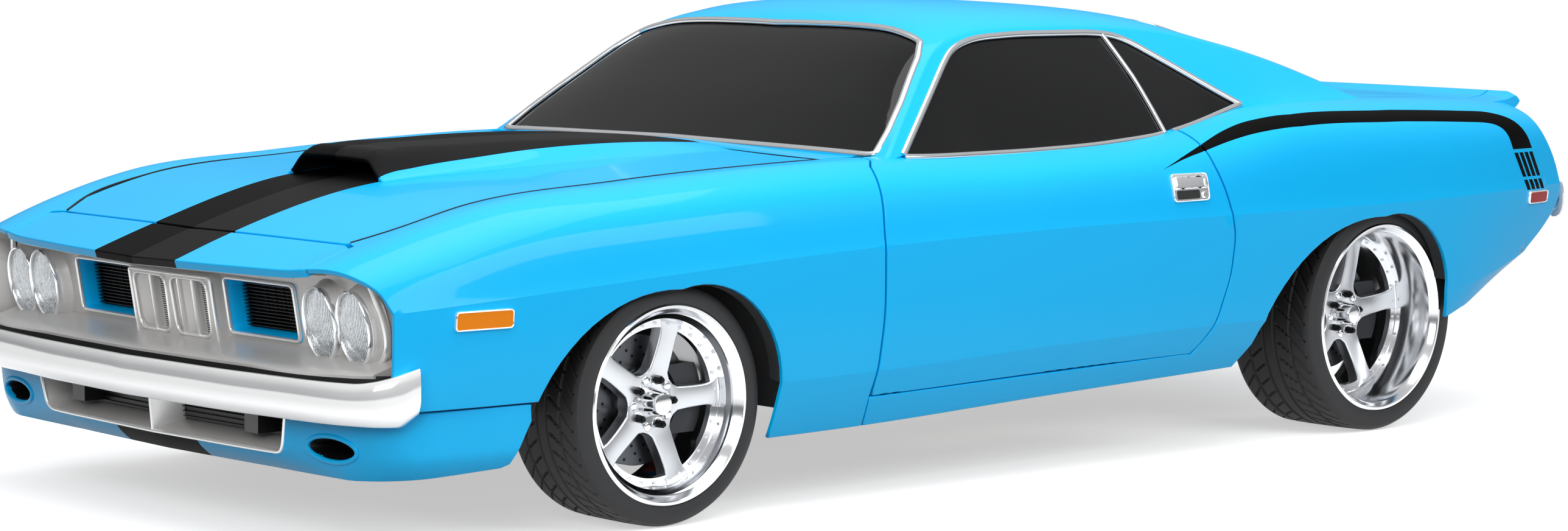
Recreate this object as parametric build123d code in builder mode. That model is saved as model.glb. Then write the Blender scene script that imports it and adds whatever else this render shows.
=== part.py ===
"""A two-door hardtop muscle car, full size, in millimetres.

X points to the car's left, Y to its rear and Z up. The origin is on the ground
under the middle of the car. Stations called s run back from the front axle.
"""

import os
from math import cos, pi, radians, sin, sqrt

from build123d import *

os.makedirs("parts", exist_ok=True)

# ------------------------------------------------------------------ driving sizes
WHEELBASE = 2743.0
LENGTH = 4720.0
FRONT_OVERHANG = 990.0  # front axle to the bumper's face
FRONT_AXLE_Y = FRONT_OVERHANG - LENGTH / 2
REAR_AXLE_Y = FRONT_AXLE_Y + WHEELBASE

GAP = 6.5  # shut line between panels
SEAT_CLEARANCE = 0.3  # between fixed pieces that sit on each other
SKIN = 12.0  # single sheet panels, drawn thick
LID = 22.0  # hood and deck lid with their inner frames
CAB_WALL = 38.0  # pillars and roof
GLASS = 6.0
GLASS_INSET = 8.0  # glass lies this far under the outer surface

FRONT_TYRE_R = 298.0
FRONT_TYRE_W = 265.0
FRONT_RIM_R = 244.0
FRONT_WHEEL_X = 903.0  # outer face of the rim's lip
REAR_TYRE_R = 332.0
REAR_TYRE_W = 300.0
REAR_RIM_R = 271.0
REAR_WHEEL_X = 888.0


def at(s):
    """Y of the station s, counted back from the front axle."""
    return FRONT_AXLE_Y + s


# Half cross-sections of the lower body, from the nose to the tail. Columns:
# s, centre z, lid edge x z, crown x z, shoulder x z, waist crease x z,
# low crease x z, sill x z.
SECTIONS = [
    (-960, 640, 560, 636, 740, 630, 815, 604, 858, 560, 855, 350, 835, 185),
    (-800, 697, 590, 691, 780, 688, 855, 655, 897, 572, 893, 350, 868, 165),
    (-450, 796, 650, 788, 795, 788, 878, 745, 930, 594, 924, 338, 895, 178),
    (0, 838, 680, 827, 805, 826, 888, 783, 943, 620, 937, 331, 905, 188),
    (650, 874, 700, 856, 812, 856, 898, 803, 948, 650, 943, 337, 908, 196),
    (1300, 872, 700, 862, 815, 858, 900, 806, 949, 664, 945, 356, 910, 218),
    (1930, 902, 690, 900, 800, 892, 898, 838, 951, 667, 946, 367, 910, 236),
    (2300, 962, 680, 960, 775, 953, 890, 902, 952, 668, 944, 368, 908, 246),
    (2760, 966, 672, 963, 790, 954, 884, 912, 951, 670, 940, 374, 918, 262),
    (3100, 960, 668, 956, 788, 948, 876, 908, 942, 676, 928, 410, 914, 345),
    (3400, 948, 655, 944, 775, 936, 860, 898, 915, 683, 888, 480, 830, 420),
    (3660, 925, 640, 920, 750, 910, 822, 874, 868, 687, 850, 560, 800, 520),
]


def half_section(row, inset, drop):
    """Outline of half a body section, pulled in by inset at the sides and by drop on top."""
    _, zc, xe, ze, xc, zt, xs, zs, xm, zm, xl, zl, xb, zb = row
    low = zb - (400 if inset else 0.5)  # an inner form runs out below
    return [
        (0, zc - drop),
        (xe, ze - drop),
        (xc - inset * 0.6, zt - drop),
        (xs - inset, zs - inset * 0.4),
        (xm - inset, zm),
        (xl - inset, zl),
        (xb - inset, zb),
        (xb - inset, low),
        (0, low),
    ]


def body_form(inset=0.0, drop=0.0):
    """Left half of the lower body as one closed form, ruled from section to section."""
    with BuildPart() as form:
        for row in SECTIONS:
            with BuildSketch(Plane.XZ.offset(-at(row[0]))):
                with BuildLine():
                    Polyline(*half_section(row, inset, drop), close=True)
                make_face()
        loft(ruled=True)
    return form.part


def side_prism(points, x0, x1):
    """Prism along X over an outline of (s, z) points."""
    with BuildPart() as prism:
        with BuildSketch(Plane.YZ.offset(x0)):
            with BuildLine():
                Polyline(*[(at(s), z) for s, z in points], close=True)
            make_face()
        extrude(amount=x1 - x0)
    return prism.part


def plan_prism(points, z0, z1):
    """Prism along Z over an outline of (x, s) points."""
    with BuildPart() as prism:
        with BuildSketch(Plane.XY.offset(z0)):
            with BuildLine():
                Polyline(*[(x, at(s)) for x, s in points], close=True)
            make_face()
        extrude(amount=z1 - z0)
    return prism.part


def front_prism(points, s0, s1):
    """Prism along Y over an outline of (x, z) points."""
    with BuildPart() as prism:
        with BuildSketch(Plane.XZ.offset(-at(s0))):
            with BuildLine():
                Polyline(*points, close=True)
            make_face()
        extrude(amount=-(s1 - s0))
    return prism.part




def box(x0, x1, s0, s1, z0, z1):
    """Plain block between two corners."""
    with BuildPart() as block:
        with BuildSketch(Plane.XY.offset(z0)):
            with Locations(((x0 + x1) / 2, at((s0 + s1) / 2))):
                Rectangle(x1 - x0, s1 - s0)
        extrude(amount=z1 - z0)
    return block.part


def rod(start, end, radius):
    """Round bar between two (x, s, z) points."""
    a = Vector(start[0], at(start[1]), start[2])
    b = Vector(end[0], at(end[1]), end[2])
    with BuildPart() as bar:
        with BuildSketch(Plane(a, z_dir=b - a)):
            Circle(radius)
        extrude(amount=(b - a).length)
    return bar.part


def arc_prism(s, z, radius, x0, x1):
    """Disc across the car round the point (s, z)."""
    with BuildPart() as disc:
        with BuildSketch(Plane.YZ.offset(x0)):
            with Locations((at(s), z)):
                Circle(radius)
        extrude(amount=x1 - x0)
    return disc.part


def grown_prism(points, amount, x0, x1):
    """Side outline moved out (or in) by amount all round, as a prism along X."""
    with BuildPart() as prism:
        with BuildSketch(Plane.YZ.offset(x0)):
            with BuildLine():
                Polyline(*[(at(s), z) for s, z in points], close=True)
            make_face()
            offset(amount=amount, kind=Kind.INTERSECTION)
        extrude(amount=x1 - x0)
    return prism.part


def joined(*pieces):
    """Pieces that share room or faces, made one shape."""
    whole = pieces[0]
    for piece in pieces[1:]:
        whole = whole + piece
    return whole


# ---------------------------------------------------------------- shared outlines
NOSE_PLAN = [(0, -946), (400, -926), (760, -882), (862, -852), (925, -770), (962, -640)]
HOOD_EDGE = [(612, -748), (660, -660), (676, -450), (682, 0), (700, 664)]
HOOD_FRONT_MID = -768
COWL_REAR_S = 800
HEADER_X = 655
HEADER_S = -775
LID_FRONT_S = 2905
LID_REAR_S = 3440
LID_EDGE_X = 662
QUARTER_TOP_X = 690
POST_X = 700  # inner face of the door posts
DOOR_INNER_X = 775
SILL_Z = 273
DOOR_FRONT = [(760, 1400), (745, 880), (690, 812), (672, 678), (674, 480), (657, 342), (640, SILL_Z)]
DOOR_REAR = [(1862, 298), (1946, 376), (1998, 500), (2014, 611), (1988, 720), (1948, 815), (1944, 1400)]
JAMB_SETBACK = 22  # room for the door's inner corner as it swings
HINGE_X = 918
HINGE_S = 600
BACK_BEVEL = 8  # how far the door's inner rear edge lies ahead of its outer one
BEVEL_X = 900
HEM = 4  # thickness of the door skin's edge, ahead of the stepped shut face
HEM_STEPS = ((HEM, 3), (SKIN, 10))  # depth below the skin, setback of the shut face
SILL_LIFT = 1.5
DOOR_HINGE_Z = (420, 600)
HINGE_H = 32
HINGE_PIN_R = 4.5
HINGE_EYE_R = 8
COWL_GAP = 8
LID_HINGE_R = 4
LUG_R = 7.5
HOOD_HINGE = (690, 864)  # s and z of the hood's hinge line
DECK_HINGE = (2885, 958)
HOOD_HINGE_X = 220
DECK_HINGE_X = 450
LUG_W = 50
TAIL = [(3400, 1100), (3445, 1000), (3475, 900), (3600, 740), (3622, 640), (3540, 560), (3380, 468), (3110, 372)]
LOW_SEAM_Z = 343
FRONT_ARCH = ((-452, 290), (-305, 490), (0, 582), (240, 524), (330, 330))
REAR_ARCH = ((2060, 310), (2300, 548), (2660, 632), (2898, 574), (2985, 430))


def arch_prism(arch, front_foot, rear_foot, x0, x1):
    """What a wheel opening takes out of the body side: two arcs and straight feet."""
    a, b, c, d, e = [(at(s), z) for s, z in arch]
    with BuildPart() as prism:
        with BuildSketch(Plane.YZ.offset(x0)):
            with BuildLine():
                ThreePointArc(a, b, c)
                ThreePointArc(c, d, e)
                Polyline(e, (at(rear_foot), 60), (at(front_foot), 60), a)
            make_face()
        extrude(amount=x1 - x0)
    return prism.part


front_arch = arch_prism(FRONT_ARCH, -560, 262, 420, 1000)
rear_arch = arch_prism(REAR_ARCH, 1900, 2960, 500, 1000)
door_points = DOOR_FRONT + DOOR_REAR
jamb_points = DOOR_FRONT + [(s + JAMB_SETBACK, z) for s, z in DOOR_REAR]


def door_form(setback):
    """Room inside the door's shut lines, its front shut face moved back by setback."""
    with BuildPart() as form:
        for x, back in ((DOOR_INNER_X, BACK_BEVEL), (BEVEL_X, 0), (1000, 0)):
            with BuildSketch(Plane.YZ.offset(x)):
                with BuildLine():
                    front = [(s + setback, z + (SILL_LIFT if z < 300 else 0)) for s, z in DOOR_FRONT]
                    rear = [(s - back, z + (SILL_LIFT if z < 300 else 0)) for s, z in DOOR_REAR]
                    Polyline(*[(at(s), z) for s, z in front + rear], close=True)
                make_face()
                offset(amount=-GAP / 2, kind=Kind.INTERSECTION)
        loft(ruled=True)
    return form.part


door_opening = grown_prism(door_points, GAP / 2, -1, 1000)
jamb_opening = grown_prism(jamb_points, GAP / 2, -1, 1000)
jamb_frame = grown_prism(jamb_points, GAP / 2 + SKIN, POST_X, 1000) - jamb_opening
nose_cut = plan_prism([(-1, -1200), (1100, -1200), (1100, -640)] + NOSE_PLAN[::-1] + [(-1, -946)], 0, 1100)
tail_cut = side_prism(TAIL + [(3800, 372), (3800, 1100)], -1, 1100)

outer = body_form()
shell_inside = body_form(SKIN, SKIN)
thin = outer - shell_inside
lid_slab = outer - outer.moved(Location((0, 0, -LID)))

# ------------------------------------------------------------------ front panels
header_plan = plan_prism(
    [(0, -1000), (HEADER_X, -1000), (HEADER_X, HEADER_S), (HOOD_EDGE[0][0], HOOD_EDGE[0][1] - GAP), (0, HOOD_FRONT_MID - GAP)],
    560,
    1000,
)
with BuildPart() as nose_half:
    add(lid_slab)
    add(header_plan, mode=Mode.INTERSECT)
    add(nose_cut, mode=Mode.SUBTRACT)
with BuildPart() as nose_panel:
    add(nose_half.part)
    mirror(nose_half.part, about=Plane.YZ)

fender_plan = plan_prism(
    [(HEADER_X + SEAT_CLEARANCE, -1100), (HEADER_X + SEAT_CLEARANCE, HEADER_S)]
    + [(x + GAP / 2, s) for x, s in HOOD_EDGE]
    + [(HOOD_EDGE[-1][0] + GAP / 2, 900), (1100, 900), (1100, -1100)],
    0,
    1100,
)
fender_side = side_prism([(-1100, LOW_SEAM_Z), (0, LOW_SEAM_Z), (0, 100), (640 - GAP, 100), (640 - GAP, SILL_Z), (760, 300), (760, 1100), (-1100, 1100)], -1, 1100)
with BuildPart() as fender_left:
    add(thin)
    add(fender_plan, mode=Mode.INTERSECT)
    add(fender_side, mode=Mode.INTERSECT)
    add(door_opening, mode=Mode.SUBTRACT)
    add(nose_cut, mode=Mode.SUBTRACT)
    add(front_arch, mode=Mode.SUBTRACT)
with BuildPart() as fender_right:
    mirror(fender_left.part, about=Plane.YZ)

hood_plan = plan_prism(
    [(0, HOOD_FRONT_MID)]
    + [(x - GAP / 2, s) for x, s in HOOD_EDGE]
    + [(0, HOOD_EDGE[-1][1])],
    600,
    1000,
)
# Sections of the hood's scoop: s, top z, half width of the top, half width of the foot, foot z.
SCOOP = [(-330, 874, 178, 205, 780), (-160, 880, 200, 235, 800), (350, 900, 235, 330, 830), (660, 889, 255, 400, 840)]
SCOOP_WALL = 14
with BuildPart() as scoop:
    for s, top, w_top, w_foot, foot in SCOOP:
        with BuildSketch(Plane.XZ.offset(-at(s))):
            with BuildLine():
                Polyline((0, foot), (0, top), (w_top, top - 8), (w_foot, foot + 20), (w_foot, foot), close=True)
            make_face()
    loft(ruled=True)
with BuildPart() as scoop_hollow:
    for s, top, w_top, w_foot, foot in SCOOP[1:]:
        with BuildSketch(Plane.XZ.offset(-at(min(s, 640)))):
            with BuildLine():
                Polyline((-1, foot - 80), (-1, top - SCOOP_WALL), (w_top - SCOOP_WALL, top - 8 - SCOOP_WALL), (w_foot - SCOOP_WALL, foot + 20 - SCOOP_WALL), (w_foot - SCOOP_WALL, foot - 80), close=True)
            make_face()
    loft(ruled=True)
scoop_mouth = front_prism([(-1, 822), (-1, 858), (160, 852), (172, 820)], -340, -200)
with BuildPart() as hood_half:
    add(lid_slab)
    add(hood_plan, mode=Mode.INTERSECT)
    add(scoop.part)
    add(scoop_hollow.part, mode=Mode.SUBTRACT)
    add(scoop_mouth, mode=Mode.SUBTRACT)
def lug(hinge, x, reach):
    """Flat tab with an eye round a hinge pin, reaching from the pin to the lid."""
    s, z = hinge
    x0, x1 = x - LUG_W / 2, x + LUG_W / 2
    tab = joined(arc_prism(s, z, LUG_R, x0, x1), box(x0, x1, min(s, s + reach), max(s, s + reach), z - 4, z + 4))
    return tab - arc_prism(s, z, LID_HINGE_R + SEAT_CLEARANCE, x0 - 1, x1 + 1)


def lug_slot(hinge, x, reach):
    """Room for a lug in the panel that carries its pin, and the pin across it."""
    s, z = hinge
    w = LUG_W / 2 + 5
    ahead, behind = sorted((-reach, 3 * reach))
    room = box(x - w, x + w, s + ahead, s + behind, z - 40, z + 40)
    return room, arc_prism(s, z, LID_HINGE_R, x - w - 8, x + w + 8)


hood_lug = lug(HOOD_HINGE, HOOD_HINGE_X, -30)
with BuildPart() as hood:
    add(hood_half.part)
    add(hood_lug)
    mirror(hood_half.part, about=Plane.YZ)
    mirror(hood_lug, about=Plane.YZ)

# ------------------------------------------------------------------- side and rear
quarter_plan = plan_prism(
    [(DOOR_INNER_X, 600), (DOOR_INNER_X, 1900), (QUARTER_TOP_X, 1900), (QUARTER_TOP_X, LID_FRONT_S)]
    + [(LID_EDGE_X + GAP / 2, LID_FRONT_S), (LID_EDGE_X + GAP / 2, 3800), (1100, 3800), (1100, 600)],
    0,
    1100,
)
quarter_side = side_prism([(640, 100), (3800, 100), (3800, 1100), (1800, 1100), (1800, 285), (640, SILL_Z - 2)], -1, 1100)
with BuildPart() as jamb:
    add(outer)
    add(jamb_frame, mode=Mode.INTERSECT)
    add(side_prism([(804, 0), (2200, 0), (2200, 889), (1800, 889), (1800, 600), (804, 290)], -1, 1100), mode=Mode.INTERSECT)
with BuildPart() as quarter_left:
    add(thin)
    add(quarter_plan, mode=Mode.INTERSECT)
    add(quarter_side, mode=Mode.INTERSECT)
    add(door_opening, mode=Mode.SUBTRACT)
    add(jamb.part)
    add(tail_cut, mode=Mode.SUBTRACT)
    add(rear_arch, mode=Mode.SUBTRACT)
with BuildPart() as quarter_right:
    mirror(quarter_left.part, about=Plane.YZ)

def hinge_arm(z0, z1):
    """Gooseneck that reaches from the hinge pin round the fender's edge into the door."""
    r = HINGE_EYE_R
    arm = [(0, -r), (-72, -r), (-93, 50), (-93, 112), (-73, 112), (-73, 56), (-60, r), (0, r)]
    x, s = HINGE_X, HINGE_S
    with BuildPart() as form:
        add(plan_prism([(x + dx, s + ds) for dx, ds in arm], z0, z1))
        with BuildSketch(Plane.XY.offset(z0)):
            with Locations((x, at(s))):
                Circle(HINGE_EYE_R)
        extrude(amount=z1 - z0)
        with BuildSketch(Plane.XY.offset(z0)):
            with Locations((x, at(s))):
                Circle(HINGE_PIN_R + SEAT_CLEARANCE)
        extrude(amount=z1 - z0, mode=Mode.SUBTRACT)
    return form.part


with BuildPart() as door_left:
    add((outer - body_form(HEM, HEM)) & door_form(0))
    add((body_form(HEM, HEM) - shell_inside) & door_form(HEM_STEPS[0][1]) & outer)
    add(shell_inside & door_form(HEM_STEPS[1][1]) & outer)
    for z in DOOR_HINGE_Z:
        add(hinge_arm(z - HINGE_H / 2, z + HINGE_H / 2))
with BuildPart() as door_right:
    mirror(door_left.part, about=Plane.YZ)

# ------------------------------------------------------------------------ cabin top
# Side profile of the roof and glass, s and z, and its half section, x and z.
ROOF_PROFILE = [(765, 868), (1165, 1174), (1250, 1222), (1450, 1248), (1820, 1240), (2150, 1207), (2480, 1090), (2800, 958)]
ROOF_SECTION = [(840, 826), (812, 857), (590, 1168), (545, 1200), (400, 1233), (0, 1252)]
SIDE_GLASS = [(862, 868), (1232, 1122), (1300, 1148), (1400, 1160), (1830, 1163), (1915, 1150), (1989, 1119), (2133, 1048), (2284, 966)]
GLASS_SPLIT = [(1841, 1200), (1862, 1036), (1912, 898), (1925, 840)]  # between door glass and rear side glass
SHIELD_TOP = (535, 1150)
SHIELD_FOOT = (752, 872)
BACKLIGHT_TOP = (490, 2210)
BACKLIGHT_FOOT = (640, 2775)


def cabin_form(inset=0.0):
    """Roof and glass as one form over the whole width, all its faces moved in by inset."""
    profile = [(700, 500)] + [(700, 818)] + ROOF_PROFILE + [(2850, 936), (2850, 500)]
    section = [(x, z) for x, z in ROOF_SECTION]
    across = section + [(-x, z) for x, z in section[-2::-1]] + [(-900, 500), (900, 500)]
    with BuildPart() as form:
        with BuildSketch(Plane.YZ.offset(-1000)):
            with BuildLine():
                Polyline(*[(at(s), z) for s, z in profile], close=True)
            make_face()
            if inset:
                offset(amount=-inset, kind=Kind.INTERSECTION)
        extrude(amount=2000)
        with BuildSketch(Plane.XZ.offset(-at(600))):
            with BuildLine():
                Polyline(*across, close=True)
            make_face()
            if inset:
                offset(amount=-inset, kind=Kind.INTERSECTION)
        extrude(amount=-2400, mode=Mode.INTERSECT)
    return form.part


with BuildPart() as body_block:
    add(outer)
    mirror(outer, about=Plane.YZ)
cabin_outer = cabin_form()
shield_side = [(600, 500), (600, 1300), (1245, 1300), (1245, 500)]


def shield_opening(grow=0.0):
    """Windscreen opening: a prism along Y from the front."""
    (xt, zt), (xf, zf) = SHIELD_TOP, SHIELD_FOOT
    return front_prism([(-xf - 90 - grow, zf - 120), (-xt - grow, zt + grow), (xt + grow, zt + grow), (xf + 90 + grow, zf - 120)], 600, 1400)


def backlight_opening(grow=0.0):
    """Rear window opening: a prism along Z from above."""
    (xt, st), (xf, sf) = BACKLIGHT_TOP, BACKLIGHT_FOOT
    return plan_prism([(-xt - grow, st - grow), (xt + grow, st - grow), (xf + grow, sf), (xf + grow, sf + 200), (-xf - grow, sf + 200), (-xf - grow, sf)], 800, 1300)


def side_opening(points, grow=0.0):
    """Side window opening through one wall, open down to the belt."""
    return grown_prism(points + [(2290, 700), (850, 700)], grow, 380, 1000)


side_glass_opening = side_opening(SIDE_GLASS)
door_clear = outer.moved(Location((0, 0, GAP))) & grown_prism(door_points, GAP / 2, DOOR_INNER_X - GAP, 1000)
with BuildPart() as roof:
    add(cabin_outer)
    add(cabin_form(CAB_WALL), mode=Mode.SUBTRACT)
    add(body_block.part, mode=Mode.SUBTRACT)
    add(shield_opening(), mode=Mode.SUBTRACT)
    add(backlight_opening(), mode=Mode.SUBTRACT)
    add(side_glass_opening, mode=Mode.SUBTRACT)
    add(side_glass_opening.mirror(Plane.YZ), mode=Mode.SUBTRACT)
    add(door_clear, mode=Mode.SUBTRACT)
    add(door_clear.mirror(Plane.YZ), mode=Mode.SUBTRACT)

pane = cabin_form(GLASS_INSET) - cabin_form(GLASS_INSET + GLASS) - body_block.part
split_front = side_prism([(600, 500), (600, 1400)] + [(s - GAP / 2, z) for s, z in [(1825, 1400)] + GLASS_SPLIT] + [(1930, 500)], 380, 1000)
split_rear = side_prism([(s + GAP / 2, z) for s, z in [(1825, 1400)] + GLASS_SPLIT] + [(1930, 500), (2500, 500), (2500, 1400)], 380, 1000)
with BuildPart() as windshield:
    add(pane)
    add(shield_opening(-SEAT_CLEARANCE), mode=Mode.INTERSECT)
    add(side_prism(shield_side, -1000, 1000), mode=Mode.INTERSECT)
with BuildPart() as rear_window:
    add(pane)
    add(backlight_opening(-SEAT_CLEARANCE), mode=Mode.INTERSECT)
    add(box(-900, 900, 2150, 2900, 940, 1260), mode=Mode.INTERSECT)
with BuildPart() as rear_side_glass_left:
    add(pane)
    add(side_opening(SIDE_GLASS, -SEAT_CLEARANCE), mode=Mode.INTERSECT)
    add(split_rear, mode=Mode.INTERSECT)
    add(box(450, 1000, 1800, 2400, 800, 1300), mode=Mode.INTERSECT)
with BuildPart() as door_glass_left:
    add(pane)
    add(side_opening(SIDE_GLASS, -GAP), mode=Mode.INTERSECT)
    add(split_front, mode=Mode.INTERSECT)
    add(box(450, 1000, 800, 2400, 800, 1300), mode=Mode.INTERSECT)
with BuildPart() as door_glass_right:
    mirror(door_glass_left.part, about=Plane.YZ)
with BuildPart() as body_glass:
    add(windshield.part)
    add(rear_window.part)
    add(rear_side_glass_left.part)
    mirror(rear_side_glass_left.part, about=Plane.YZ)
    add(door_clear, mode=Mode.SUBTRACT)
    add(door_clear.mirror(Plane.YZ), mode=Mode.SUBTRACT)

# ------------------------------------------------------------------------- rear end
# The tail is bowed: how far each station across the car lies behind the corner's.
BOW = [(-800, 8), (-500, 45), (0, 66), (500, 45), (800, 8)]
TAIL_WALL = 25
TAIL_OUT = [(3475, 893), (3600, 740), (3622, 640), (3556, 574), (3400, 482)]
TAIL_IN = [(3384, 500), (3530, 590), (3594, 642), (3574, 734), (3452, 880)]
SPOILER = [(3400, 934), (3470, 938), (3512, 958), (3541, 915), (3500, 905), (3440, 912)]
SPOILER_TIP = [(3478, 935), (3512, 952), (3541, 914), (3500, 905)]


def bowed_form(outline, stations):
    """Side outline carried across the car, set back by each station's bow."""
    with BuildPart() as form:
        for x, back in stations:
            with BuildSketch(Plane.YZ.offset(x)):
                with BuildLine():
                    Polyline(*[(at(s + back), z) for s, z in outline], close=True)
                make_face()
        loft(ruled=True)
    return form.part


PLATE_BOLTS = 177.8  # between the two bolts of a number plate
PLATE_BOLT_R = 3.3
PLATE_Z = 542
tail_side = bowed_form(TAIL_OUT + TAIL_IN, [(799, 8), (872, 0)]) & shell_inside
with BuildPart() as tail_panel:
    add(bowed_form(TAIL_OUT + TAIL_IN, BOW))
    add(tail_side)
    mirror(tail_side, about=Plane.YZ)
    add(box(-115, 115, 3580, 3662, PLATE_Z - 24, PLATE_Z + 26))
    with BuildSketch(Plane.XZ.offset(-at(3662))):
        with Locations((-PLATE_BOLTS / 2, PLATE_Z), (PLATE_BOLTS / 2, PLATE_Z)):
            Circle(PLATE_BOLT_R)
    extrude(amount=18, mode=Mode.SUBTRACT)
lid_bow = [(-655, 24), (-450, 44), (0, 60), (450, 44), (655, 24)]
tip_bow = [(654, 24), (745, 6)]
deck_lug = lug(DECK_HINGE, DECK_HINGE_X, 34)
deck_plan = plan_prism(
    [(0, LID_FRONT_S + GAP), (LID_EDGE_X - GAP / 2, LID_FRONT_S + GAP), (LID_EDGE_X - GAP / 2, LID_REAR_S), (450, 3480), (0, 3500)], 800, 1000
)
spoiler = bowed_form(SPOILER, lid_bow)
tip = bowed_form(SPOILER_TIP, tip_bow)
with BuildPart() as deck_half:
    add(lid_slab)
    add(deck_plan, mode=Mode.INTERSECT)
with BuildPart() as deck_lid:
    add(deck_half.part)
    mirror(deck_half.part, about=Plane.YZ)
    add(deck_lug)
    mirror(deck_lug, about=Plane.YZ)
    add(spoiler)
    add(tip)
    mirror(tip, about=Plane.YZ)

BUMPER_BACK = 3730
REAR_BUMPER = [(0, 3730), (500, 3722), (760, 3702), (850, 3664), (862, 3640)]
with BuildPart() as rear_bumper:
    add(plan_prism(REAR_BUMPER + [(-x, s) for x, s in REAR_BUMPER[:0:-1]], 580, 688))
    add(plan_prism([(x * 0.985, s - 40) for x, s in REAR_BUMPER[:4]] + [(845, 3500), (-845, 3500)] + [(-x * 0.985, s - 40) for x, s in REAR_BUMPER[3:0:-1]], 500, 800), mode=Mode.SUBTRACT)
    for side in (-1, 1):
        arm = sorted((side * 300, side * 345))
        add(box(arm[0], arm[1], 3560, 3700, 610, 660))
    add(bowed_form([(3200, 400), (3200, 1000), (3476, 893), (3600 + SEAT_CLEARANCE, 740), (3622 + SEAT_CLEARANCE, 640), (3556 + SEAT_CLEARANCE, 574), (3400, 400)], BOW), mode=Mode.SUBTRACT)

# ------------------------------------------------------------------------ front end
FACE_S = -785  # front of the recessed lamp panel
BUMPER_PLAN = [(0, -990), (400, -972), (760, -927), (895, -862), (930, -775)]
BUMPER_T = 30
VALANCE_PLAN = [(0, -905), (400, -890), (760, -852), (850, -812), (890, -740), (912, -560), (920, -440)]
VALANCE_T = 14


def wrapped(points, thickness, z0, z1):
    """Upright wall that follows a plan line round both corners."""
    line = [(-x, s) for x, s in points[:0:-1]] + points
    inner = [(x * (1 - thickness / 1000), s + thickness) for x, s in line[1:-1]]
    ends = [(line[0][0] + thickness, line[0][1]), (line[-1][0] - thickness, line[-1][1])]
    return plan_prism(line + [ends[1]] + inner[::-1] + [ends[0]], z0, z1)


front_body = (outer & box(600, 1000, -1000, -600, 200, 600)) - nose_cut
BUMPER_Z = (312, 414)
bumper_tip = front_prism([(800, 405), (800, BUMPER_Z[1]), (868, 424), (905, 446), (940, 446), (940, 405)], -1000, -700)
with BuildPart() as front_bumper:
    add(wrapped(BUMPER_PLAN, BUMPER_T, BUMPER_Z[0], BUMPER_Z[1]))
    tip_left = wrapped(BUMPER_PLAN, BUMPER_T, BUMPER_Z[0], BUMPER_Z[1] + 40) & bumper_tip
    add(tip_left)
    mirror(tip_left, about=Plane.YZ)
    add(front_body, mode=Mode.SUBTRACT)
    add(front_body.mirror(Plane.YZ), mode=Mode.SUBTRACT)
MOUTH = (530, 210, 340)  # half width, foot and top of the lower air intake
with BuildPart() as front_valance:
    add(wrapped(VALANCE_PLAN, VALANCE_T, 168, LOW_SEAM_Z - SEAT_CLEARANCE))
    add(box(-MOUTH[0], MOUTH[0], -1000, -820, MOUTH[1], MOUTH[2]), mode=Mode.SUBTRACT)
    for side in (-1, 1):
        with BuildSketch(Plane.XZ.offset(-at(-1000))):
            with Locations((side * 676, 243)):
                SlotOverall(167, 57)
        extrude(amount=-250, mode=Mode.SUBTRACT)
    add(front_arch, mode=Mode.SUBTRACT)
    add(front_arch.mirror(Plane.YZ), mode=Mode.SUBTRACT)

panel_outline = [(0, FACE_S - 22), (310, FACE_S - 8), (560, FACE_S), (700, FACE_S + 8), (838, FACE_S + 30)]
with BuildPart() as grille_panel:
    add(wrapped(panel_outline[:-1] + [(838, FACE_S + 30), (838, FACE_S + 60)], 15, 415, 700))
    add(outer.moved(Location((0, 0, -LID - SEAT_CLEARANCE))) + outer.mirror(Plane.YZ).moved(Location((0, 0, -LID - SEAT_CLEARANCE))), mode=Mode.INTERSECT)
    shelf = [(0, -946), (400, -926), (740, -880), (812, -840), (812, FACE_S + 20), (0, FACE_S - 20)]
    add(plan_prism(shelf + [(-x, s) for x, s in shelf[-2:0:-1]], 416, 432))

VENT_X = 180  # half width of the vent box
VENT_FACE_S = -832
VENT_TOP = 604
VENT_SLOTS = [(41, 64), (119, 64)]  # x and width of each slot in one half
VENT_SLOT_H = 134
VENT_SLOT_DEPTH = 18
with BuildPart() as vent_half:
    add(plan_prism([(0, VENT_FACE_S), (VENT_X, VENT_FACE_S + 5), (VENT_X, FACE_S - 8), (0, FACE_S - 22)], 432 + SEAT_CLEARANCE, VENT_TOP))
    for slot_x, slot_w in VENT_SLOTS:
        with BuildSketch(Plane.XZ.offset(-at(VENT_FACE_S - 10))):
            with Locations((slot_x, 519)):
                RectangleRounded(slot_w, VENT_SLOT_H, 22)
        extrude(amount=-(VENT_SLOT_DEPTH + 10), mode=Mode.SUBTRACT)
    add(grille_panel.part, mode=Mode.SUBTRACT)
with BuildPart() as center_vent:
    add(vent_half.part)
    mirror(vent_half.part, about=Plane.YZ)

FRAME_X = (VENT_X + 14, 476)  # inner and outer end of the framed opening
FRAME_Z = (466, VENT_TOP)
FRAME_T = 12
FRAME_FACE_S = -822
frame_out = box(FRAME_X[0], FRAME_X[1], FRAME_FACE_S, FACE_S, FRAME_Z[0], FRAME_Z[1])
frame_in = box(
    FRAME_X[0] + FRAME_T, FRAME_X[1] - FRAME_T, FRAME_FACE_S - 40, FACE_S + 10, FRAME_Z[0] + FRAME_T, FRAME_Z[1] - FRAME_T
)
frame_left = frame_out - frame_in - grille_panel.part
with BuildPart() as grille_frames:
    add(frame_left)
    mirror(frame_left, about=Plane.YZ)

LAMPS = [(602, -838), (723, -828)]  # x and front face s of each lamp pod
LAMP_Z = 525
LAMP_HALF_W = 62
LAMP_HALF_H = 86
BEZEL = 9


def lamp_form(x, s0, s1, cut):
    """Upright oval lamp form, its half axes reduced by cut."""
    with BuildPart() as form:
        with BuildSketch(Plane.XZ.offset(-at(s0))):
            with Locations((x, LAMP_Z)):
                Ellipse(LAMP_HALF_W - cut, LAMP_HALF_H - cut)
        extrude(amount=-(s1 - s0))
    return form.part


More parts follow.
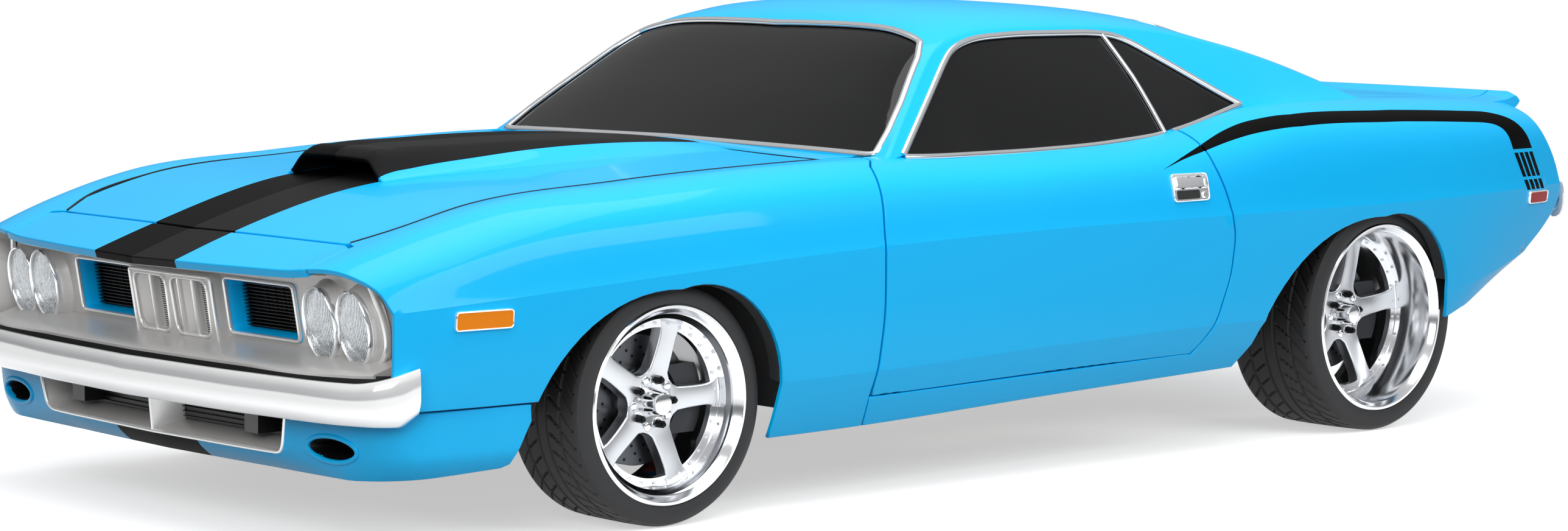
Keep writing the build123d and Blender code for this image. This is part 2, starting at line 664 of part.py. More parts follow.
panel_cut = grille_panel.part
with BuildPart() as bezels_left:
    for x, s in LAMPS:
        add(lamp_form(x, s, FACE_S + 8, 0))
    for x, s in LAMPS:
        add(lamp_form(x, s - 5, FACE_S + 20, BEZEL), mode=Mode.SUBTRACT)
    add(panel_cut, mode=Mode.SUBTRACT)
with BuildPart() as lamp_bezels:
    add(bezels_left.part)
    mirror(bezels_left.part, about=Plane.YZ)
with BuildPart() as lamps_left:
    for x, s in LAMPS:
        add(lamp_form(x, s + 8, FACE_S - 8, BEZEL + SEAT_CLEARANCE))
    add(panel_cut, mode=Mode.SUBTRACT)
with BuildPart() as headlamps:
    add(lamps_left.part)
    mirror(lamps_left.part, about=Plane.YZ)

with BuildPart() as marker_pads:
    add(outer.moved(Location((6, 0, 0))))
    add(outer, mode=Mode.SUBTRACT)
    add(joined(box(840, 1000, -672, -503, 521, 570), box(840, 1000, 3396, 3516, 633, 673)), mode=Mode.INTERSECT)
with BuildPart() as side_markers:
    add(marker_pads.part)
    mirror(marker_pads.part, about=Plane.YZ)
TAIL_LAMPS = [(520, 690), (300, 470)]
with BuildPart() as tail_lamps:
    for x0, x1 in TAIL_LAMPS:
        for side in (-1, 1):
            lamp_at = sorted((side * x0, side * x1))
            add(bowed_form([(3500, 715), (3618, 715), (3613, 745), (3554, 812), (3500, 812)], BOW) & box(lamp_at[0], lamp_at[1], 3400, 3800, 715, 812))
    add(bowed_form([(3200, 400), (3200, 1000)] + [(s + 0, z) for s, z in [(3396, 990)]] + TAIL_OUT + [(3300, 400)], BOW), mode=Mode.SUBTRACT)

# ------------------------------------------------------------- floor, cowl and frame
FLOOR_Z = 225
JACK_X = 790
JACK_S = (820, 1860)
JACK_Z = 228  # jack pads stand proud of the sills
FLOOR_T = 12
FLOOR_TOP = FLOOR_Z + FLOOR_T
TRUNK_Z = 460
FIREWALL_S = 600
SILL_TOP = 256
TUNNEL_X = 150
TUNNEL_Z = 400
TUB_X = 540  # inner wall of the rear wheel houses
FLOOR_X = POST_X - 8
KICK = [(2230, FLOOR_Z), (2345, TRUNK_Z), (2345, TRUNK_Z + FLOOR_T), (2333, TRUNK_Z + FLOOR_T), (2218, FLOOR_TOP), (2100, FLOOR_TOP), (2100, FLOOR_Z)]

with BuildPart() as floor_pan:
    add(box(-FLOOR_X, FLOOR_X, FIREWALL_S + 15, 1990, FLOOR_Z, FLOOR_TOP))
    add(box(-TUB_X + 4, TUB_X - 4, 1980, 2218, FLOOR_Z, FLOOR_TOP))
    for x in (-JACK_X, JACK_X):
        for s in JACK_S:
            add(box(x - 30, x + 30, s - 30, s + 30, JACK_Z, SILL_TOP))
    add(side_prism(KICK, -TUB_X + 4, TUB_X - 4))
    add(box(-TUB_X + 4, TUB_X - 4, 2340, 3372, TRUNK_Z, TRUNK_Z + FLOOR_T))
    add(box(-FLOOR_X - 180, -FLOOR_X + 5, 645, 1990, SILL_TOP - 20, SILL_TOP))
    add(box(FLOOR_X - 5, FLOOR_X + 180, 645, 1990, SILL_TOP - 20, SILL_TOP))
    add(box(-TUNNEL_X, TUNNEL_X, FIREWALL_S + 15, 2225, FLOOR_TOP - 2, TUNNEL_Z))
    add(box(-TUNNEL_X + FLOOR_T, TUNNEL_X - FLOOR_T, FIREWALL_S, 2320, FLOOR_Z - 5, TUNNEL_Z - FLOOR_T), mode=Mode.SUBTRACT)
    add(box(-800, 800, 2345, 2500, 100, TRUNK_Z), mode=Mode.SUBTRACT)

with BuildPart() as cowl_half:
    add(lid_slab)
    add(plan_prism([(0, HOOD_EDGE[-1][1] + COWL_GAP), (702, HOOD_EDGE[-1][1] + COWL_GAP), (702, COWL_REAR_S), (0, COWL_REAR_S)], 600, 1000), mode=Mode.INTERSECT)
inner_lip = body_form(SKIN + SEAT_CLEARANCE, LID + SEAT_CLEARANCE)
with BuildPart() as post_half:
    add(box(POST_X + 4, 1000, HINGE_S - 35, 800, SILL_TOP + SEAT_CLEARANCE, 900))
    add(inner_lip, mode=Mode.INTERSECT)
    add(grown_prism(door_points, GAP / 2 + 14, DOOR_INNER_X - GAP, 1000), mode=Mode.SUBTRACT)
    add(box(POST_X + 16, DOOR_INNER_X - 20, 640 - 30, 785, 280, 820), mode=Mode.SUBTRACT)
    for z in DOOR_HINGE_Z:
        add(box(HINGE_X - 100, 1000, HINGE_S - 20, 800, z - HINGE_H / 2 - 6, z + HINGE_H / 2 + 6), mode=Mode.SUBTRACT)
        add(rod((HINGE_X, HINGE_S, z - HINGE_H / 2 - 8), (HINGE_X, HINGE_S, z + HINGE_H / 2 + 8), HINGE_PIN_R))
with BuildPart() as firewall_half:
    add(box(0, POST_X + 6, FIREWALL_S, FIREWALL_S + 14, FLOOR_Z, 712))
    add(inner_lip, mode=Mode.INTERSECT)
with BuildPart() as cowl_box_half:
    add(box(0, POST_X + 6, FIREWALL_S, 722, 700, 712))
    add(box(0, POST_X + 2, 710, 722, 700, 900))
    add(outer, mode=Mode.INTERSECT)
hood_room, hood_pin = lug_slot(HOOD_HINGE, HOOD_HINGE_X, -20)
cowl_solid = joined(cowl_half.part, post_half.part, firewall_half.part, cowl_box_half.part) - (hood_room & box(0, 1000, 0, 708, 0, 1000)) + hood_pin
with BuildPart() as firewall_cowl:
    add(cowl_solid)
    mirror(cowl_solid, about=Plane.YZ)

RAIL_X = (352, 408)
RAIL_Z = (250, 330)
with BuildPart() as front_frame:
    for side in (-1, 1):
        rail = sorted((side * RAIL_X[0], side * RAIL_X[1]))
        add(box(rail[0], rail[1], -860, FIREWALL_S - SEAT_CLEARANCE, RAIL_Z[0], RAIL_Z[1]))
    add(box(-RAIL_X[0] - 2, RAIL_X[0] + 2, -60, 60, 205, 262))
    add(box(-RAIL_X[1], RAIL_X[1], -60, 60, 205, RAIL_Z[0] + 2))
    add(box(-560, 560, -735, -700, 240, 275))
    add(box(-560, 560, -735, -700, 570, 600))
    add(box(-560, -525, -735, -700, 240, 600))
    add(box(525, 560, -735, -700, 240, 600))
with BuildPart() as radiator:
    add(box(-RAIL_X[0] + 8, RAIL_X[0] - 8, -732, -690, 275 + SEAT_CLEARANCE, 570 - SEAT_CLEARANCE))
with BuildPart() as engine_block:
    add(box(-250, 250, -330, 410, 262 + SEAT_CLEARANCE, 690))

# --------------------------------------------------------------------- wheel houses
FRONT_HOUSE = (-30, 270, 405)  # centre s and z, inner radius
HOUSE_T = 12
FRONT_HOUSE_X = 460


def house_ring(arch, front_foot, rear_foot, grow, x0, x1):
    """Liner that follows a wheel opening at the distance grow from it."""
    a, b, c, d, e = [(at(s), z) for s, z in arch]
    with BuildPart() as ring:
        for amount, way in ((grow + HOUSE_T, Mode.ADD), (grow, Mode.SUBTRACT)):
            with BuildSketch(Plane.YZ.offset(x0)):
                with BuildLine():
                    ThreePointArc(a, b, c)
                    ThreePointArc(c, d, e)
                    Polyline(e, (at(rear_foot), 60), (at(front_foot), 60), a)
                make_face()
                offset(amount=amount, kind=Kind.INTERSECTION)
                with Locations((at(WHEELBASE), REAR_TYRE_R)):
                    Circle(REAR_TYRE_R + 40 + amount - grow)
            extrude(amount=x1 - x0, mode=way)
    return ring.part


with BuildPart() as front_house:
    add(arc_prism(FRONT_HOUSE[0], FRONT_HOUSE[1], FRONT_HOUSE[2] + HOUSE_T, FRONT_HOUSE_X, 1000))
    add(arc_prism(FRONT_HOUSE[0], FRONT_HOUSE[1], FRONT_HOUSE[2], FRONT_HOUSE_X + HOUSE_T, 1001), mode=Mode.SUBTRACT)
    add(inner_lip, mode=Mode.INTERSECT)
    add(box(FRONT_HOUSE_X - 1, 1000, -600, 500, -700, 258), mode=Mode.SUBTRACT)
    add(box(FRONT_HOUSE_X - 1, FRONT_HOUSE_X + HOUSE_T + 1, -600, 500, 0, 350), mode=Mode.SUBTRACT)
    add(box(850, 1000, -600, -440, 0, 345), mode=Mode.SUBTRACT)
REAR_GROW = 62
with BuildPart() as rear_house:
    add(house_ring(REAR_ARCH, 1900, 2960, REAR_GROW, TUB_X, 1000))
    with BuildSketch(Plane.YZ.offset(TUB_X)):
        with BuildLine():
            a, b, c, d, e = [(at(s), z) for s, z in REAR_ARCH]
            ThreePointArc(a, b, c)
            ThreePointArc(c, d, e)
            Polyline(e, (at(2960), 60), (at(1900), 60), a)
        make_face()
        offset(amount=REAR_GROW + 5, kind=Kind.INTERSECTION)
        with Locations((at(WHEELBASE), REAR_TYRE_R)):
            Circle(REAR_TYRE_R + 45)
    extrude(amount=HOUSE_T)
    add(inner_lip, mode=Mode.INTERSECT)
    add(box(500, 1000, 1500, 3300, -700, FLOOR_TOP + 3), mode=Mode.SUBTRACT)
    add(box(500, 1000, 2950, 3300, -700, 385), mode=Mode.SUBTRACT)
    add(box(500, 560, WHEELBASE - 75, WHEELBASE + 75, -700, 425), mode=Mode.SUBTRACT)
    add(box(500, 1000, 1500, 1996, -700, 1000), mode=Mode.SUBTRACT)
    add(jamb.part, mode=Mode.SUBTRACT)
with BuildPart() as wheel_houses:
    add(front_house.part)
    mirror(front_house.part, about=Plane.YZ)
    add(rear_house.part)
    mirror(rear_house.part, about=Plane.YZ)

# --------------------------------------------------------------------------- wheels
RUN_CLEARANCE = 3.0  # brake disc to caliper, hub to carrier
FLANGE = 13
HUB_R = 76
DISC_T = 26
SPOKES = 5
# Each axle: tyre radius, tyre width, rim lip radius, lip x, axle s, wheel pad x (its back), spoke face x.
AXLES = {
    "front": (FRONT_TYRE_R, FRONT_TYRE_W, FRONT_RIM_R, FRONT_WHEEL_X, 0.0, 795, 850, 160),
    "rear": (REAR_TYRE_R, REAR_TYRE_W, REAR_RIM_R, REAR_WHEEL_X, WHEELBASE, 710, 765, 165),
}


def turned(points, s, z):
    """Ring turned round an axle: the outline's columns are x and radius."""
    with BuildPart() as ring:
        with BuildSketch(Plane(origin=(0, at(s), z), x_dir=(1, 0, 0), z_dir=(0, -1, 0))):
            with BuildLine():
                Polyline(*points, close=True)
            make_face()
        revolve(axis=Axis((0, at(s), z), (1, 0, 0)))
    return ring.part


def tyre_form(axle):
    r, w, lip_r, lip_x, s, _, _, _ = AXLES[axle]
    x0, x1 = lip_x - w, lip_x
    bead = lip_r - 16 + SEAT_CLEARANCE
    wall = lip_r + SEAT_CLEARANCE
    return turned(
        [(x0 + FLANGE, bead), (x0 + FLANGE, wall), (x0, wall), (x0, wall + 22), (x0 + 9, r - 9), (x0 + 30, r),
         (x1 - 30, r), (x1 - 9, r - 9), (x1, wall + 22), (x1, wall), (x1 - FLANGE, wall), (x1 - FLANGE, bead)],
        s,
        r,
    )


def wheel_form(axle):
    r, w, lip_r, lip_x, s, pad_x, face_x, disc_r = AXLES[axle]
    x0, x1 = lip_x - w, lip_x
    f = FLANGE - SEAT_CLEARANCE
    barrel = turned(
        [(x0, lip_r), (x0 + f, lip_r), (x0 + f, lip_r - 16), (x0 + 46, lip_r - 16), (x0 + 56, lip_r - 26),
         (x1 - 56, lip_r - 26), (x1 - 46, lip_r - 16), (x1 - f, lip_r - 16), (x1 - f, lip_r), (x1, lip_r),
         (x1, lip_r - 8), (x1 - 20, lip_r - 24), (x1 - 46, lip_r - 25), (x1 - 58, lip_r - 35),
         (x0 + 58, lip_r - 35), (x0 + 46, lip_r - 25), (x0 + 20, lip_r - 24), (x0, lip_r - 8)],
        s,
        r,
    )
    barrel_r = lip_r - 35
    spoke = 38
    with BuildPart() as wheel:
        add(barrel)
        with BuildSketch(Plane.YZ.offset(pad_x)):
            with Locations((at(s), r)):
                Circle(HUB_R)
        extrude(amount=face_x - pad_x)
        with BuildSketch(Plane.YZ.offset(face_x - 34)):
            with Locations((at(s), r)):
                with PolarLocations(HUB_R * 0.8, SPOKES, start_angle=90):
                    Rectangle(2 * (barrel_r + 3 - HUB_R * 0.8), spoke * 1.9)
                with Locations((0, 0)):
                    Circle(barrel_r + 4, mode=Mode.INTERSECT)
        extrude(amount=30)
        with BuildSketch(Plane.YZ.offset(pad_x - 4)):
            with Locations((at(s), r)):
                Circle(70)
        extrude(amount=6)
        with BuildSketch(Plane.YZ.offset(pad_x - 4 - DISC_T)):
            with Locations((at(s), r)):
                Circle(disc_r)
        extrude(amount=DISC_T)
    return wheel.part


def caliper_form(axle):
    """Brake caliper that straddles the disc's rear edge."""
    r, w, lip_r, lip_x, s, pad_x, face_x, disc_r = AXLES[axle]
    out_x = pad_x - 4 + RUN_CLEARANCE + 16
    back_x = pad_x - 4 - DISC_T - RUN_CLEARANCE - 24
    with BuildPart() as caliper:
        with BuildSketch(Plane.YZ.offset(back_x)):
            with Locations((at(s), r)):
                Circle(disc_r + 16)
                Circle(disc_r - 62, mode=Mode.SUBTRACT)
                with Locations((200, 0)):
                    Rectangle(320, 170, mode=Mode.INTERSECT)
        extrude(amount=out_x - back_x)
        with BuildSketch(Plane.YZ.offset(pad_x - 4 - DISC_T - RUN_CLEARANCE)):
            with Locations((at(s), r)):
                Circle(disc_r + RUN_CLEARANCE)
        extrude(amount=DISC_T + 2 * RUN_CLEARANCE, mode=Mode.SUBTRACT)
    return caliper.part


# ------------------------------------------------------------- knuckles, axle, springs
CARRIER_R = 46


def hub_back(axle):
    return AXLES[axle][5] - 4 - DISC_T


knuckle_x = hub_back("front") - RUN_CLEARANCE
KINGPIN_X = knuckle_x - 40
UPRIGHT = 118  # from the hub's height up and down to the ball joints
with BuildPart() as knuckle_left:
    with BuildSketch(Plane.YZ.offset(knuckle_x - 55)):
        with Locations((at(0), FRONT_TYRE_R)):
            Circle(CARRIER_R)
    extrude(amount=55)
    add(rod((knuckle_x - 1, 0, FRONT_TYRE_R), (hub_back("front") - SEAT_CLEARANCE, 0, FRONT_TYRE_R), 25))
    add(box(KINGPIN_X - 15, KINGPIN_X + 15, -26, 26, FRONT_TYRE_R - UPRIGHT, FRONT_TYRE_R + UPRIGHT))
    add(box(knuckle_x - 55, knuckle_x - 16, 0, 130, FRONT_TYRE_R - 40, FRONT_TYRE_R + 40))
    add(caliper_form("front"))
with BuildPart() as knuckle_right:
    mirror(knuckle_left.part, about=Plane.YZ)
JOINT_PAD = 34
with BuildPart() as arms_left:
    for way in (-1, 1):
        seat_z = FRONT_TYRE_R + way * (UPRIGHT + SEAT_CLEARANCE)
        pad_z = seat_z + way * (JOINT_PAD - 14)
        foot_x = RAIL_X[1] + SEAT_CLEARANCE if way < 0 else FRONT_HOUSE_X + HOUSE_T + SEAT_CLEARANCE
        foot_z = 268 if way < 0 else pad_z + 20
        for spread in (-110, 110):
            add(rod((foot_x - 20, spread * 1.08, foot_z), (KINGPIN_X, 0, pad_z), 10))
        add(rod((KINGPIN_X, 0, seat_z), (KINGPIN_X, 0, seat_z + way * JOINT_PAD), 20))
arms = arms_left.part - box(0, RAIL_X[1] + SEAT_CLEARANCE, -300, 300, 0, RAIL_Z[1] + 2) - box(0, FRONT_HOUSE_X + HOUSE_T + SEAT_CLEARANCE, -300, 300, RAIL_Z[1] + 2, 600)
with BuildPart() as front_suspension:
    add(arms)
    mirror(arms, about=Plane.YZ)

rear_back = hub_back("rear") - RUN_CLEARANCE
SPRING_X = (440, 500)
SPRING_TOP = REAR_TYRE_R - 47
with BuildPart() as rear_axle:
    add(rod((-rear_back, WHEELBASE, REAR_TYRE_R), (rear_back, WHEELBASE, REAR_TYRE_R), 42))
    spindle = hub_back("rear") - SEAT_CLEARANCE
    add(rod((-spindle, WHEELBASE, REAR_TYRE_R), (spindle, WHEELBASE, REAR_TYRE_R), 25))
    with BuildSketch(Plane.YZ.offset(-120)):
        with Locations((at(WHEELBASE), REAR_TYRE_R)):
            Circle(112)
    extrude(amount=240)
    add(rod((0, 700, 318), (0, WHEELBASE, REAR_TYRE_R), 38))
    for side in (-1, 1):
        bracket = sorted((side * (rear_back - 55), side * (rear_back - 20)))
        pad = sorted((side * (SPRING_X[0] + 5), side * (SPRING_X[1] - 5)))
        add(box(pad[0], pad[1], WHEELBASE - 30, WHEELBASE + 30, SPRING_TOP + SEAT_CLEARANCE, REAR_TYRE_R))
        add(box(bracket[0], bracket[1], WHEELBASE - 45, WHEELBASE + 140, REAR_TYRE_R - 45, REAR_TYRE_R + 45))
    add(caliper_form("rear"))
    add(caliper_form("rear").mirror(Plane.YZ))
SPRING_EYE_S = WHEELBASE - 498
SHACKLE_S = WHEELBASE + 587
LEAF_T = 20
SPRING = [
    (SPRING_EYE_S, 200),
    (WHEELBASE - 43, SPRING_TOP - LEAF_T),
    (WHEELBASE + 43, SPRING_TOP - LEAF_T),
    (SHACKLE_S, 380),
    (SHACKLE_S, 380 + LEAF_T),
    (WHEELBASE + 43, SPRING_TOP),
    (WHEELBASE - 43, SPRING_TOP),
    (SPRING_EYE_S, 222),
]
shackle = box(SPRING_X[0], SPRING_X[1], SHACKLE_S - 30, SHACKLE_S, 385, TRUNK_Z - SEAT_CLEARANCE)
spring = joined(side_prism(SPRING, *SPRING_X), shackle)
with BuildPart() as rear_springs:
    add(spring)
    mirror(spring, about=Plane.YZ)
PIPE_R = 27
pipe = joined(
    rod((215, 430, 190), (215, 1500, 190), PIPE_R),
    box(150, 330, 1450, 2000, 160, FLOOR_Z - SEAT_CLEARANCE),
    rod((300, 1990, 190), (350, 2900, 200), PIPE_R),
    rod((350, 2880, 198), (372, 3520, 420), PIPE_R),
)
with BuildPart() as exhaust:
    add(pipe)
    mirror(pipe, about=Plane.YZ)
TANK_L = 420
TANK_S = WHEELBASE + 177
with BuildPart() as fuel_tank:
    add(box(-280, 280, TANK_S, TANK_S + TANK_L, 300, TRUNK_Z - SEAT_CLEARANCE))

# ------------------------------------------------------------------------- interior
SEAT_X = (185, 655)
with BuildPart() as front_seat:
    add(side_prism([(1290, FLOOR_TOP + SEAT_CLEARANCE), (1270, 400), (1700, 380), (1860, 830), (1960, 820), (1830, 360), (1780, FLOOR_TOP + SEAT_CLEARANCE)], *SEAT_X))
with BuildPart() as front_seats:
    add(front_seat.part)
    mirror(front_seat.part, about=Plane.YZ)
with BuildPart() as rear_seat:
    add(side_prism([(1990, 410), (2180, 395), (2300, 840), (2390, 850), (2390, 520), (2320, TRUNK_Z + FLOOR_T + 10), (2205, FLOOR_TOP + SEAT_CLEARANCE), (1990, FLOOR_TOP + SEAT_CLEARANCE)], -TUB_X + 4, TUB_X - 4))
    add(box(-TUNNEL_X - SEAT_CLEARANCE, TUNNEL_X + SEAT_CLEARANCE, 1900, 2250, 200, TUNNEL_Z + SEAT_CLEARANCE), mode=Mode.SUBTRACT)
    add(box(-TUNNEL_X - SEAT_CLEARANCE, TUNNEL_X + SEAT_CLEARANCE, 2200, 2345, 200, TRUNK_Z + FLOOR_T + 12), mode=Mode.SUBTRACT)
shelf_half = lid_slab & plan_prism([(0, 2745), (QUARTER_TOP_X - SEAT_CLEARANCE, 2745), (QUARTER_TOP_X - SEAT_CLEARANCE, LID_FRONT_S - SEAT_CLEARANCE), (0, LID_FRONT_S - SEAT_CLEARANCE)], 700, 1000)
deck_room, deck_pin = lug_slot(DECK_HINGE, DECK_HINGE_X, 20)
shelf_half = shelf_half - (deck_room & box(0, 1000, 2868, 3000, 0, 1000)) + deck_pin
with BuildPart() as parcel_shelf:
    add(shelf_half)
    mirror(shelf_half, about=Plane.YZ)
    add(side_prism([(2400, 872), (2400, 884), (2748, 955), (2748, 940)], -QUARTER_TOP_X + SEAT_CLEARANCE, QUARTER_TOP_X - SEAT_CLEARANCE))
    add(box(-TUB_X - 60, TUB_X + 60, 2400, 2412, TRUNK_Z + FLOOR_T + SEAT_CLEARANCE, 880))
    add(wheel_houses.part, mode=Mode.SUBTRACT)
WHEEL_TILT = 17.5
STEER_AT = Vector(370, at(1120), 763)
steer_plane = Plane(origin=STEER_AT, x_dir=(1, 0, 0), z_dir=(0, cos(radians(WHEEL_TILT)), sin(radians(WHEEL_TILT))))
with BuildPart() as dashboard:
    add(side_prism([(FIREWALL_S + 14 + SEAT_CLEARANCE, 590), (FIREWALL_S + 14 + SEAT_CLEARANCE, 700 - SEAT_CLEARANCE), (722 + SEAT_CLEARANCE, 700 - SEAT_CLEARANCE), (722 + SEAT_CLEARANCE, 826), (820, 826), (960, 795), (985, 700), (930, 610)], -POST_X + 12, POST_X - 12))
    column_foot = STEER_AT - steer_plane.z_dir * 230
    with BuildSketch(Plane(column_foot, z_dir=steer_plane.z_dir)):
        Circle(26)
    extrude(amount=230 - 14 - SEAT_CLEARANCE)
with BuildPart() as steering_wheel:
    with BuildSketch(Plane(origin=STEER_AT + Vector(186, 0, 0), x_dir=(1, 0, 0), z_dir=steer_plane.y_dir)):
        Circle(14)
    revolve(axis=Axis(STEER_AT, steer_plane.z_dir))
    with BuildSketch(steer_plane.offset(-14)):
        Circle(40)
        for turn in (0, 90, 180):
            with Locations(Rot(0, 0, -turn) * Pos(90, 0, 0)):
                Rectangle(196, 30)
    extrude(amount=14)

tyres = {}
wheels = {}
for axle, end in (("front", "f"), ("rear", "r")):
    tyre, wheel = tyre_form(axle), wheel_form(axle)
    for side, name in ((1, "left"), (-1, "right")):
        tyres[f"tyre_{axle}_{name}"] = tyre if side == 1 else tyre.mirror(Plane.YZ)
        wheels[f"wheel_{axle}_{name}"] = wheel if side == 1 else wheel.mirror(Plane.YZ)

# -------------------------------------------------------------------------- writing
pieces = {
    "nose_panel": nose_panel.part,
    "fender_left": fender_left.part,
    "fender_right": fender_right.part,
    "hood": hood.part,
    "quarter_left": quarter_left.part,
    "quarter_right": quarter_right.part,
    "door_left": door_left.part,
    "door_right": door_right.part,
    "roof": roof.part,
    "body_glass": body_glass.part,
    "door_glass_left": door_glass_left.part - door_left.part,
    "door_glass_right": door_glass_right.part - door_right.part,
    "tail_panel": tail_panel.part,
    "deck_lid": deck_lid.part,
    "rear_bumper": rear_bumper.part,
    "front_bumper": front_bumper.part,
    "front_valance": front_valance.part,
    "grille_panel": grille_panel.part,
    "center_vent": center_vent.part,
    "grille_frames": grille_frames.part,
    "lamp_bezels": lamp_bezels.part,
    "headlamps": headlamps.part,
    "side_markers": side_markers.part,
    "tail_lamps": tail_lamps.part,
    "floor_pan": floor_pan.part,
    "firewall_cowl": firewall_cowl.part,
    "front_frame": front_frame.part,
    "radiator": radiator.part,
    "engine_block": engine_block.part,
    "wheel_houses": wheel_houses.part,
    "knuckle_left": knuckle_left.part,
    "knuckle_right": knuckle_right.part,
    "front_suspension": front_suspension.part,
    "rear_axle": rear_axle.part,
    "rear_springs": rear_springs.part,
    "exhaust": exhaust.part,
    "fuel_tank": fuel_tank.part,
    "front_seats": front_seats.part,
    "rear_seat": rear_seat.part,
    "parcel_shelf": parcel_shelf.part,
    "dashboard": dashboard.part,
    "steering_wheel": steering_wheel.part,
} | tyres | wheels
for name, piece in pieces.items():
    piece.label = name
    export_step(piece, f"parts/{name}.step")
print(len(pieces), "pieces,", round(sum(p.volume for p in pieces.values()) / 1e9, 4), "m3")
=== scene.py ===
"""A two-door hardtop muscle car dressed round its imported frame.

Metres: X to the car's left, Y to its rear, Z up. s is the distance behind the front axle.
"""

import math

import bmesh
import bpy
import numpy as np
from mathutils import Matrix, Vector
from mathutils.geometry import delaunay_2d_cdt


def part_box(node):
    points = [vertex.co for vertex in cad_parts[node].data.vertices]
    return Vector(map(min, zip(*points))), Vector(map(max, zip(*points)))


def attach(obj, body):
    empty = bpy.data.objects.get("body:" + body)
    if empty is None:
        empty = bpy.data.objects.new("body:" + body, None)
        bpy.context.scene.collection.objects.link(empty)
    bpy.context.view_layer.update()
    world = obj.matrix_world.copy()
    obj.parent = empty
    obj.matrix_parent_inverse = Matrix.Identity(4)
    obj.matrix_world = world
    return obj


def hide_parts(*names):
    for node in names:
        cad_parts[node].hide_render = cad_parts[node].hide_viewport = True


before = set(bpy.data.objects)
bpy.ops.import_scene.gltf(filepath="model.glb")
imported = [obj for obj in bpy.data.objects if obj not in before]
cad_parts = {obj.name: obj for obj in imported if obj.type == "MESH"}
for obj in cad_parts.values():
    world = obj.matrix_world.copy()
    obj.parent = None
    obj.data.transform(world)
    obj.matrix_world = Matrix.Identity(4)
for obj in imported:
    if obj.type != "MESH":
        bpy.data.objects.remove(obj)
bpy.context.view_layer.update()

# ------------------------------------------------------------------ camera and studio
# A long lens, low ahead of the left front wheel. The car stands on a pale floor that
# fades to white, under three wide softboxes in a white room.
wheel_low, wheel_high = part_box("wheel_front_left")
AXLE_Y = (wheel_low[1] + wheel_high[1]) / 2
CAMERA_AT = Vector((7.5727, AXLE_Y - 5.8059, 1.4553))
CAMERA_YAW = math.radians(48.581)
CAMERA_PITCH = math.radians(5.175)
CAMERA_ROLL = math.radians(0.409)
PICTURE_WIDTH = 2576
PICTURE_HEIGHT = 872
FOCAL_PX = 6077.05
CENTRE_PX = (1144.61, 424.23)

level = math.cos(CAMERA_PITCH)
look = Vector((-math.sin(CAMERA_YAW) * level, math.cos(CAMERA_YAW) * level, -math.sin(CAMERA_PITCH)))
level_right = look.cross(Vector((0, 0, 1))).normalized()
level_up = level_right.cross(look)
right = level_right * math.cos(CAMERA_ROLL) + level_up * math.sin(CAMERA_ROLL)
up = level_up * math.cos(CAMERA_ROLL) - level_right * math.sin(CAMERA_ROLL)
lens = bpy.data.cameras.new("lens")
lens.sensor_width = 36
lens.lens = FOCAL_PX / PICTURE_WIDTH * lens.sensor_width
lens.shift_x = (PICTURE_WIDTH / 2 - CENTRE_PX[0]) / PICTURE_WIDTH
lens.shift_y = (CENTRE_PX[1] - PICTURE_HEIGHT / 2) / PICTURE_WIDTH
camera = bpy.data.objects.new("camera", lens)
turn = Matrix((right, up, -look)).transposed().to_4x4()
camera.matrix_world = Matrix.Translation(CAMERA_AT) @ turn
bpy.context.collection.objects.link(camera)
scene = bpy.context.scene
scene.camera = camera
scene.view_settings.view_transform = "Standard"


def linear(hex_colour):
    """sRGB hex to the linear RGBA that a shader socket takes."""
    parts = [int(hex_colour[i : i + 2], 16) / 255 for i in (1, 3, 5)]
    return (*[c / 12.92 if c <= 0.04045 else ((c + 0.055) / 1.055) ** 2.4 for c in parts], 1)


def node(tree, kind, settings=None, links=None, **attributes):
    """A node with attributes, socket values and links from other nodes' sockets."""
    made = tree.nodes.new(kind)
    for key, value in attributes.items():
        setattr(made, key, value)
    for key, value in (settings or {}).items():
        made.inputs[key].default_value = value
    for key, source in (links or {}).items():
        tree.links.new(source, made.inputs[key])
    return made


def room_light():
    """A soft white room: bright to the camera and in reflections, lower as a lamp."""
    world = bpy.data.worlds.new("room")
    world.use_nodes = True
    tree = world.node_tree
    tree.nodes.clear()
    path = node(tree, "ShaderNodeLightPath")
    seen = node(
        tree, "ShaderNodeMath",
        links={0: path.outputs["Is Camera Ray"], 1: path.outputs["Is Transmission Ray"]}, operation="MAXIMUM",
    )
    spread = node(tree, "ShaderNodeTexCoord")
    height = node(tree, "ShaderNodeSeparateXYZ", links={0: spread.outputs["Generated"]})
    ramp = node(tree, "ShaderNodeValToRGB", links={0: height.outputs["Z"]})
    ramp.color_ramp.elements[0].position = 0.0
    ramp.color_ramp.elements[0].color = linear("#666c71")
    ramp.color_ramp.elements[1].position = 0.55
    ramp.color_ramp.elements[1].color = linear("#ffffff")
    lamp = node(tree, "ShaderNodeBackground", {"Strength": 0.62}, {"Color": ramp.outputs[0]})
    white = node(tree, "ShaderNodeBackground", {"Color": (1, 1, 1, 1), "Strength": 1.0})
    mix = node(
        tree, "ShaderNodeMixShader", links={0: seen.outputs[0], 1: lamp.outputs[0], 2: white.outputs[0]},
    )
    node(tree, "ShaderNodeOutputWorld", links={"Surface": mix.outputs[0]})
    scene.world = world


def softbox(name, at, target, width, height, watts):
    """A rectangular area lamp that faces a point."""
    light = bpy.data.lights.new(name, "AREA")
    light.shape = "RECTANGLE"
    light.size = width
    light.size_y = height
    light.energy = watts
    lamp = bpy.data.objects.new(name, light)
    lamp.location = at
    lamp.rotation_euler = (Vector(target) - Vector(at)).to_track_quat("-Z", "Y").to_euler()
    bpy.context.collection.objects.link(lamp)


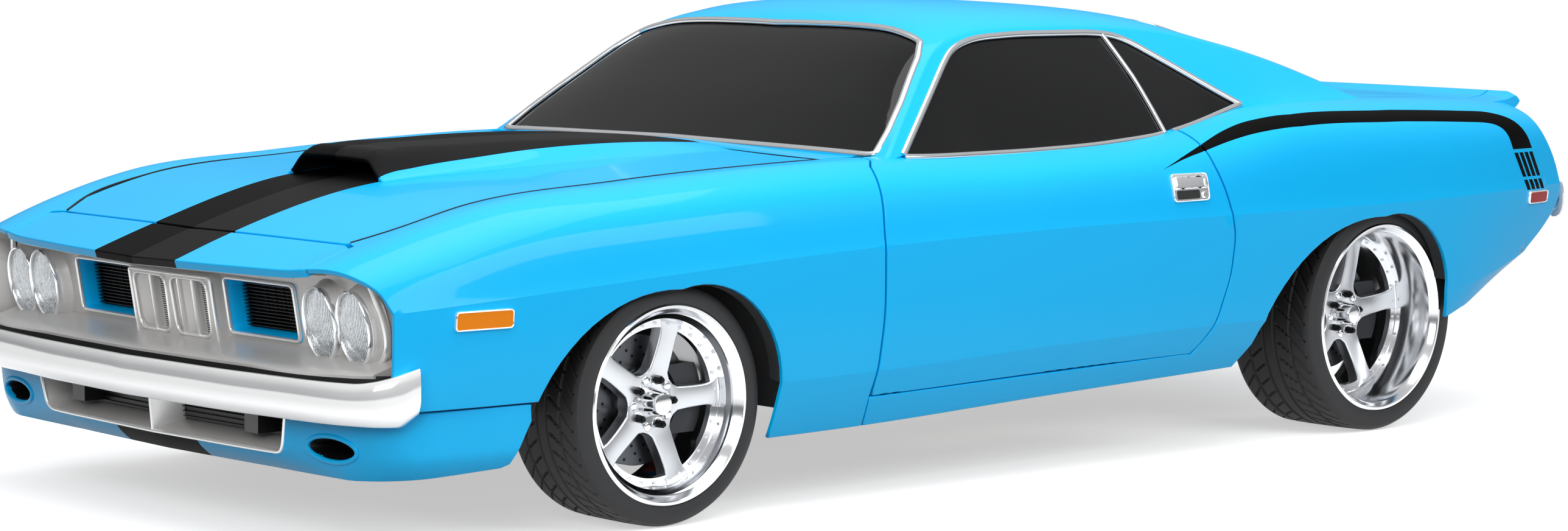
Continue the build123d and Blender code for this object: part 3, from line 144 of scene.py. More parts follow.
room_light()
softbox("top_softbox", (1.0, -0.5, 5.5), (0, 0, 0), 5.0, 7.0, 230)
softbox("front_softbox", (4.5, -6.5, 3.2), (0, 0, 0.5), 4.0, 3.0, 170)
softbox("side_softbox", (7.0, 1.5, 4.2), (0, 0.5, 0.4), 6.0, 2.5, 190)

FLOOR_HALF = 60
FADE = {"From Min": 2.4, "From Max": 5.0}  # where the floor turns to plain white
floor_mesh = bpy.data.meshes.new("floor")
corners = [(x * FLOOR_HALF, y * FLOOR_HALF, 0) for x, y in ((-1, -1), (1, -1), (1, 1), (-1, 1))]
floor_mesh.from_pydata(corners, [], [(0, 1, 2, 3)])
floor = bpy.data.objects.new("floor", floor_mesh)
floor_mat = bpy.data.materials.new("matt_white_floor")
floor_mat.use_nodes = True
tree = floor_mat.node_tree
tree.nodes.clear()
path = node(tree, "ShaderNodeLightPath")
place = node(tree, "ShaderNodeTexCoord")
reach = node(tree, "ShaderNodeVectorMath", links={0: place.outputs["Object"]}, operation="LENGTH")
far = node(
    tree, "ShaderNodeMapRange", FADE, {"Value": reach.outputs["Value"]}, interpolation_type="SMOOTHSTEP",
)
matt = node(tree, "ShaderNodeBsdfDiffuse", {"Color": linear("#eeeff0")})
dull = node(tree, "ShaderNodeBsdfDiffuse", {"Color": linear("#7a7d80")})
glow = node(tree, "ShaderNodeEmission", {"Color": (1, 1, 1, 1), "Strength": 0.52})
white = node(tree, "ShaderNodeEmission", {"Color": (1, 1, 1, 1), "Strength": 1.0})
lifted = node(tree, "ShaderNodeAddShader", links={0: matt.outputs[0], 1: glow.outputs[0]})
faded = node(
    tree, "ShaderNodeMixShader", links={0: far.outputs["Result"], 1: lifted.outputs[0], 2: white.outputs[0]},
)
seen = node(
    tree, "ShaderNodeMath", links={0: path.outputs["Is Camera Ray"], 1: path.outputs["Is Glossy Ray"]},
    operation="MAXIMUM",
)
seen = node(
    tree, "ShaderNodeMath", links={0: seen.outputs[0], 1: path.outputs["Is Transmission Ray"]},
    operation="MAXIMUM",
)
mix = node(tree, "ShaderNodeMixShader", links={0: seen.outputs[0], 1: dull.outputs[0], 2: faded.outputs[0]})
node(tree, "ShaderNodeOutputMaterial", links={"Surface": mix.outputs[0]})
floor_mesh.materials.append(floor_mat)
bpy.context.collection.objects.link(floor)

# ------------------------------------------------------------------------ car paint
# Solid bright blue two-stage enamel, sprayed and clear coated: a smooth wet gloss,
# with a faint orange peel. The stripes are satin black film under the same coat.


def principled(name, base, rough=0.5, metal=0.0, **sockets):
    """A Principled material with its plain values set, and its tree."""
    material = bpy.data.materials.new(name)
    material.use_nodes = True
    tree = material.node_tree
    shader = tree.nodes["Principled BSDF"]
    shader.inputs["Base Color"].default_value = linear(base)
    shader.inputs["Roughness"].default_value = rough
    shader.inputs["Metallic"].default_value = metal
    for key, value in sockets.items():
        shader.inputs[key.replace("_", " ")].default_value = value
    return material


def grain(material, metres, strength, distance=0.0005, detail=2.0, stretch=(1, 1, 1)):
    """Fine noise bump on Object coordinates, its scale given by the size of one grain."""
    tree = material.node_tree
    place = node(tree, "ShaderNodeTexCoord")
    scale = node(tree, "ShaderNodeMapping", {"Scale": stretch}, {"Vector": place.outputs["Object"]})
    noise = node(
        tree, "ShaderNodeTexNoise", {"Scale": 1 / metres, "Detail": detail}, {"Vector": scale.outputs[0]},
    )
    bump = node(
        tree, "ShaderNodeBump", {"Strength": strength, "Distance": distance}, {"Height": noise.outputs[0]},
    )
    tree.links.new(bump.outputs[0], tree.nodes["Principled BSDF"].inputs["Normal"])
    return noise


def mottle(material, metres, base, other):
    """Slow colour drift between two close tones, as on any large painted face."""
    tree = material.node_tree
    place = node(tree, "ShaderNodeTexCoord")
    noise = node(
        tree, "ShaderNodeTexNoise", {"Scale": 1 / metres, "Detail": 3.0}, {"Vector": place.outputs["Object"]},
    )
    mix = node(
        tree, "ShaderNodeMix", {"A": linear(base), "B": linear(other)}, {"Factor": noise.outputs[0]},
        data_type="RGBA",
    )
    tree.links.new(mix.outputs["Result"], tree.nodes["Principled BSDF"].inputs["Base Color"])


paint = principled(
    "clear_coated_blue_enamel", "#00b6fa", 0.42, Coat_Weight=0.24, Coat_Roughness=0.05,
    Specular_IOR_Level=0.14,
)
mottle(paint, 0.9, "#00b6f8", "#01bdfc")
grain(paint, 0.004, 0.02, 0.0002)
stripe_black = principled("satin_black_film", "#050506", 0.5, Specular_IOR_Level=0.04)
grain(stripe_black, 0.003, 0.03, 0.0002)
# The stripe's left half, on the side that faces the lights, is a lighter copy of the black film: painted
# sheen.
stripe_sheen_half = principled("stripe_black_painted_sheen", "#121213", 0.5, Specular_IOR_Level=0.08)
grain(stripe_sheen_half, 0.003, 0.03, 0.0002)
under_black = principled("chassis_black_paint", "#101113", 0.62)
mottle(under_black, 0.12, "#0e0f10", "#191a1c")
grain(under_black, 0.006, 0.25, 0.0006)

# --------------------------------------------------------------------- body surface
# The pressed steel body is one flowing surface that the panels are cut from. Each row
# below is half a cross-section, and splines run through the rows and round each one.
# Columns: s, centre z, then x z of the lid edge, crown, shoulder, waist crease, low
# crease and sill.
SECTIONS = np.array([
    (-0.960, 0.640, 0.560, 0.636, 0.740, 0.630, 0.815, 0.604, 0.858, 0.560, 0.855, 0.350, 0.835, 0.185),
    (-0.800, 0.697, 0.590, 0.691, 0.780, 0.688, 0.855, 0.655, 0.897, 0.572, 0.893, 0.350, 0.868, 0.165),
    (-0.450, 0.796, 0.650, 0.788, 0.795, 0.788, 0.878, 0.745, 0.930, 0.594, 0.924, 0.338, 0.895, 0.178),
    (0.000, 0.838, 0.680, 0.827, 0.805, 0.826, 0.888, 0.783, 0.943, 0.620, 0.937, 0.331, 0.905, 0.188),
    (0.650, 0.874, 0.700, 0.856, 0.812, 0.856, 0.898, 0.803, 0.948, 0.650, 0.943, 0.337, 0.908, 0.196),
    (1.300, 0.872, 0.700, 0.862, 0.815, 0.858, 0.900, 0.806, 0.949, 0.664, 0.945, 0.356, 0.910, 0.218),
    (1.930, 0.902, 0.690, 0.900, 0.800, 0.892, 0.898, 0.838, 0.951, 0.667, 0.946, 0.367, 0.910, 0.236),
    (2.300, 0.962, 0.680, 0.960, 0.775, 0.953, 0.890, 0.902, 0.952, 0.668, 0.944, 0.368, 0.908, 0.246),
    (2.760, 0.966, 0.672, 0.963, 0.790, 0.954, 0.884, 0.912, 0.951, 0.670, 0.940, 0.374, 0.918, 0.262),
    (3.100, 0.960, 0.668, 0.956, 0.788, 0.948, 0.876, 0.908, 0.942, 0.676, 0.928, 0.410, 0.914, 0.345),
    (3.400, 0.948, 0.655, 0.944, 0.775, 0.936, 0.860, 0.898, 0.915, 0.683, 0.888, 0.480, 0.830, 0.420),
    (3.660, 0.925, 0.640, 0.920, 0.750, 0.910, 0.822, 0.874, 0.868, 0.687, 0.850, 0.560, 0.800, 0.520),
])
WAIST = 4  # the creased places along a section, counted from the centre
LOW = 5
SILL = 6
CORNER_S = -0.895  # where the header's corner meets the fender


def spline(knots, values):
    """A smooth curve through values at uneven knots, as a function of an array."""
    knots = np.asarray(knots, float)
    values = np.asarray(values, float)
    gaps = np.diff(knots)
    slopes = np.diff(values, axis=0) / gaps[:, None]
    tangents = np.empty_like(values)
    tangents[0], tangents[-1] = slopes[0], slopes[-1]
    weighed = slopes[:-1] * gaps[1:, None] + slopes[1:] * gaps[:-1, None]
    tangents[1:-1] = weighed / (gaps[:-1] + gaps[1:])[:, None]

    def curve(t):
        """The values at t, carried on past the end knots by half a gap."""
        t = np.asarray(t, float)
        i = np.clip(np.searchsorted(knots, t, side="right") - 1, 0, len(gaps) - 1)
        h = gaps[i][..., None]
        f = np.clip((t - knots[i]) / gaps[i], -0.5, 1.5)[..., None]
        return (
            (2 * f**3 - 3 * f**2 + 1) * values[i]
            + (f**3 - 2 * f**2 + f) * h * tangents[i]
            + (3 * f**2 - 2 * f**3) * values[i + 1]
            + (f**3 - f**2) * h * tangents[i + 1]
        )

    return curve


section_columns = np.concatenate([np.zeros((len(SECTIONS), 1)), SECTIONS[:, 1:]], axis=1)
section_at = spline(SECTIONS[:, 0], section_columns)


def body(s, u):
    """Points of the body at stations s and places u round the section, u < 0 on the right."""
    s, u = np.broadcast_arrays(np.asarray(s, float), np.asarray(u, float))
    side = np.where(u < 0, -1.0, 1.0)
    u = np.clip(np.abs(u), 0, SILL)
    nodes = section_at(s).reshape(s.shape + (7, 2))
    steps = np.diff(nodes, axis=-2)
    length = np.linalg.norm(steps, axis=-1, keepdims=True)
    chord = steps / length
    leave = np.zeros_like(nodes)
    leave[..., 0, 0] = 1
    smooth = (chord[..., :-1, :] * length[..., 1:, :] + chord[..., 1:, :] * length[..., :-1, :])
    leave[..., 1:6, :] = smooth / (length[..., :-1, :] + length[..., 1:, :])
    arrive = leave.copy()
    arrive[..., WAIST, :] = chord[..., WAIST - 1, :] + np.array((-0.08, -0.02))
    leave[..., WAIST, :] = chord[..., WAIST, :] + np.array((0.03, 0))
    arrive[..., LOW, :] = chord[..., LOW - 1, :] - np.array((0.03, 0))
    leave[..., LOW, :] = chord[..., LOW, :] + np.array((0.06, 0))
    arrive[..., SILL, :] = chord[..., SILL - 1, :] - np.array((0.10, 0))
    i = np.minimum(u.astype(int), SILL - 1)
    f = (u - i)[..., None]
    pick = lambda table, k: np.take_along_axis(table, k[..., None, None].repeat(2, -1), -2)[..., 0, :]
    h = np.take_along_axis(length, i[..., None, None], -2)[..., 0, :]
    flat = (
        (2 * f**3 - 3 * f**2 + 1) * pick(nodes, i)
        + (f**3 - 2 * f**2 + f) * h * pick(leave, i)
        + (3 * f**2 - 2 * f**3) * pick(nodes, i + 1)
        + (f**3 - f**2) * h * pick(arrive, i + 1)
    )
    return np.stack([flat[..., 0] * side, AXLE_Y + s, flat[..., 1]], -1)


def solve(function, low, high, rising=True):
    """Where a monotonic function of an array crosses zero, by halving."""
    low, high = np.array(low, float), np.array(high, float)
    for _ in range(40):
        middle = (low + high) / 2
        below = (function(middle) < 0) == rising
        low = np.where(below, middle, low)
        high = np.where(below, high, middle)
    return (low + high) / 2


def u_at_x(s, x):
    """Place round the section, above the waist, that lies x from the centre line."""
    s, x = np.broadcast_arrays(np.asarray(s, float), np.asarray(x, float))
    return solve(lambda u: body(s, u)[..., 0] - x, np.zeros(s.shape), np.full(s.shape, 3.98))


def u_at_z(s, z):
    """Place round the section's side that lies at the height z."""
    s, z = np.broadcast_arrays(np.asarray(s, float), np.asarray(z, float))
    return solve(lambda u: body(s, u)[..., 2] - z, np.full(s.shape, 2.0), np.full(s.shape, 6.0), rising=False)


def refined(points, step, closed=True):
    """A line through points with no stretch longer than step (in both columns' scale)."""
    points = np.asarray(points, float)
    out = []
    ends = np.roll(points, -1, axis=0) if closed else points[1:]
    for a, b in zip(points, ends):
        count = max(1, int(math.ceil(np.max(np.abs(b - a) / np.asarray(step)))))
        out += [a + (b - a) * k / count for k in range(count)]
    if not closed:
        out.append(points[-1])
    return np.array(out)


def rounded(points, radius, closed=True, steps=4):
    """A line with each corner cut back by up to radius and replaced by a short curve."""
    points = np.asarray(points, float)
    count = len(points)
    out = []
    for i, p in enumerate(points):
        if not closed and i in (0, count - 1):
            out.append(p)
            continue
        before, after = points[i - 1] - p, points[(i + 1) % count] - p
        reach_b = min(radius, np.linalg.norm(before) * 0.48)
        reach_a = min(radius, np.linalg.norm(after) * 0.48)
        a = p + before / np.linalg.norm(before) * reach_b
        b = p + after / np.linalg.norm(after) * reach_a
        for k in range(steps + 1):
            t = k / steps
            out.append((1 - t) ** 2 * a + 2 * t * (1 - t) * p + t * t * b)
    return np.array(out)


def inside(polygon, points):
    """Which points lie inside a closed polygon."""
    a, b = polygon, np.roll(polygon, -1, axis=0)
    px, py = points[:, 0:1], points[:, 1:2]
    crosses = (a[:, 1] > py) != (b[:, 1] > py)
    with np.errstate(divide="ignore", invalid="ignore"):
        at_x = (b[:, 0] - a[:, 0]) * (py - a[:, 1]) / (b[:, 1] - a[:, 1]) + a[:, 0]
    return (crosses & (px < at_x)).sum(1) % 2 == 1


def distance_to(polygon, points):
    """Distance from each point to a closed polygon's edges."""
    a, b = polygon, np.roll(polygon, -1, axis=0)
    best = np.full(len(points), 1e9)
    for p, q in zip(a, b):
        d = q - p
        t = np.clip(((points - p) @ d) / max(d @ d, 1e-12), 0, 1)
        best = np.minimum(best, np.linalg.norm(points - (p + t[:, None] * d), axis=1))
    return best


def surface_normal(surface, a, b):
    """Outward unit normals of a surface given as a function of two columns."""
    e = 5e-4
    along = surface(a + e, b) - surface(a - e, b)
    across = surface(a, b + e) - surface(a, b - e)
    normal = np.cross(across, along)
    return normal / np.maximum(np.linalg.norm(normal, axis=-1, keepdims=True), 1e-12)


def finished_mesh(name, points, faces, normals, slots, materials, mirrored):
    """A mesh object with its own corner normals, or its mirror image."""
    points = np.array(points)
    if mirrored:
        points = points * (-1, 1, 1)
        faces = [f[::-1] for f in faces]
        normals = [[n * (-1, 1, 1) for n in row[::-1]] for row in normals]
    mesh = bpy.data.meshes.new(name)
    mesh.from_pydata([tuple(p) for p in points], [], [tuple(f) for f in faces])
    for material in materials:
        mesh.materials.append(material)
    mesh.polygons.foreach_set("material_index", slots)
    mesh.polygons.foreach_set("use_smooth", [True] * len(faces))
    mesh.normals_split_custom_set([tuple(n) for row in normals for n in row])
    mesh.update()
    made = bpy.data.objects.new(name, mesh)
    bpy.context.collection.objects.link(made)
    return made


HEM_TURNS = (math.radians(30), math.radians(60), math.radians(90))


def panel(
    name, surface, outline, materials, holes=(), marks=(), creases=(), step=(0.028, 0.16), scale=(1, 0.14),
    depth=0.012, hem=0.003, lift=0.0, mirrored=False,
):
    """A sheet panel cut from a surface, with rolled edges and an inner face.

    outline and holes are closed lines in the surface's two columns. marks are closed
    lines whose inside takes the next material. creases are values of the second column.
    The materials are the outer face's, each mark's and last the inner face's.
    """
    scale = np.array(scale)
    loops = [refined(line, np.array(step) * 0.75) * scale for line in (outline, *holes)]
    painted = [refined(line, np.array(step) * 0.75) * scale for line in marks]
    low, high = loops[0].min(0), loops[0].max(0)
    cell = np.array(step) * scale
    columns = np.arange(low[0] + cell[0] / 2, high[0], cell[0])
    rows = np.arange(math.floor(low[1] / cell[1]) * cell[1], high[1], cell[1])
    for crease in creases:
        rows = rows[np.abs(rows - crease * scale[1]) > cell[1] * 0.4]
    rows = np.sort(np.concatenate([rows, [c * scale[1] for c in creases]]))
    grid = np.array([(x + (0.5 * cell[0] if k % 2 else 0), y) for k, y in enumerate(rows) for x in columns])
    keep = inside(loops[0], grid) & (distance_to(loops[0], grid) > cell.min() * 0.4)
    for hole in loops[1:]:
        keep &= ~inside(hole, grid) & (distance_to(hole, grid) > cell.min() * 0.4)
    for mark in painted:
        keep &= distance_to(mark, grid) > cell.min() * 0.35
    grid = grid[keep]
    points, edges = [], []
    for line in loops + painted:
        first = len(points)
        points += [Vector(p) for p in line]
        edges += [(first + k, first + (k + 1) % len(line)) for k in range(len(line))]
    first = len(points)
    points += [Vector(p) for p in grid]
    for crease in creases:
        on = np.nonzero(np.abs(grid[:, 1] - crease * scale[1]) < 1e-9)[0]
        on = on[np.argsort(grid[on, 0])]
        for a, b in zip(on[:-1], on[1:]):
            if grid[b, 0] - grid[a, 0] < cell[0] * 1.6:
                edges.append((first + int(a), first + int(b)))
    flat, _, triangles, _, _, _ = delaunay_2d_cdt(points, edges, [], 0, 1e-7, False)
    flat = np.array([tuple(p) for p in flat])
    triangles = np.array(triangles)
    centres = flat[triangles].mean(1)
    kept = inside(loops[0], centres)
    for hole in loops[1:]:
        kept &= ~inside(hole, centres)
    a, b, c = (flat[triangles[:, k]] for k in range(3))
    area = (b[:, 0] - a[:, 0]) * (c[:, 1] - a[:, 1]) - (b[:, 1] - a[:, 1]) * (c[:, 0] - a[:, 0])
    kept &= np.abs(area) > 1e-10
    triangles = np.where((area > 0)[:, None], triangles[:, ::-1], triangles)[kept]
    centres = centres[kept]
    used = np.unique(triangles)
    renumber = np.full(len(flat), -1)
    renumber[used] = np.arange(len(used))
    triangles, flat = renumber[triangles], flat[used] / scale
    place = surface(flat[:, 0], flat[:, 1])
    normal = surface_normal(surface, flat[:, 0], flat[:, 1])
    place = place + normal * lift
    # The sheet's edge points, each with its way out of the sheet.
    pairs = {}
    for t in triangles:
        for k in range(3):
            pairs[(t[k], t[(k + 1) % 3])] = True
    rim = [(i, j) for i, j in pairs if (j, i) not in pairs]
    out = {}
    for i, j in rim:
        way = np.cross(place[j] - place[i], normal[i])
        way /= max(np.linalg.norm(way), 1e-12)
        out.setdefault(i, []).append(way)
        out.setdefault(j, []).append(way)
    for i, ways in out.items():
        mean = sum(ways)
        mean /= max(np.linalg.norm(mean), 1e-9)
        out[i] = (mean, min(1.6, 1 / max(0.3, float(mean @ ways[0]))))
    count = len(place)
    verts = list(place)
    ring_of = {}
    for i, (way, miter) in out.items():
        verts[i] = place[i] - way * hem * miter
        ring = []
        for angle in HEM_TURNS:
            ring.append(len(verts))
            verts.append(
                verts[i] + way * hem * miter * math.sin(angle) - normal[i] * hem * (1 - math.cos(angle))
            )
        ring.append(len(verts))
        verts.append(place[i] - normal[i] * depth)
        ring_of[i] = ring
    inner = {}
    for i in range(count):
        if i in ring_of:
            inner[i] = ring_of[i][-1]
        else:
            inner[i] = len(verts)
            verts.append(place[i] - normal[i] * depth)
    faces, corner, slots = [], [], []
    for t, centre in zip(triangles, centres):
        own = []
        for i in t:
            n = normal[i]
            for c in creases:
                if abs(abs(flat[i, 1]) - c) < 1e-7:
                    nudge = 2e-3 if abs(centre[1] / scale[1]) > c else -2e-3
                    b = np.sign(flat[i, 1]) * (c + nudge)
                    n = surface_normal(surface, flat[i : i + 1, 0], np.array([b]))[0]
            own.append(n)
        slot = 0
        for k, mark in enumerate(painted):
            if inside(mark, centre[None])[0]:
                slot = k + 1
        faces.append(list(t))
        corner.append(own)
        slots.append(slot)
    last = len(materials) - 1
    face_slot = {}
    for t, slot in zip(triangles, slots):
        for k in range(3):
            face_slot[(t[k], t[(k + 1) % 3])] = slot
    for i, j in rim:
        a, b = [i, *ring_of[i]], [j, *ring_of[j]]
        turns = (0.0, *HEM_TURNS, HEM_TURNS[-1])
        for k in range(len(a) - 1):
            faces.append([a[k], a[k + 1], b[k + 1], b[k]])
            rows_n = []
            for v, turn_at in ((i, turns[k]), (i, turns[k + 1]), (j, turns[k + 1]), (j, turns[k])):
                rows_n.append(normal[v] * math.cos(turn_at) + out[v][0] * math.sin(turn_at))
            corner.append(rows_n)
            slots.append(face_slot[(i, j)])
    for t in triangles:
        faces.append([inner[t[2]], inner[t[1]], inner[t[0]]])
        corner.append([-normal[t[2]], -normal[t[1]], -normal[t[0]]])
        slots.append(last)
    return finished_mesh(name, verts, faces, corner, slots, materials, mirrored)


# --------------------------------------------------------------------- nose and hood
# The header panel ends in the nose's thin leading lip. Behind it the hood lies between
# the fenders, both pressed steel, with a black stripe up the middle; its left half is painted sheen.
GAP = 0.0065
NOSE_PLAN = (
    (0, -0.946), (0.400, -0.926), (0.655, -0.899), (0.760, -0.880), (0.862, -0.845), (0.925, -0.770),
    (0.962, -0.640),
)
HOOD_EDGE = ((0.612, -0.748), (0.660, -0.660), (0.676, -0.450), (0.682, 0.0), (0.700, 0.664))
HOOD_FRONT_MID = -0.768
HEADER_X = 0.6553
HEADER_S = -0.775
# Stripe half width along the car.
STRIPE = spline((-0.95, -0.76, -0.33, 0.664), [[0.176], [0.172], [0.190], [0.262]])
nose_line = spline([x for x, _ in NOSE_PLAN], [[s] for _, s in NOSE_PLAN])
hood_side = spline([s for _, s in HOOD_EDGE], [[x] for x, _ in HOOD_EDGE])


def mirror_line(half):
    """A closed line from its left half, given from the centre out and back to the centre."""
    half = np.asarray(half, float)
    other = half[::-1] * (1, -1)
    other = other[np.abs(other[:, 1]) > 1e-9]
    return np.concatenate([half, other])


PLAN_STEP = 0.05


def plan_line(points):
    """Line of (s, u) places over a plan line of (x, s) points, refined on the way."""
    line = refined(points, (PLAN_STEP, PLAN_STEP), closed=False)
    sign = np.where(line[:, 0] < 0, -1, 1)
    return np.stack([line[:, 1], sign * u_at_x(line[:, 1], np.abs(line[:, 0]))], 1)


def band(half_width, s0, s1, trim=0.0):
    """Closed (s, u) line of a stripe with half widths half_width(s) between two stations."""
    stations = np.linspace(s0, s1, 24)
    edge = np.stack([stations, u_at_x(stations, half_width(stations)[..., 0] - trim)], 1)
    return np.concatenate([edge, (edge * (1, -1))[::-1]])


def sheen_half_band(half_width, s0, s1):
    """The stripe's half on the car's left, a hair inside its edge, which takes the painted sheen."""
    edge = band(half_width, s0, s1, trim=0.0015)[:24]
    return np.concatenate([edge, (edge * (1, 0))[::-1]])


front = [(x, float(nose_line(x)[0])) for x in np.linspace(0, HEADER_X, 16)]
nose_half = [
    *front, (HEADER_X, HEADER_S), (HOOD_EDGE[0][0], HOOD_EDGE[0][1] - GAP), (0, HOOD_FRONT_MID - GAP),
]
nose = panel(
    "nose_header", body, mirror_line(plan_line(nose_half)), [paint, stripe_black, stripe_sheen_half, under_black],
    marks=[band(STRIPE, -1.05, -0.70), sheen_half_band(STRIPE, -1.05, -0.70)], hem=0.004, depth=0.02,
)
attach(nose, "body")
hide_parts("nose_panel")

hood_half = [(0, HOOD_FRONT_MID), *[(x - GAP / 2, s) for x, s in HOOD_EDGE], (0, HOOD_EDGE[-1][1])]
hood_skin = panel(
    "hood_skin", body, mirror_line(plan_line(hood_half)), [paint, stripe_black, stripe_sheen_half, paint],
    marks=[band(STRIPE, -0.85, 0.75), sheen_half_band(STRIPE, -0.85, 0.75)], hem=0.003, depth=0.016,
)
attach(hood_skin, "hood")
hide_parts("hood")

# The scoop is a second pressing on the hood: a rounded bulge that opens forward in a
# wide mouth and widens as it runs back to the cowl. Columns: s, top z above the hood,
# half width of the flat top, half width of the foot.
SCOOP = np.array([
    (-0.345, 0.052, 0.150, 0.212),
    (-0.330, 0.062, 0.152, 0.216),
    (-0.250, 0.066, 0.158, 0.228),
    (-0.060, 0.060, 0.172, 0.262),
    (0.250, 0.044, 0.200, 0.330),
    (0.500, 0.026, 0.225, 0.385),
    (0.658, 0.012, 0.240, 0.420),
])
scoop_at = spline(SCOOP[:, 0], SCOOP[:, 1:])


def scoop_surface(s, v):
    """Points of the scoop's skin; v runs from -1 at its right foot to 1 at its left."""
    s, v = np.broadcast_arrays(np.asarray(s, float), np.asarray(v, float))
    high, top, foot = np.moveaxis(scoop_at(s), -1, 0)
    a = np.clip(np.abs(v), 0, 1)
    x = np.where(a < 0.5, a * 2 * top, top + (foot - top) * (a * 2 - 1))
    ease = np.clip((x - top * 0.86) / (foot - top * 0.86), 0, 1)
    rise = high * (
        1 - ease * ease * (3 - 2 * ease)
    ) + high * 0.05 * (1 - (x / foot) ** 2) - 0.0015 * (a > 0.98)
    base = body(s, u_at_x(s, x))
    return np.stack([x * np.where(v < 0, -1, 1), base[..., 1], base[..., 2] + rise], -1)


stations = np.linspace(-0.345, 0.658, 30)
scoop_edge = [(s, 0.992) for s in stations]
scoop_outline = np.array(scoop_edge + [(s, -v) for s, v in scoop_edge[::-1]])


def scoop_v(s, x):
    """v of the scoop's skin at x, found by halving."""
    s, x = np.broadcast_arrays(np.asarray(s, float), np.asarray(x, float))
    return solve(lambda v: scoop_surface(s, v)[..., 0] - x, np.zeros(s.shape), np.ones(s.shape))


stripe_stations = np.linspace(-0.40, 0.70, 30)
stripe_v = scoop_v(stripe_stations, STRIPE(stripe_stations)[..., 0])
scoop_stripe = np.stack([stripe_stations, stripe_v], 1)
# The left half of the scoop's stripe takes the painted sheen.
scoop_sheen_half = scoop_stripe - (0, 0.006)
scoop_skin = panel(
    "hood_scoop_skin", scoop_surface, scoop_outline, [paint, stripe_black, stripe_sheen_half, under_black],
    marks=[
        np.concatenate([scoop_stripe, (scoop_stripe * (1, -1))[::-1]]),
        np.concatenate([scoop_sheen_half, (scoop_sheen_half * (1, 0))[::-1]]),
    ],
    step=(0.028, 0.07), scale=(1, 0.3), hem=0.004, depth=0.012,
)
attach(scoop_skin, "hood")

# ------------------------------------------------------------------------- fenders
# Each front fender is one pressing from the hood's edge over the crown to the lower
# seam, with the wheel opening's flange turned in. Its front wraps round the lamps.
LOW_SEAM_Z = 0.343
SILL_Z = 0.273
DOOR_FRONT = np.array(
    [(0.745, 0.880), (0.690, 0.812), (0.674, 0.678), (0.675, 0.480), (0.657, 0.342), (0.640, SILL_Z)]
)
DOOR_REAR = np.array(
    [
        (1.858, 0.290), (1.905, 0.330), (1.946, 0.376), (1.998, 0.500), (2.014, 0.611), (1.988, 0.720),
        (1.948, 0.815), (1.944, 0.930),
    ]
)
FRONT_ARCH = ((-0.452, 0.290), (-0.305, 0.490), (0, 0.582), (0.240, 0.524), (0.330, 0.330))
REAR_ARCH = ((2.116, 0.300), (2.342, 0.548), (2.672, 0.632), (2.898, 0.574), (2.985, 0.430))


def side_line(points):
    """Line of (s, u) places on the body's side over (s, z) points."""
    line = np.asarray(points, float)
    return np.stack([line[:, 0], u_at_z(line[:, 0], line[:, 1])], 1)


BOW_STEPS = 14


def bow(a, b, c):
    """Points of the circle's arc from a through b to c."""
    (ax, ay), (bx, by), (cx, cy) = a, b, c
    d = 2 * (ax * (by - cy) + bx * (cy - ay) + cx * (ay - by))
    x = (
        (ax * ax + ay * ay) * (by - cy) + (bx * bx + by * by) * (cy - ay) + (cx * cx + cy * cy) * (ay - by)
    ) / d
    y = (
        (ax * ax + ay * ay) * (cx - bx) + (bx * bx + by * by) * (ax - cx) + (cx * cx + cy * cy) * (bx - ax)
    ) / d
    start, middle, end = (math.atan2(q - y, p - x) for p, q in (a, b, c))
    sweep = (end - start) % (2 * math.pi)
    if not (middle - start) % (2 * math.pi) < sweep:
        sweep -= 2 * math.pi
    r = math.hypot(ax - x, ay - y)
    turns = [start + sweep * k / BOW_STEPS for k in range(BOW_STEPS + 1)]
    return [(x + r * math.cos(turn), y + r * math.sin(turn)) for turn in turns]


def arch_line(arch):
    """Points of a wheel opening from its front foot over the top to its rear foot."""
    return bow(*arch[:3]) + bow(*arch[2:])[1:]


door_front_line = rounded(DOOR_FRONT, 0.045, closed=False)
door_rear_line = rounded(DOOR_REAR, 0.03, closed=False)


def nose_end(u):
    """Station where the nose's plan line crosses the body at the place u."""
    u = np.asarray(u, float)
    reach = lambda s: s - nose_line(body(s, u)[..., 0])[..., 0]
    return solve(reach, np.full(u.shape, -0.955), np.full(u.shape, -0.60))


def below_seam(s):
    """Place round the section of the seam between fender and valance."""
    return float(u_at_z(s, LOW_SEAM_Z))


def fender_outline():
    """Closed (s, u) line of the left fender, from the nose round the wheel to the door."""
    front_u = np.linspace(float(u_at_x(CORNER_S, HEADER_X + 0.001)), LOW, 26)
    front = np.stack([nose_end(front_u), front_u], 1)
    seam_s = float(nose_end(np.array(LOW)))
    arch = [(s, z) for s, z in arch_line(FRONT_ARCH) if z > LOW_SEAM_Z or s > 0]
    arch_foot = arch[0][0] - 0.012
    low = [(s, below_seam(s)) for s in np.linspace(seam_s + 0.02, arch_foot, 12)]
    opening = side_line(arch)
    foot_s = FRONT_ARCH[-1][0] - 0.012
    sill = np.array([(foot_s - 0.005, SILL), (0.634 - GAP / 2, SILL)])
    rear = side_line([(s - GAP / 2, z) for s, z in door_front_line[::-1]])
    top = np.array([(0.745, float(u_at_x(0.745, 0.760))), (0.745, float(u_at_x(0.745, 0.7065)))])
    inner_s = np.linspace(0.70, -0.745, 40)
    inner = np.stack([inner_s, u_at_x(inner_s, hood_side(inner_s)[..., 0] + GAP / 2)], 1)
    corner = plan_line([(HEADER_X + 0.001, HEADER_S + 0.012), (HEADER_X + 0.001, -0.885)])
    inner = inner[inner[:, 0] > HEADER_S + 0.02]
    return np.concatenate([front, low, opening, sill, rear, top, inner, corner])


for side, flip in (("left", False), ("right", True)):
    fender = panel(
        f"fender_skin_{side}", body, fender_outline(), [paint, under_black],
        creases=(WAIST, LOW), hem=0.0025, depth=0.011, mirrored=flip,
    )
    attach(fender, "body")
    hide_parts(f"fender_{side}")

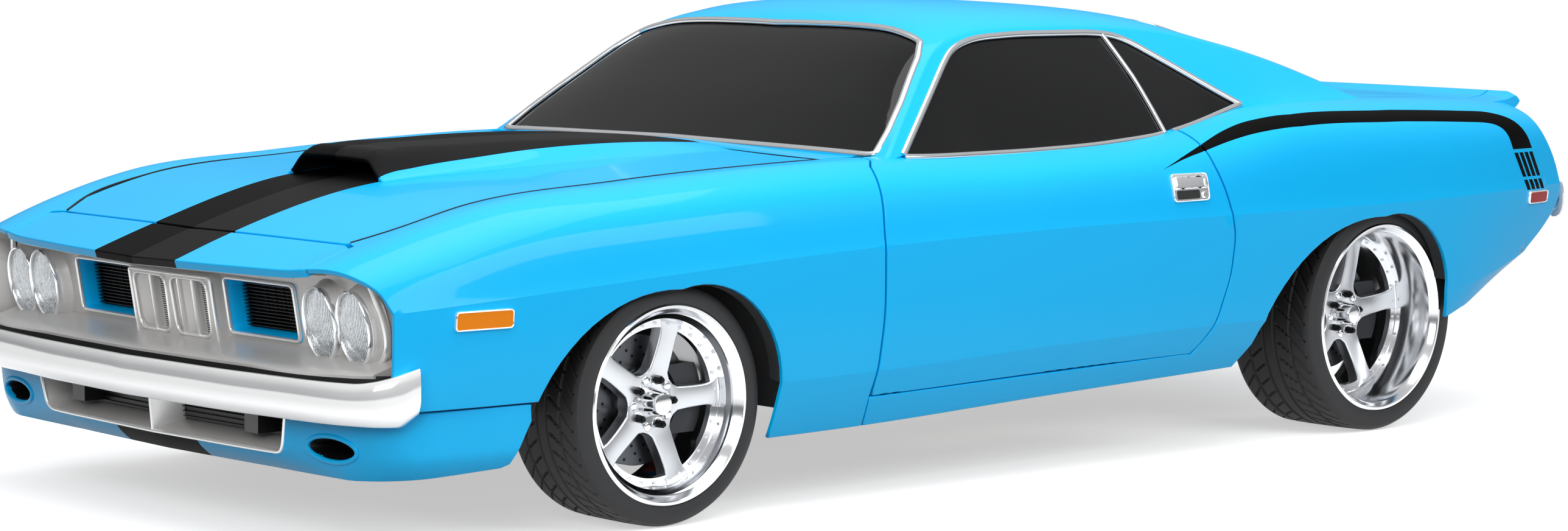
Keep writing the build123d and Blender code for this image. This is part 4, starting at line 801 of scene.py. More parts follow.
# --------------------------------------------------------------------------- doors
# A long steel door skin with a grained vinyl trim board inside. The side stripe starts
# in a point near its rear edge.
SIDE_STRIPE_TOP = np.array(
    [
        (1.745, 0.799), (1.85, 0.832), (1.943, 0.858), (2.05, 0.889), (2.16, 0.914), (2.30, 0.930),
        (2.80, 0.931), (3.25, 0.914), (3.352, 0.892), (3.405, 0.850), (3.430, 0.800),
    ]
)
SIDE_STRIPE_LOW = np.array(
    [
        (1.745, 0.799), (1.85, 0.826), (1.943, 0.843), (2.05, 0.866), (2.16, 0.885), (2.30, 0.898),
        (2.80, 0.899), (3.20, 0.884), (3.262, 0.874), (3.300, 0.850), (3.318, 0.800),
    ]
)
stripe_side = np.concatenate(
    [rounded(SIDE_STRIPE_TOP, 0.05, False), rounded(SIDE_STRIPE_LOW, 0.05, False)[::-1]]
)[1:]
DOOR_TOP_X = 0.775


def door_outline():
    """Closed (s, u) line of the left door, up its shut lines and along the belt."""
    front = side_line([(s + GAP / 2, z) for s, z in door_front_line])
    front[-1, 0] += 0.004
    rear = side_line([(s - GAP / 2, z + (GAP / 2 if z < 0.30 else 0)) for s, z in door_rear_line])
    belt_s = np.linspace(1.941, 0.752, 30)
    belt = np.stack([belt_s, u_at_x(belt_s, np.full(30, DOOR_TOP_X))], 1)
    return np.concatenate([front, rear[:-1], belt])


vinyl = principled("black_grained_vinyl", "#1d1d1f", 0.46)
mottle(vinyl, 0.08, "#1a1a1c", "#242427")
grain(vinyl, 0.0022, 0.35, 0.0005, detail=4.0)

for side, flip in (("left", False), ("right", True)):
    door = panel(
        f"door_skin_{side}", body, door_outline(), [paint, stripe_black, vinyl],
        marks=[side_line(stripe_side)], creases=(WAIST, LOW), hem=0.0025, depth=0.052, mirrored=flip,
    )
    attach(door, f"door_{side}")
    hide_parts(f"door_{side}")

# -------------------------------------------------------------------------- quarters
# Each quarter runs from the rocker under the door over the rear wheel to the tail.
# The black stripe follows its shoulder and ends in two rows of short upright bars.
TAIL = np.array(
    [
        (3.110, 0.352), (3.380, 0.462), (3.540, 0.560), (3.618, 0.640), (3.592, 0.740), (3.475, 0.895),
        (3.448, 0.945),
    ]
)
DECK_EDGE_X = 0.662
DECK_FRONT_S = 2.905
tail_line = rounded(TAIL, 0.07, closed=False)


def quarter_outline():
    """Closed (s, u) line of the left quarter with its rocker."""
    rear = side_line([(s + GAP / 2, z) for s, z in door_rear_line])
    sill_gap = side_line([(s, SILL_Z - GAP / 2 + (s - 0.64) * 0.019) for s in np.linspace(1.84, 0.640, 20)])
    front_foot = np.array([(0.634 + 0.001, SILL), (2.055, SILL)])
    arch = side_line(arch_line(REAR_ARCH))
    rear_foot = np.array([(REAR_ARCH[-1][0] + 0.012, SILL)])
    tail = side_line(tail_line[:-1])
    top_s = np.linspace(3.44, DECK_FRONT_S, 16)
    top = np.stack([top_s, u_at_x(top_s, np.full(16, DECK_EDGE_X + GAP / 2))], 1)
    shelf_s = np.linspace(2.89, 1.95, 18)
    shelf = np.stack([shelf_s, u_at_x(shelf_s, np.full(18, 0.6905))], 1)
    return np.concatenate([rear[::-1][1:], sill_gap, front_foot, arch, rear_foot, tail, top, shelf])


GILL_SLANT = 0.06 / 0.10  # how far a bar's foot lies behind its head, for its height


def gill(s_head, z_head, z_foot, width):
    """Closed side line of one slanted bar."""
    foot = s_head + (z_head - z_foot) * GILL_SLANT
    return [(s_head, z_head), (s_head + width, z_head), (foot + width, z_foot), (foot, z_foot)]


gills = [gill(3.322 + 0.029 * k, 0.790, 0.716, 0.021) for k in range(4)]
gills += [gill(3.371 + 0.029 * k, 0.707, 0.676, 0.021) for k in range(4)]
for side, flip in (("left", False), ("right", True)):
    quarter = panel(
        f"quarter_skin_{side}", body, quarter_outline(),
        [paint, stripe_black, *[stripe_black] * len(gills), under_black],
        marks=[side_line(stripe_side), *[side_line(refined(g, (0.03, 0.03))) for g in gills]],
        creases=(WAIST, LOW), hem=0.0025, depth=0.011, mirrored=flip,
    )
    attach(quarter, "body")
    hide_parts(f"quarter_{side}")

# -------------------------------------------------------------------------- deck lid
# The deck lid is a flat pressing whose rear edge kicks up in a low spoiler, which
# goes on over both quarters as two end caps.
DECK_REAR_S = 3.440
deck_half = [
    (0, DECK_FRONT_S + GAP), (DECK_EDGE_X - GAP / 2, DECK_FRONT_S + GAP),
    (DECK_EDGE_X - GAP / 2, DECK_REAR_S), (0.45, 3.478), (0, 3.497),
]
deck = panel(
    "deck_lid_skin", body, mirror_line(plan_line(deck_half)), [paint, paint], hem=0.003, depth=0.018,
)
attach(deck, "deck_lid")
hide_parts("deck_lid")

filler = panel(
    "rear_filler_panel", body,
    mirror_line(
        plan_line([(0, 2.815), (0.690, 2.815), (0.690, DECK_FRONT_S - GAP / 2), (0, DECK_FRONT_S - GAP / 2)])
    ),
    [paint, under_black], hem=0.002, depth=0.010, lift=0.0005,
)
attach(filler, "body")
cowl = panel(
    "cowl_top", body, mirror_line(plan_line([(0, 0.676), (0.700, 0.676), (0.702, 0.80), (0, 0.80)])),
    [paint, under_black], hem=0.002, depth=0.006, lift=0.002,
)
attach(cowl, "body")


def swept(name, rings, materials, smooth_angle=40, caps=True):
    """A solid or band through rings of points, all of one count, with flat caps."""
    made = bmesh.new()
    rows = [[made.verts.new(tuple(p)) for p in ring] for ring in rings]
    count = len(rings[0])
    for a, b in zip(rows, rows[1:]):
        for k in range(count):
            j = (k + 1) % count
            made.faces.new((a[k], a[j], b[j], b[k]))
    if caps:
        made.faces.new(rows[0][::-1])
        made.faces.new(rows[-1])
    bmesh.ops.remove_doubles(made, verts=made.verts, dist=1e-6)
    bmesh.ops.recalc_face_normals(made, faces=made.faces)
    mesh = bpy.data.meshes.new(name)
    made.to_mesh(mesh)
    made.free()
    for material in materials:
        mesh.materials.append(material)
    mesh.shade_smooth()
    mesh.set_sharp_from_angle(angle=math.radians(smooth_angle))
    thing = bpy.data.objects.new(name, mesh)
    bpy.context.collection.objects.link(thing)
    return thing


# How far each station across the tail lies behind the corner's, and the spoiler's side
# profile, s and z, the same all the way across.
BOW = spline((-0.80, -0.50, 0, 0.50, 0.80), [[0.008], [0.045], [0.066], [0.045], [0.008]])
SPOILER = rounded(
    [
        (3.395, 0.940), (3.440, 0.944), (3.474, 0.948), (3.515, 0.966), (3.537, 0.938), (3.518, 0.912),
        (3.500, 0.897), (3.455, 0.902), (3.400, 0.920),
    ],
    0.012,
)
for name, x0, x1, body_name in (
    ("spoiler_middle", -0.655, 0.655, "deck_lid"), ("spoiler_end_left", 0.661, 0.775, "deck_lid"),
    ("spoiler_end_right", -0.775, -0.661, "deck_lid"),
):
    rings = []
    for x in np.linspace(x0, x1, 41 if x1 - x0 > 1 else 13):
        fade = min(1.0, max(0.0, (0.79 - abs(x)) / 0.06)) ** 0.6
        rings.append(
            [
                (
                    x, AXLE_Y + s + float(BOW(x)[0]) - 0.002 - (1 - fade) * 0.02,
                    0.928 + (z - 0.928) * (0.35 + 0.65 * fade),
                )
                for s, z in SPOILER
            ]
        )
    spoiler = swept(name, rings, [paint])
    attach(spoiler, body_name)

# -------------------------------------------------------------------------- cabin top
# The roof, its pillars and the wide rear pillars are one pressing. Its shape is set by
# two long lines, the middle one and the rail over the side glass. Columns: s and z of
# the middle, then x, s and z of the rail, at stations w counted from the cowl back.
CABIN = np.array([
    (0.752, 0.862, 0.812, 0.800, 0.853),
    (0.955, 1.030, 0.720, 0.965, 0.985),
    (1.168, 1.186, 0.624, 1.150, 1.122),
    (1.285, 1.230, 0.595, 1.300, 1.167),
    (1.450, 1.247, 0.588, 1.470, 1.179),
    (1.800, 1.241, 0.587, 1.800, 1.180),
    (2.110, 1.213, 0.593, 2.080, 1.164),
    (2.320, 1.147, 0.624, 2.300, 1.124),
    (2.500, 1.080, 0.655, 2.480, 1.078),
    (2.660, 1.020, 0.692, 2.640, 1.024),
    (2.840, 0.955, 0.742, 2.830, 0.950),
])
cabin_at = spline(np.arange(len(CABIN)), CABIN)
SIDE_FALL = 0.307  # height of the cabin's side below the rail for one step of v
SIDE_LEAN = 0.70


def cabin(w, v):
    """Points of the cabin top: v from 0 at the middle to 1 at the rail, then down the side."""
    w, v = np.broadcast_arrays(np.asarray(w, float), np.asarray(v, float))
    sm, zm, xr, sr, zr = np.moveaxis(cabin_at(w), -1, 0)
    a = np.abs(v)
    t = np.minimum(a, 1)
    fall = 0.5 * t**2.2 + 0.5 * t**7
    top = np.stack([xr * t, sm + (sr - sm) * t**2, zm + (zr - zm) * fall], -1)
    down = np.maximum(a - 1, 0) * SIDE_FALL
    flare = 0.014 * np.clip(w - 6.2, 0, 1.5) * np.exp(-np.maximum(zr - down - 0.955, 0) / 0.028)
    side = np.stack(
        [xr + SIDE_LEAN * down + 0.010 * np.sin(np.clip(down / 0.3, 0, 1) * math.pi) + flare, sr, zr - down],
        -1,
    )
    point = np.where((a > 1)[..., None], side, top)
    return np.stack([point[..., 0] * np.where(v < 0, -1, 1), AXLE_Y + point[..., 1], point[..., 2]], -1)


def on_side(points):
    """Line of (w, v) places on the cabin's side over (s, z) points."""
    points = np.asarray(points, float)
    w = solve(lambda w: cabin_at(w)[..., 3] - points[:, 0], np.zeros(len(points)), np.full(len(points), 10.0))
    return np.stack([w, 1 + (cabin_at(w)[..., 4] - points[:, 1]) / SIDE_FALL], 1)


# Openings: the side glass in s and z, and the two screens in w and v.
WINDOW_TOP = [
    (0.868, 0.866), (1.185, 1.104), (1.240, 1.134), (1.331, 1.155), (1.500, 1.163), (1.800, 1.163),
    (1.905, 1.151), (2.055, 1.070), (2.252, 0.958),
]
WINDOW_BELT = [
    (2.252, 0.958), (2.074, 0.916), (1.887, 0.885), (1.585, 0.866), (1.270, 0.859), (0.968, 0.859),
    (0.868, 0.862),
]
DIVIDER = [(1.832, 1.162), (1.866, 1.044), (1.895, 0.890)]
SHIELD = [
    (0.10, 0.0), (0.08, 0.40), (0.07, 0.75), (0.07, 0.945), (0.50, 0.962), (1.00, 0.966), (1.75, 0.955),
    (2.06, 0.915), (2.10, 0.70), (2.02, 0.30), (1.98, 0.0),
]
BACKLIGHT = [
    (6.30, 0.0), (6.30, 0.70), (6.42, 0.80), (7.20, 0.825), (8.40, 0.835), (9.40, 0.85), (9.52, 0.80),
    (9.52, 0.0),
]
window_top = rounded(WINDOW_TOP, 0.06, closed=False)
window_belt = rounded(WINDOW_BELT, 0.10, closed=False)
side_window = np.concatenate([window_top, window_belt[1:-1]])
shield_line = mirror_line(rounded(SHIELD, 0.06, closed=False))
backlight_line = mirror_line(rounded(BACKLIGHT, 0.06, closed=False))

pillar_foot = [
    (0.02, 0.0), (0.02, 0.985), (0.06, 1.03),
    *map(tuple, on_side(refined(window_top, (0.04, 0.04), closed=False))),
]
quarter_foot = [
    *map(tuple, on_side([(2.262, 0.930), (2.45, 0.925), (2.60, 0.922), (2.83, 0.915)])), (9.98, 0.90),
    (9.98, 0.0),
]
roof_outline = mirror_line([*pillar_foot, *quarter_foot])
roof = panel(
    "roof_skin", cabin, roof_outline, [paint, under_black], holes=[shield_line, backlight_line],
    step=(0.14, 0.045), scale=(0.2, 0.6), hem=0.002, depth=0.022,
)
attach(roof, "body")
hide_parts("roof")

# ----------------------------------------------------------------------------- glass
# Dark tinted laminated screens and tempered side glass, set just under the paint.
# It lets a little of the cabin through.
glass_tint = principled(
    "dark_tinted_glass", "#0f1012", 0.03, Transmission_Weight=0.3, Specular_IOR_Level=0.22, IOR=1.4,
)
grain(glass_tint, 0.5, 0.02, 0.001)


def pane(name, line, mirrored=False):
    """A thin sheet of the cabin's surface inside a line, sunk under the paint."""
    return panel(
        name, cabin, line, [glass_tint, glass_tint], step=(0.2, 0.06), scale=(0.2, 0.6), hem=0.001,
        depth=0.005, lift=-0.006, mirrored=mirrored,
    )


for name, line in (("windscreen", shield_line), ("rear_window", backlight_line)):
    screen = pane(name, line)
    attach(screen, "body")
    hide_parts("body_glass")

divider_at = spline([z for _, z in DIVIDER[::-1]], [[s] for s, _ in DIVIDER[::-1]])


def clipped(line, ahead):
    """The part of a side line that lies ahead of the divider, or behind it."""
    polygon = [tuple(p) for p in line]
    offset = lambda p: (p[0] - float(divider_at(p[1])[0])) * (-1 if ahead else 1) - 0.003
    out = []
    for p, q in zip(polygon, polygon[1:] + polygon[:1]):
        dp, dq = offset(p), offset(q)
        if dp >= 0:
            out.append(p)
        if (dp >= 0) != (dq >= 0):
            t = dp / (dp - dq)
            out.append((p[0] + (q[0] - p[0]) * t, p[1] + (q[1] - p[1]) * t))
    return np.array(out)


for side, flip in (("left", False), ("right", True)):
    front_pane = pane(f"door_pane_{side}", on_side(clipped(side_window, True)), flip)
    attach(front_pane, f"door_{side}")
    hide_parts(f"door_glass_{side}")
    rear_pane = pane(f"rear_side_pane_{side}", on_side(clipped(side_window, False)), flip)
    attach(rear_pane, "body")

# ------------------------------------------------------------------- bright mouldings
# Polished stainless strip, rolled to a low crown, clipped round every window.


def polished(name, base, rough):
    """Bright metal with the faint waviness of rolled and buffed strip."""
    metal = principled(name, base, rough, 1.0)
    grain(metal, 0.03, 0.05, 0.0006)
    return metal


chrome = principled("bright_chrome_plate", "#f6f8fa", 0.10, 0.82)
grain(chrome, 0.03, 0.05, 0.0006)
stainless = polished("buffed_stainless_strip", "#dcdfe2", 0.16)

CROWN = (-1, -0.8, -0.4, 0, 0.4, 0.8, 1)  # places across a strip, from edge to edge
BED = 0.004  # how far its underside lies in the surface


def strip(name, points, normals, width, height, material, closed=True):
    """A crowned strip laid on a surface along a line of points."""
    points, normals = np.asarray(points), np.asarray(normals)
    if closed:
        ahead, behind = np.roll(points, -1, axis=0), np.roll(points, 1, axis=0)
    else:
        ahead = np.concatenate([points[1:], points[-1:]])
        behind = np.concatenate([points[:1], points[:-1]])
    way = ahead - behind
    way /= np.maximum(np.linalg.norm(way, axis=1, keepdims=True), 1e-9)
    across = np.cross(way, normals)
    across /= np.maximum(np.linalg.norm(across, axis=1, keepdims=True), 1e-9)
    rings = []
    for p, n, a in zip(points, normals, across):
        ring = [
            p + a * width / 2 * k + n * (height * math.sqrt(max(0.0, 1 - k * k)) * 0.9 + 0.0006)
            for k in CROWN
        ]
        ring += [p + a * width / 2 - n * BED, p - a * width / 2 - n * BED]
        rings.append(ring)
    if closed:
        rings.append(rings[0])
    return swept(name, rings, [material], caps=not closed)


def surface_strip(name, surface, line, width, height, material, body_name, closed=True, mirrored=False):
    """A strip along a line of places on a surface, fixed to a body."""
    line = np.asarray(line)
    at = surface(line[:, 0], line[:, 1])
    n = surface_normal(surface, line[:, 0], line[:, 1])
    if mirrored:
        at, n = at * (-1, 1, 1), n * (-1, 1, 1)
    made = strip(name, at, n, width, height, material, closed)
    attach(made, body_name)
    return made


surface_strip(
    "windscreen_moulding", cabin, refined(shield_line, (0.15, 0.06)), 0.020, 0.006, stainless, "body",
)
surface_strip(
    "rear_window_moulding", cabin, refined(backlight_line, (0.15, 0.06)), 0.018, 0.005, stainless, "body",
)
for side, flip in (("left", False), ("right", True)):
    lines = {
        f"side_window_moulding_{side}": (window_top, "body", 0.019),
        f"door_belt_moulding_{side}": ([p for p in window_belt if p[0] < 1.892], f"door_{side}", 0.017),
        f"quarter_belt_moulding_{side}": (
            [(p[0] - 0.003, p[1]) for p in window_belt if p[0] > 1.89], "body", 0.017,
        ),
        f"glass_divider_{side}": (DIVIDER, "body", 0.012),
    }
    for name, (line, body_name, width) in lines.items():
        places = on_side(refined(line, (0.025, 0.025), closed=False))
        surface_strip(name, cabin, places, width, 0.006, stainless, body_name, closed=False, mirrored=flip)

# A thin black strip laid over each long gap between the hood and the fenders is painted shadow in the shut
# line.
gap_shadow_s = np.linspace(-0.742, 0.655, 70)
for side, sign in (("left", 1), ("right", -1)):
    gap_shadow_u = u_at_x(gap_shadow_s, hood_side(gap_shadow_s)[..., 0])
    way_up = surface_normal(body, gap_shadow_s, gap_shadow_u)
    gap_shadow_at = body(gap_shadow_s, gap_shadow_u) + way_up * 0.0010
    gap_shadow = strip(
        f"hood_seal_{side}", gap_shadow_at * (sign, 1, 1), way_up * (sign, 1, 1), GAP, 0.0004, under_black,
        closed=False,
    )
    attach(gap_shadow, "body")

# ---------------------------------------------------------------------------- wheels
# Deep-dish two-piece alloy wheels: a polished barrel with a stepped lip, bolted to a
# brushed five-spoke centre, with open lug nuts and a turned cap. Drilled iron discs,
# their holes drawn as flat black discs of painted shade.
alloy_lip = polished("mirror_polished_aluminium", "#e9eaec", 0.14)
alloy_face = principled("satin_machined_aluminium", "#c9cbce", 0.30, 1.0)
grain(alloy_face, 0.05, 0.04, 0.0006)
disc_iron = principled("ground_cast_iron_disc", "#5d5f62", 0.38, 1.0)
grain(disc_iron, 0.02, 0.06, 0.0004)
black_oxide_and_hole_shade = principled("black_oxide_steel", "#141516", 0.34, 0.8)
grain(black_oxide_and_hole_shade, 0.002, 0.06, 0.0002)
caliper_grey = principled("cast_iron_caliper", "#3a3c3f", 0.5, 0.7)
grain(caliper_grey, 0.003, 0.15, 0.0004)


def turned(name, profile, hub, material, steps):
    """A ring turned round the axle from a closed profile of (x, radius) points."""
    rings = []
    for k in range(steps):
        a = 2 * math.pi * k / steps
        rings.append([(x, hub[1] + r * math.cos(a), hub[2] + r * math.sin(a)) for x, r in profile])
    rings.append(rings[0])
    return swept(name, rings, [material], 32, caps=False)


def merged(name, things):
    """Several mesh objects joined into one, their materials kept."""
    with bpy.context.temp_override(active_object=things[0], selected_editable_objects=things):
        bpy.ops.object.join()
    things[0].name = name
    return things[0]


def rounded_prism(name, outline, x0, x1, round_off, material, segments=3, shrink=1.0):
    """A prism along X over a (y, z) outline, with bevelled rims."""
    made = bmesh.new()
    low = [made.verts.new((x0, y, z)) for y, z in outline]
    middle = np.mean(outline, axis=0)
    high = [
        made.verts.new((x1, middle[0] + (y - middle[0]) * shrink, middle[1] + (z - middle[1]) * shrink))
        for y, z in outline
    ]
    made.faces.new(low[::-1])
    rim = made.faces.new(high)
    for k in range(len(outline)):
        j = (k + 1) % len(outline)
        made.faces.new((low[k], low[j], high[j], high[k]))
    bmesh.ops.recalc_face_normals(made, faces=made.faces)
    edges = list(rim.edges)
    bmesh.ops.bevel(made, geom=edges, offset=round_off, segments=segments, profile=0.5, affect="EDGES")
    mesh = bpy.data.meshes.new(name)
    made.to_mesh(mesh)
    made.free()
    mesh.materials.append(material)
    mesh.shade_smooth()
    mesh.set_sharp_from_angle(angle=math.radians(38))
    thing = bpy.data.objects.new(name, mesh)
    bpy.context.collection.objects.link(thing)
    return thing


def spoke_outline(r_in, r_out, w_in, w_out, angle, flare):
    """Outline of one spoke: waisted in the middle, spreading where it meets the barrel."""
    half = []
    for k in range(13):
        t = k / 12
        waist = w_in + (w_out - w_in) * t - 0.006 * math.sin(math.pi * t)
        grow = flare * max(0.0, (t - 0.72) / 0.28) ** 2
        root = 0.022 * max(0.0, (0.16 - t) / 0.16) ** 1.5
        half.append((r_in + (r_out - r_in) * t, waist / 2 + grow + root))
    points = half + [(r, -w) for r, w in half[::-1]]
    c, s = math.cos(angle), math.sin(angle)
    return [(r * c - w * s, r * s + w * c) for r, w in points]


# Columns: node's end name, lip radius, width, outer x, disc x, spoke face x at the rim
# and at the hub, brake disc radius.
WHEELS = {
    "front": (0.244, 0.265, 0.903, 0.778, 0.838, 0.828, 0.160),
    "rear": (0.271, 0.300, 0.888, 0.693, 0.752, 0.742, 0.165),
}
SPOKES = 5
BOLT_CIRCLE = 0.0572
BOSS_CIRCLE = 0.060
DISC_HOLES = 18  # in each of three rows
RIM_BOLTS = 30
SPOKE_PHASE = {"front": math.radians(75), "rear": math.radians(80)}


def circle(centre, radius, count, phase=0.0):
    """Points of a regular outline round a centre."""
    turns = [phase + 2 * math.pi * k / count for k in range(count)]
    return [(centre[0] + radius * math.cos(a), centre[1] + radius * math.sin(a)) for a in turns]


def copies_tree():
    """Copies of a mesh from Start by Step, copy k swung k Turns round a circle about X."""
    tree = bpy.data.node_groups.new("copies", "GeometryNodeTree")
    for name, kind in (
        ("Geometry", "Geometry"), ("Count", "Int"), ("Start", "Vector"), ("Step", "Vector"),
        ("Radius", "Float"), ("Phase", "Float"), ("Turn", "Float"), ("Material", "Material"),
    ):
        tree.interface.new_socket(name=name, in_out="INPUT", socket_type=f"NodeSocket{kind}")
    tree.interface.new_socket(name="Geometry", in_out="OUTPUT", socket_type="NodeSocketGeometry")
    given = node(tree, "NodeGroupInput").outputs
    index = node(tree, "GeometryNodeInputIndex").outputs[0]
    angle = node(
        tree, "ShaderNodeMath", links={0: index, 1: given["Turn"], 2: given["Phase"]},
        operation="MULTIPLY_ADD",
    )
    along = node(tree, "ShaderNodeMath", links={0: angle.outputs[0]}, operation="COSINE")
    high = node(tree, "ShaderNodeMath", links={0: angle.outputs[0]}, operation="SINE")
    swing = node(tree, "ShaderNodeCombineXYZ", links={"Y": along.outputs[0], "Z": high.outputs[0]})
    swing = node(
        tree, "ShaderNodeVectorMath", links={0: swing.outputs[0], "Scale": given["Radius"]},
        operation="SCALE",
    )
    stride = node(tree, "ShaderNodeVectorMath", links={0: given["Step"], "Scale": index}, operation="SCALE")
    place = node(
        tree, "ShaderNodeVectorMath", links={0: stride.outputs[0], 1: given["Start"]}, operation="ADD",
    )
    place = node(
        tree, "ShaderNodeVectorMath", links={0: place.outputs[0], 1: swing.outputs[0]}, operation="ADD",
    )
    points = node(tree, "GeometryNodePoints", links={"Count": given["Count"], "Position": place.outputs[0]})
    copies = node(
        tree, "GeometryNodeInstanceOnPoints",
        links={"Points": points.outputs[0], "Instance": given["Geometry"]},
    )
    real = node(tree, "GeometryNodeRealizeInstances", links={0: copies.outputs[0]})
    dressed = node(
        tree, "GeometryNodeSetMaterial", links={"Geometry": real.outputs[0], "Material": given["Material"]},
    )
    node(tree, "NodeGroupOutput", links={0: dressed.outputs[0]})
    return tree


COPIES = copies_tree()


def repeated(thing, count, material, start=(0, 0, 0), step=(0, 0, 0), radius=0.0, phase=0.0, turn=0.0):
    """The mesh object turned into a row or a ring of its copies, as plain mesh."""
    modifier = thing.modifiers.new("copies", "NODES")
    modifier.node_group = COPIES
    given = {
        "Count": count, "Start": start, "Step": step, "Radius": radius, "Phase": phase, "Turn": turn,
        "Material": material,
    }
    for socket in COPIES.interface.items_tree:
        if socket.in_out == "INPUT" and socket.name in given:
            modifier[socket.identifier] = given[socket.name]
    graph = bpy.context.evaluated_depsgraph_get()
    made = bpy.data.meshes.new_from_object(thing.evaluated_get(graph))
    thing.modifiers.remove(modifier)
    thing.data = made
    return thing


def wheel_parts(axle, hub):
    """Barrel, spokes, nuts, hub, cap, drilled disc and rim bolts of a left wheel."""
    lip, width, out_x, disc_x, rim_x, face_x, disc_r = WHEELS[axle]
    in_x = out_x - width
    bore = lip - 0.036
    y, z = hub[1], hub[2]
    barrel = [
        (in_x, lip - 0.008), (in_x, lip), (in_x + 0.0125, lip), (in_x + 0.0125, lip - 0.016),
        (in_x + 0.046, lip - 0.016), (in_x + 0.056, lip - 0.026),
        (out_x - 0.056, lip - 0.026), (out_x - 0.046, lip - 0.016), (out_x - 0.0125, lip - 0.016),
        (out_x - 0.0125, lip),
        (out_x - 0.002, lip + 0.001), (out_x + 0.001, lip - 0.002), (out_x + 0.001, lip - 0.008),
        (out_x - 0.002, lip - 0.011),
        (out_x - 0.016, lip - 0.018), (out_x - 0.022, lip - 0.0235), (out_x - 0.040, lip - 0.026),
        (out_x - 0.060, lip - 0.034), (rim_x + 0.03, bore),
        (rim_x + 0.004, bore), (rim_x + 0.002, bore - 0.002), (rim_x + 0.002, bore - 0.024),
        (rim_x - 0.012, bore - 0.026), (rim_x - 0.016, bore),
        (in_x + 0.058, bore), (in_x + 0.046, lip - 0.025), (in_x + 0.020, lip - 0.024),
    ]
    pieces = [turned("barrel", barrel, hub, alloy_lip, 120)]
    phase = SPOKE_PHASE[axle]
    for k in range(SPOKES):
        angle = phase + 2 * math.pi * k / SPOKES
        outline = [(y + a, z + b) for a, b in spoke_outline(0.055, bore - 0.002, 0.064, 0.056, angle, 0.012)]
        spoke = rounded_prism("spoke", outline, rim_x - 0.032, rim_x + 0.004, 0.005, alloy_face)
        # The spoke dips from the rim to the hub.
        for v in spoke.data.vertices:
            r = math.hypot(v.co.y - y, v.co.z - z)
            v.co.x -= (rim_x - face_x) * (1 - min(1.0, max(0.0, (r - 0.07) / (bore - 0.09)))) ** 2
        pieces.append(spoke)
        by, bz = y + BOLT_CIRCLE * math.cos(angle), z + BOLT_CIRCLE * math.sin(angle)
        cup = [
            (face_x + 0.0025, 0.0165), (face_x + 0.0025, 0.0135), (face_x - 0.001, 0.0125),
            (face_x - 0.001, 0.0165),
        ]
        pieces.append(turned("pocket", cup, (0, by, bz), alloy_lip, 20))
        nut = rounded_prism(
            "nut", circle((by, bz), 0.0108, 6, angle), face_x - 0.002, face_x + 0.022, 0.002, black_oxide_and_hole_shade,
            shrink=0.93,
        )
        pieces.append(nut)
        stud = rounded_prism(
            "stud", circle((by, bz), 0.0062, 12), face_x + 0.020, face_x + 0.027, 0.001, black_oxide_and_hole_shade,
        )
        pieces.append(stud)
        between = angle + math.pi / SPOKES
        cy, cz = y + BOSS_CIRCLE * math.cos(between), z + BOSS_CIRCLE * math.sin(between)
        boss = rounded_prism(
            "boss", circle((cy, cz), 0.0115, 16), face_x - 0.02, face_x + 0.008, 0.004, alloy_lip,
        )
        pieces.append(boss)
    hub_ring = [
        (face_x - 0.042, 0.030), (face_x - 0.042, 0.074), (face_x - 0.006, 0.074), (face_x, 0.069),
        (face_x + 0.0005, 0.045), (face_x - 0.004, 0.034), (face_x - 0.004, 0.030),
    ]
    pieces.append(turned("hub", hub_ring, hub, alloy_face, 60))
    cap = [
        (face_x - 0.03, 0.0), (face_x - 0.03, 0.034), (face_x + 0.004, 0.034), (face_x + 0.008, 0.0325),
        (face_x + 0.040, 0.029), (face_x + 0.046, 0.026), (face_x + 0.048, 0.020), (face_x + 0.048, 0.0),
    ]
    pieces.append(turned("cap", cap, hub, alloy_lip, 48))
    disc = [
        (disc_x - 0.024, 0.05), (disc_x - 0.024, disc_r), (disc_x - 0.015, disc_r),
        (disc_x - 0.015, disc_r - 0.003), (disc_x - 0.009, disc_r - 0.003), (disc_x - 0.009, disc_r),
        (disc_x, disc_r), (disc_x, 0.085), (disc_x + 0.012, 0.082), (disc_x + 0.012, 0.05),
    ]
    pieces.append(turned("disc", disc, hub, disc_iron, 72))
    turn = 2 * math.pi / DISC_HOLES
    # Each hole is a thin black disc on the disc's face, not cut through: painted shade.
    for row, at_r in enumerate((0.112, 0.130, 0.148)):
        outline = circle((0, 0), 0.0042, 8)
        hole = rounded_prism("hole", outline, disc_x - 0.001, disc_x + 0.0006, 0.0001, black_oxide_and_hole_shade, 1)
        pieces.append(
            repeated(hole, DISC_HOLES, black_oxide_and_hole_shade, hub, radius=at_r, phase=turn * row / 3, turn=turn)
        )
    turn = 2 * math.pi / RIM_BOLTS
    bolt = rounded_prism("bolt", circle((0, 0), 0.0042, 6), rim_x, rim_x + 0.0065, 0.001, alloy_face, 1)
    pieces.append(repeated(bolt, RIM_BOLTS, alloy_face, hub, radius=bore - 0.013, phase=turn / 2, turn=turn))
    return pieces


# Low tyres with a directional tread: straight ribs round the middle and swept grooves
# that curve out to the shoulders. The tread is cut into the tyre's own surface.
rubber = principled("carbon_black_tyre_rubber", "#1b1b1c", 0.62)
mottle(rubber, 0.05, "#18181a", "#212122")
grain(rubber, 0.003, 0.12, 0.0003)

TREAD_STEPS = 420
PITCHES = 42  # tread blocks round a tyre
RIB_HALF = 0.0045  # half width and depth of the two pairs of straight ribs' grooves
RIB_DEPTH = 0.0065
GROOVE_HALF = 0.0032  # half width and depth of the swept grooves
GROOVE_DEPTH = 0.005


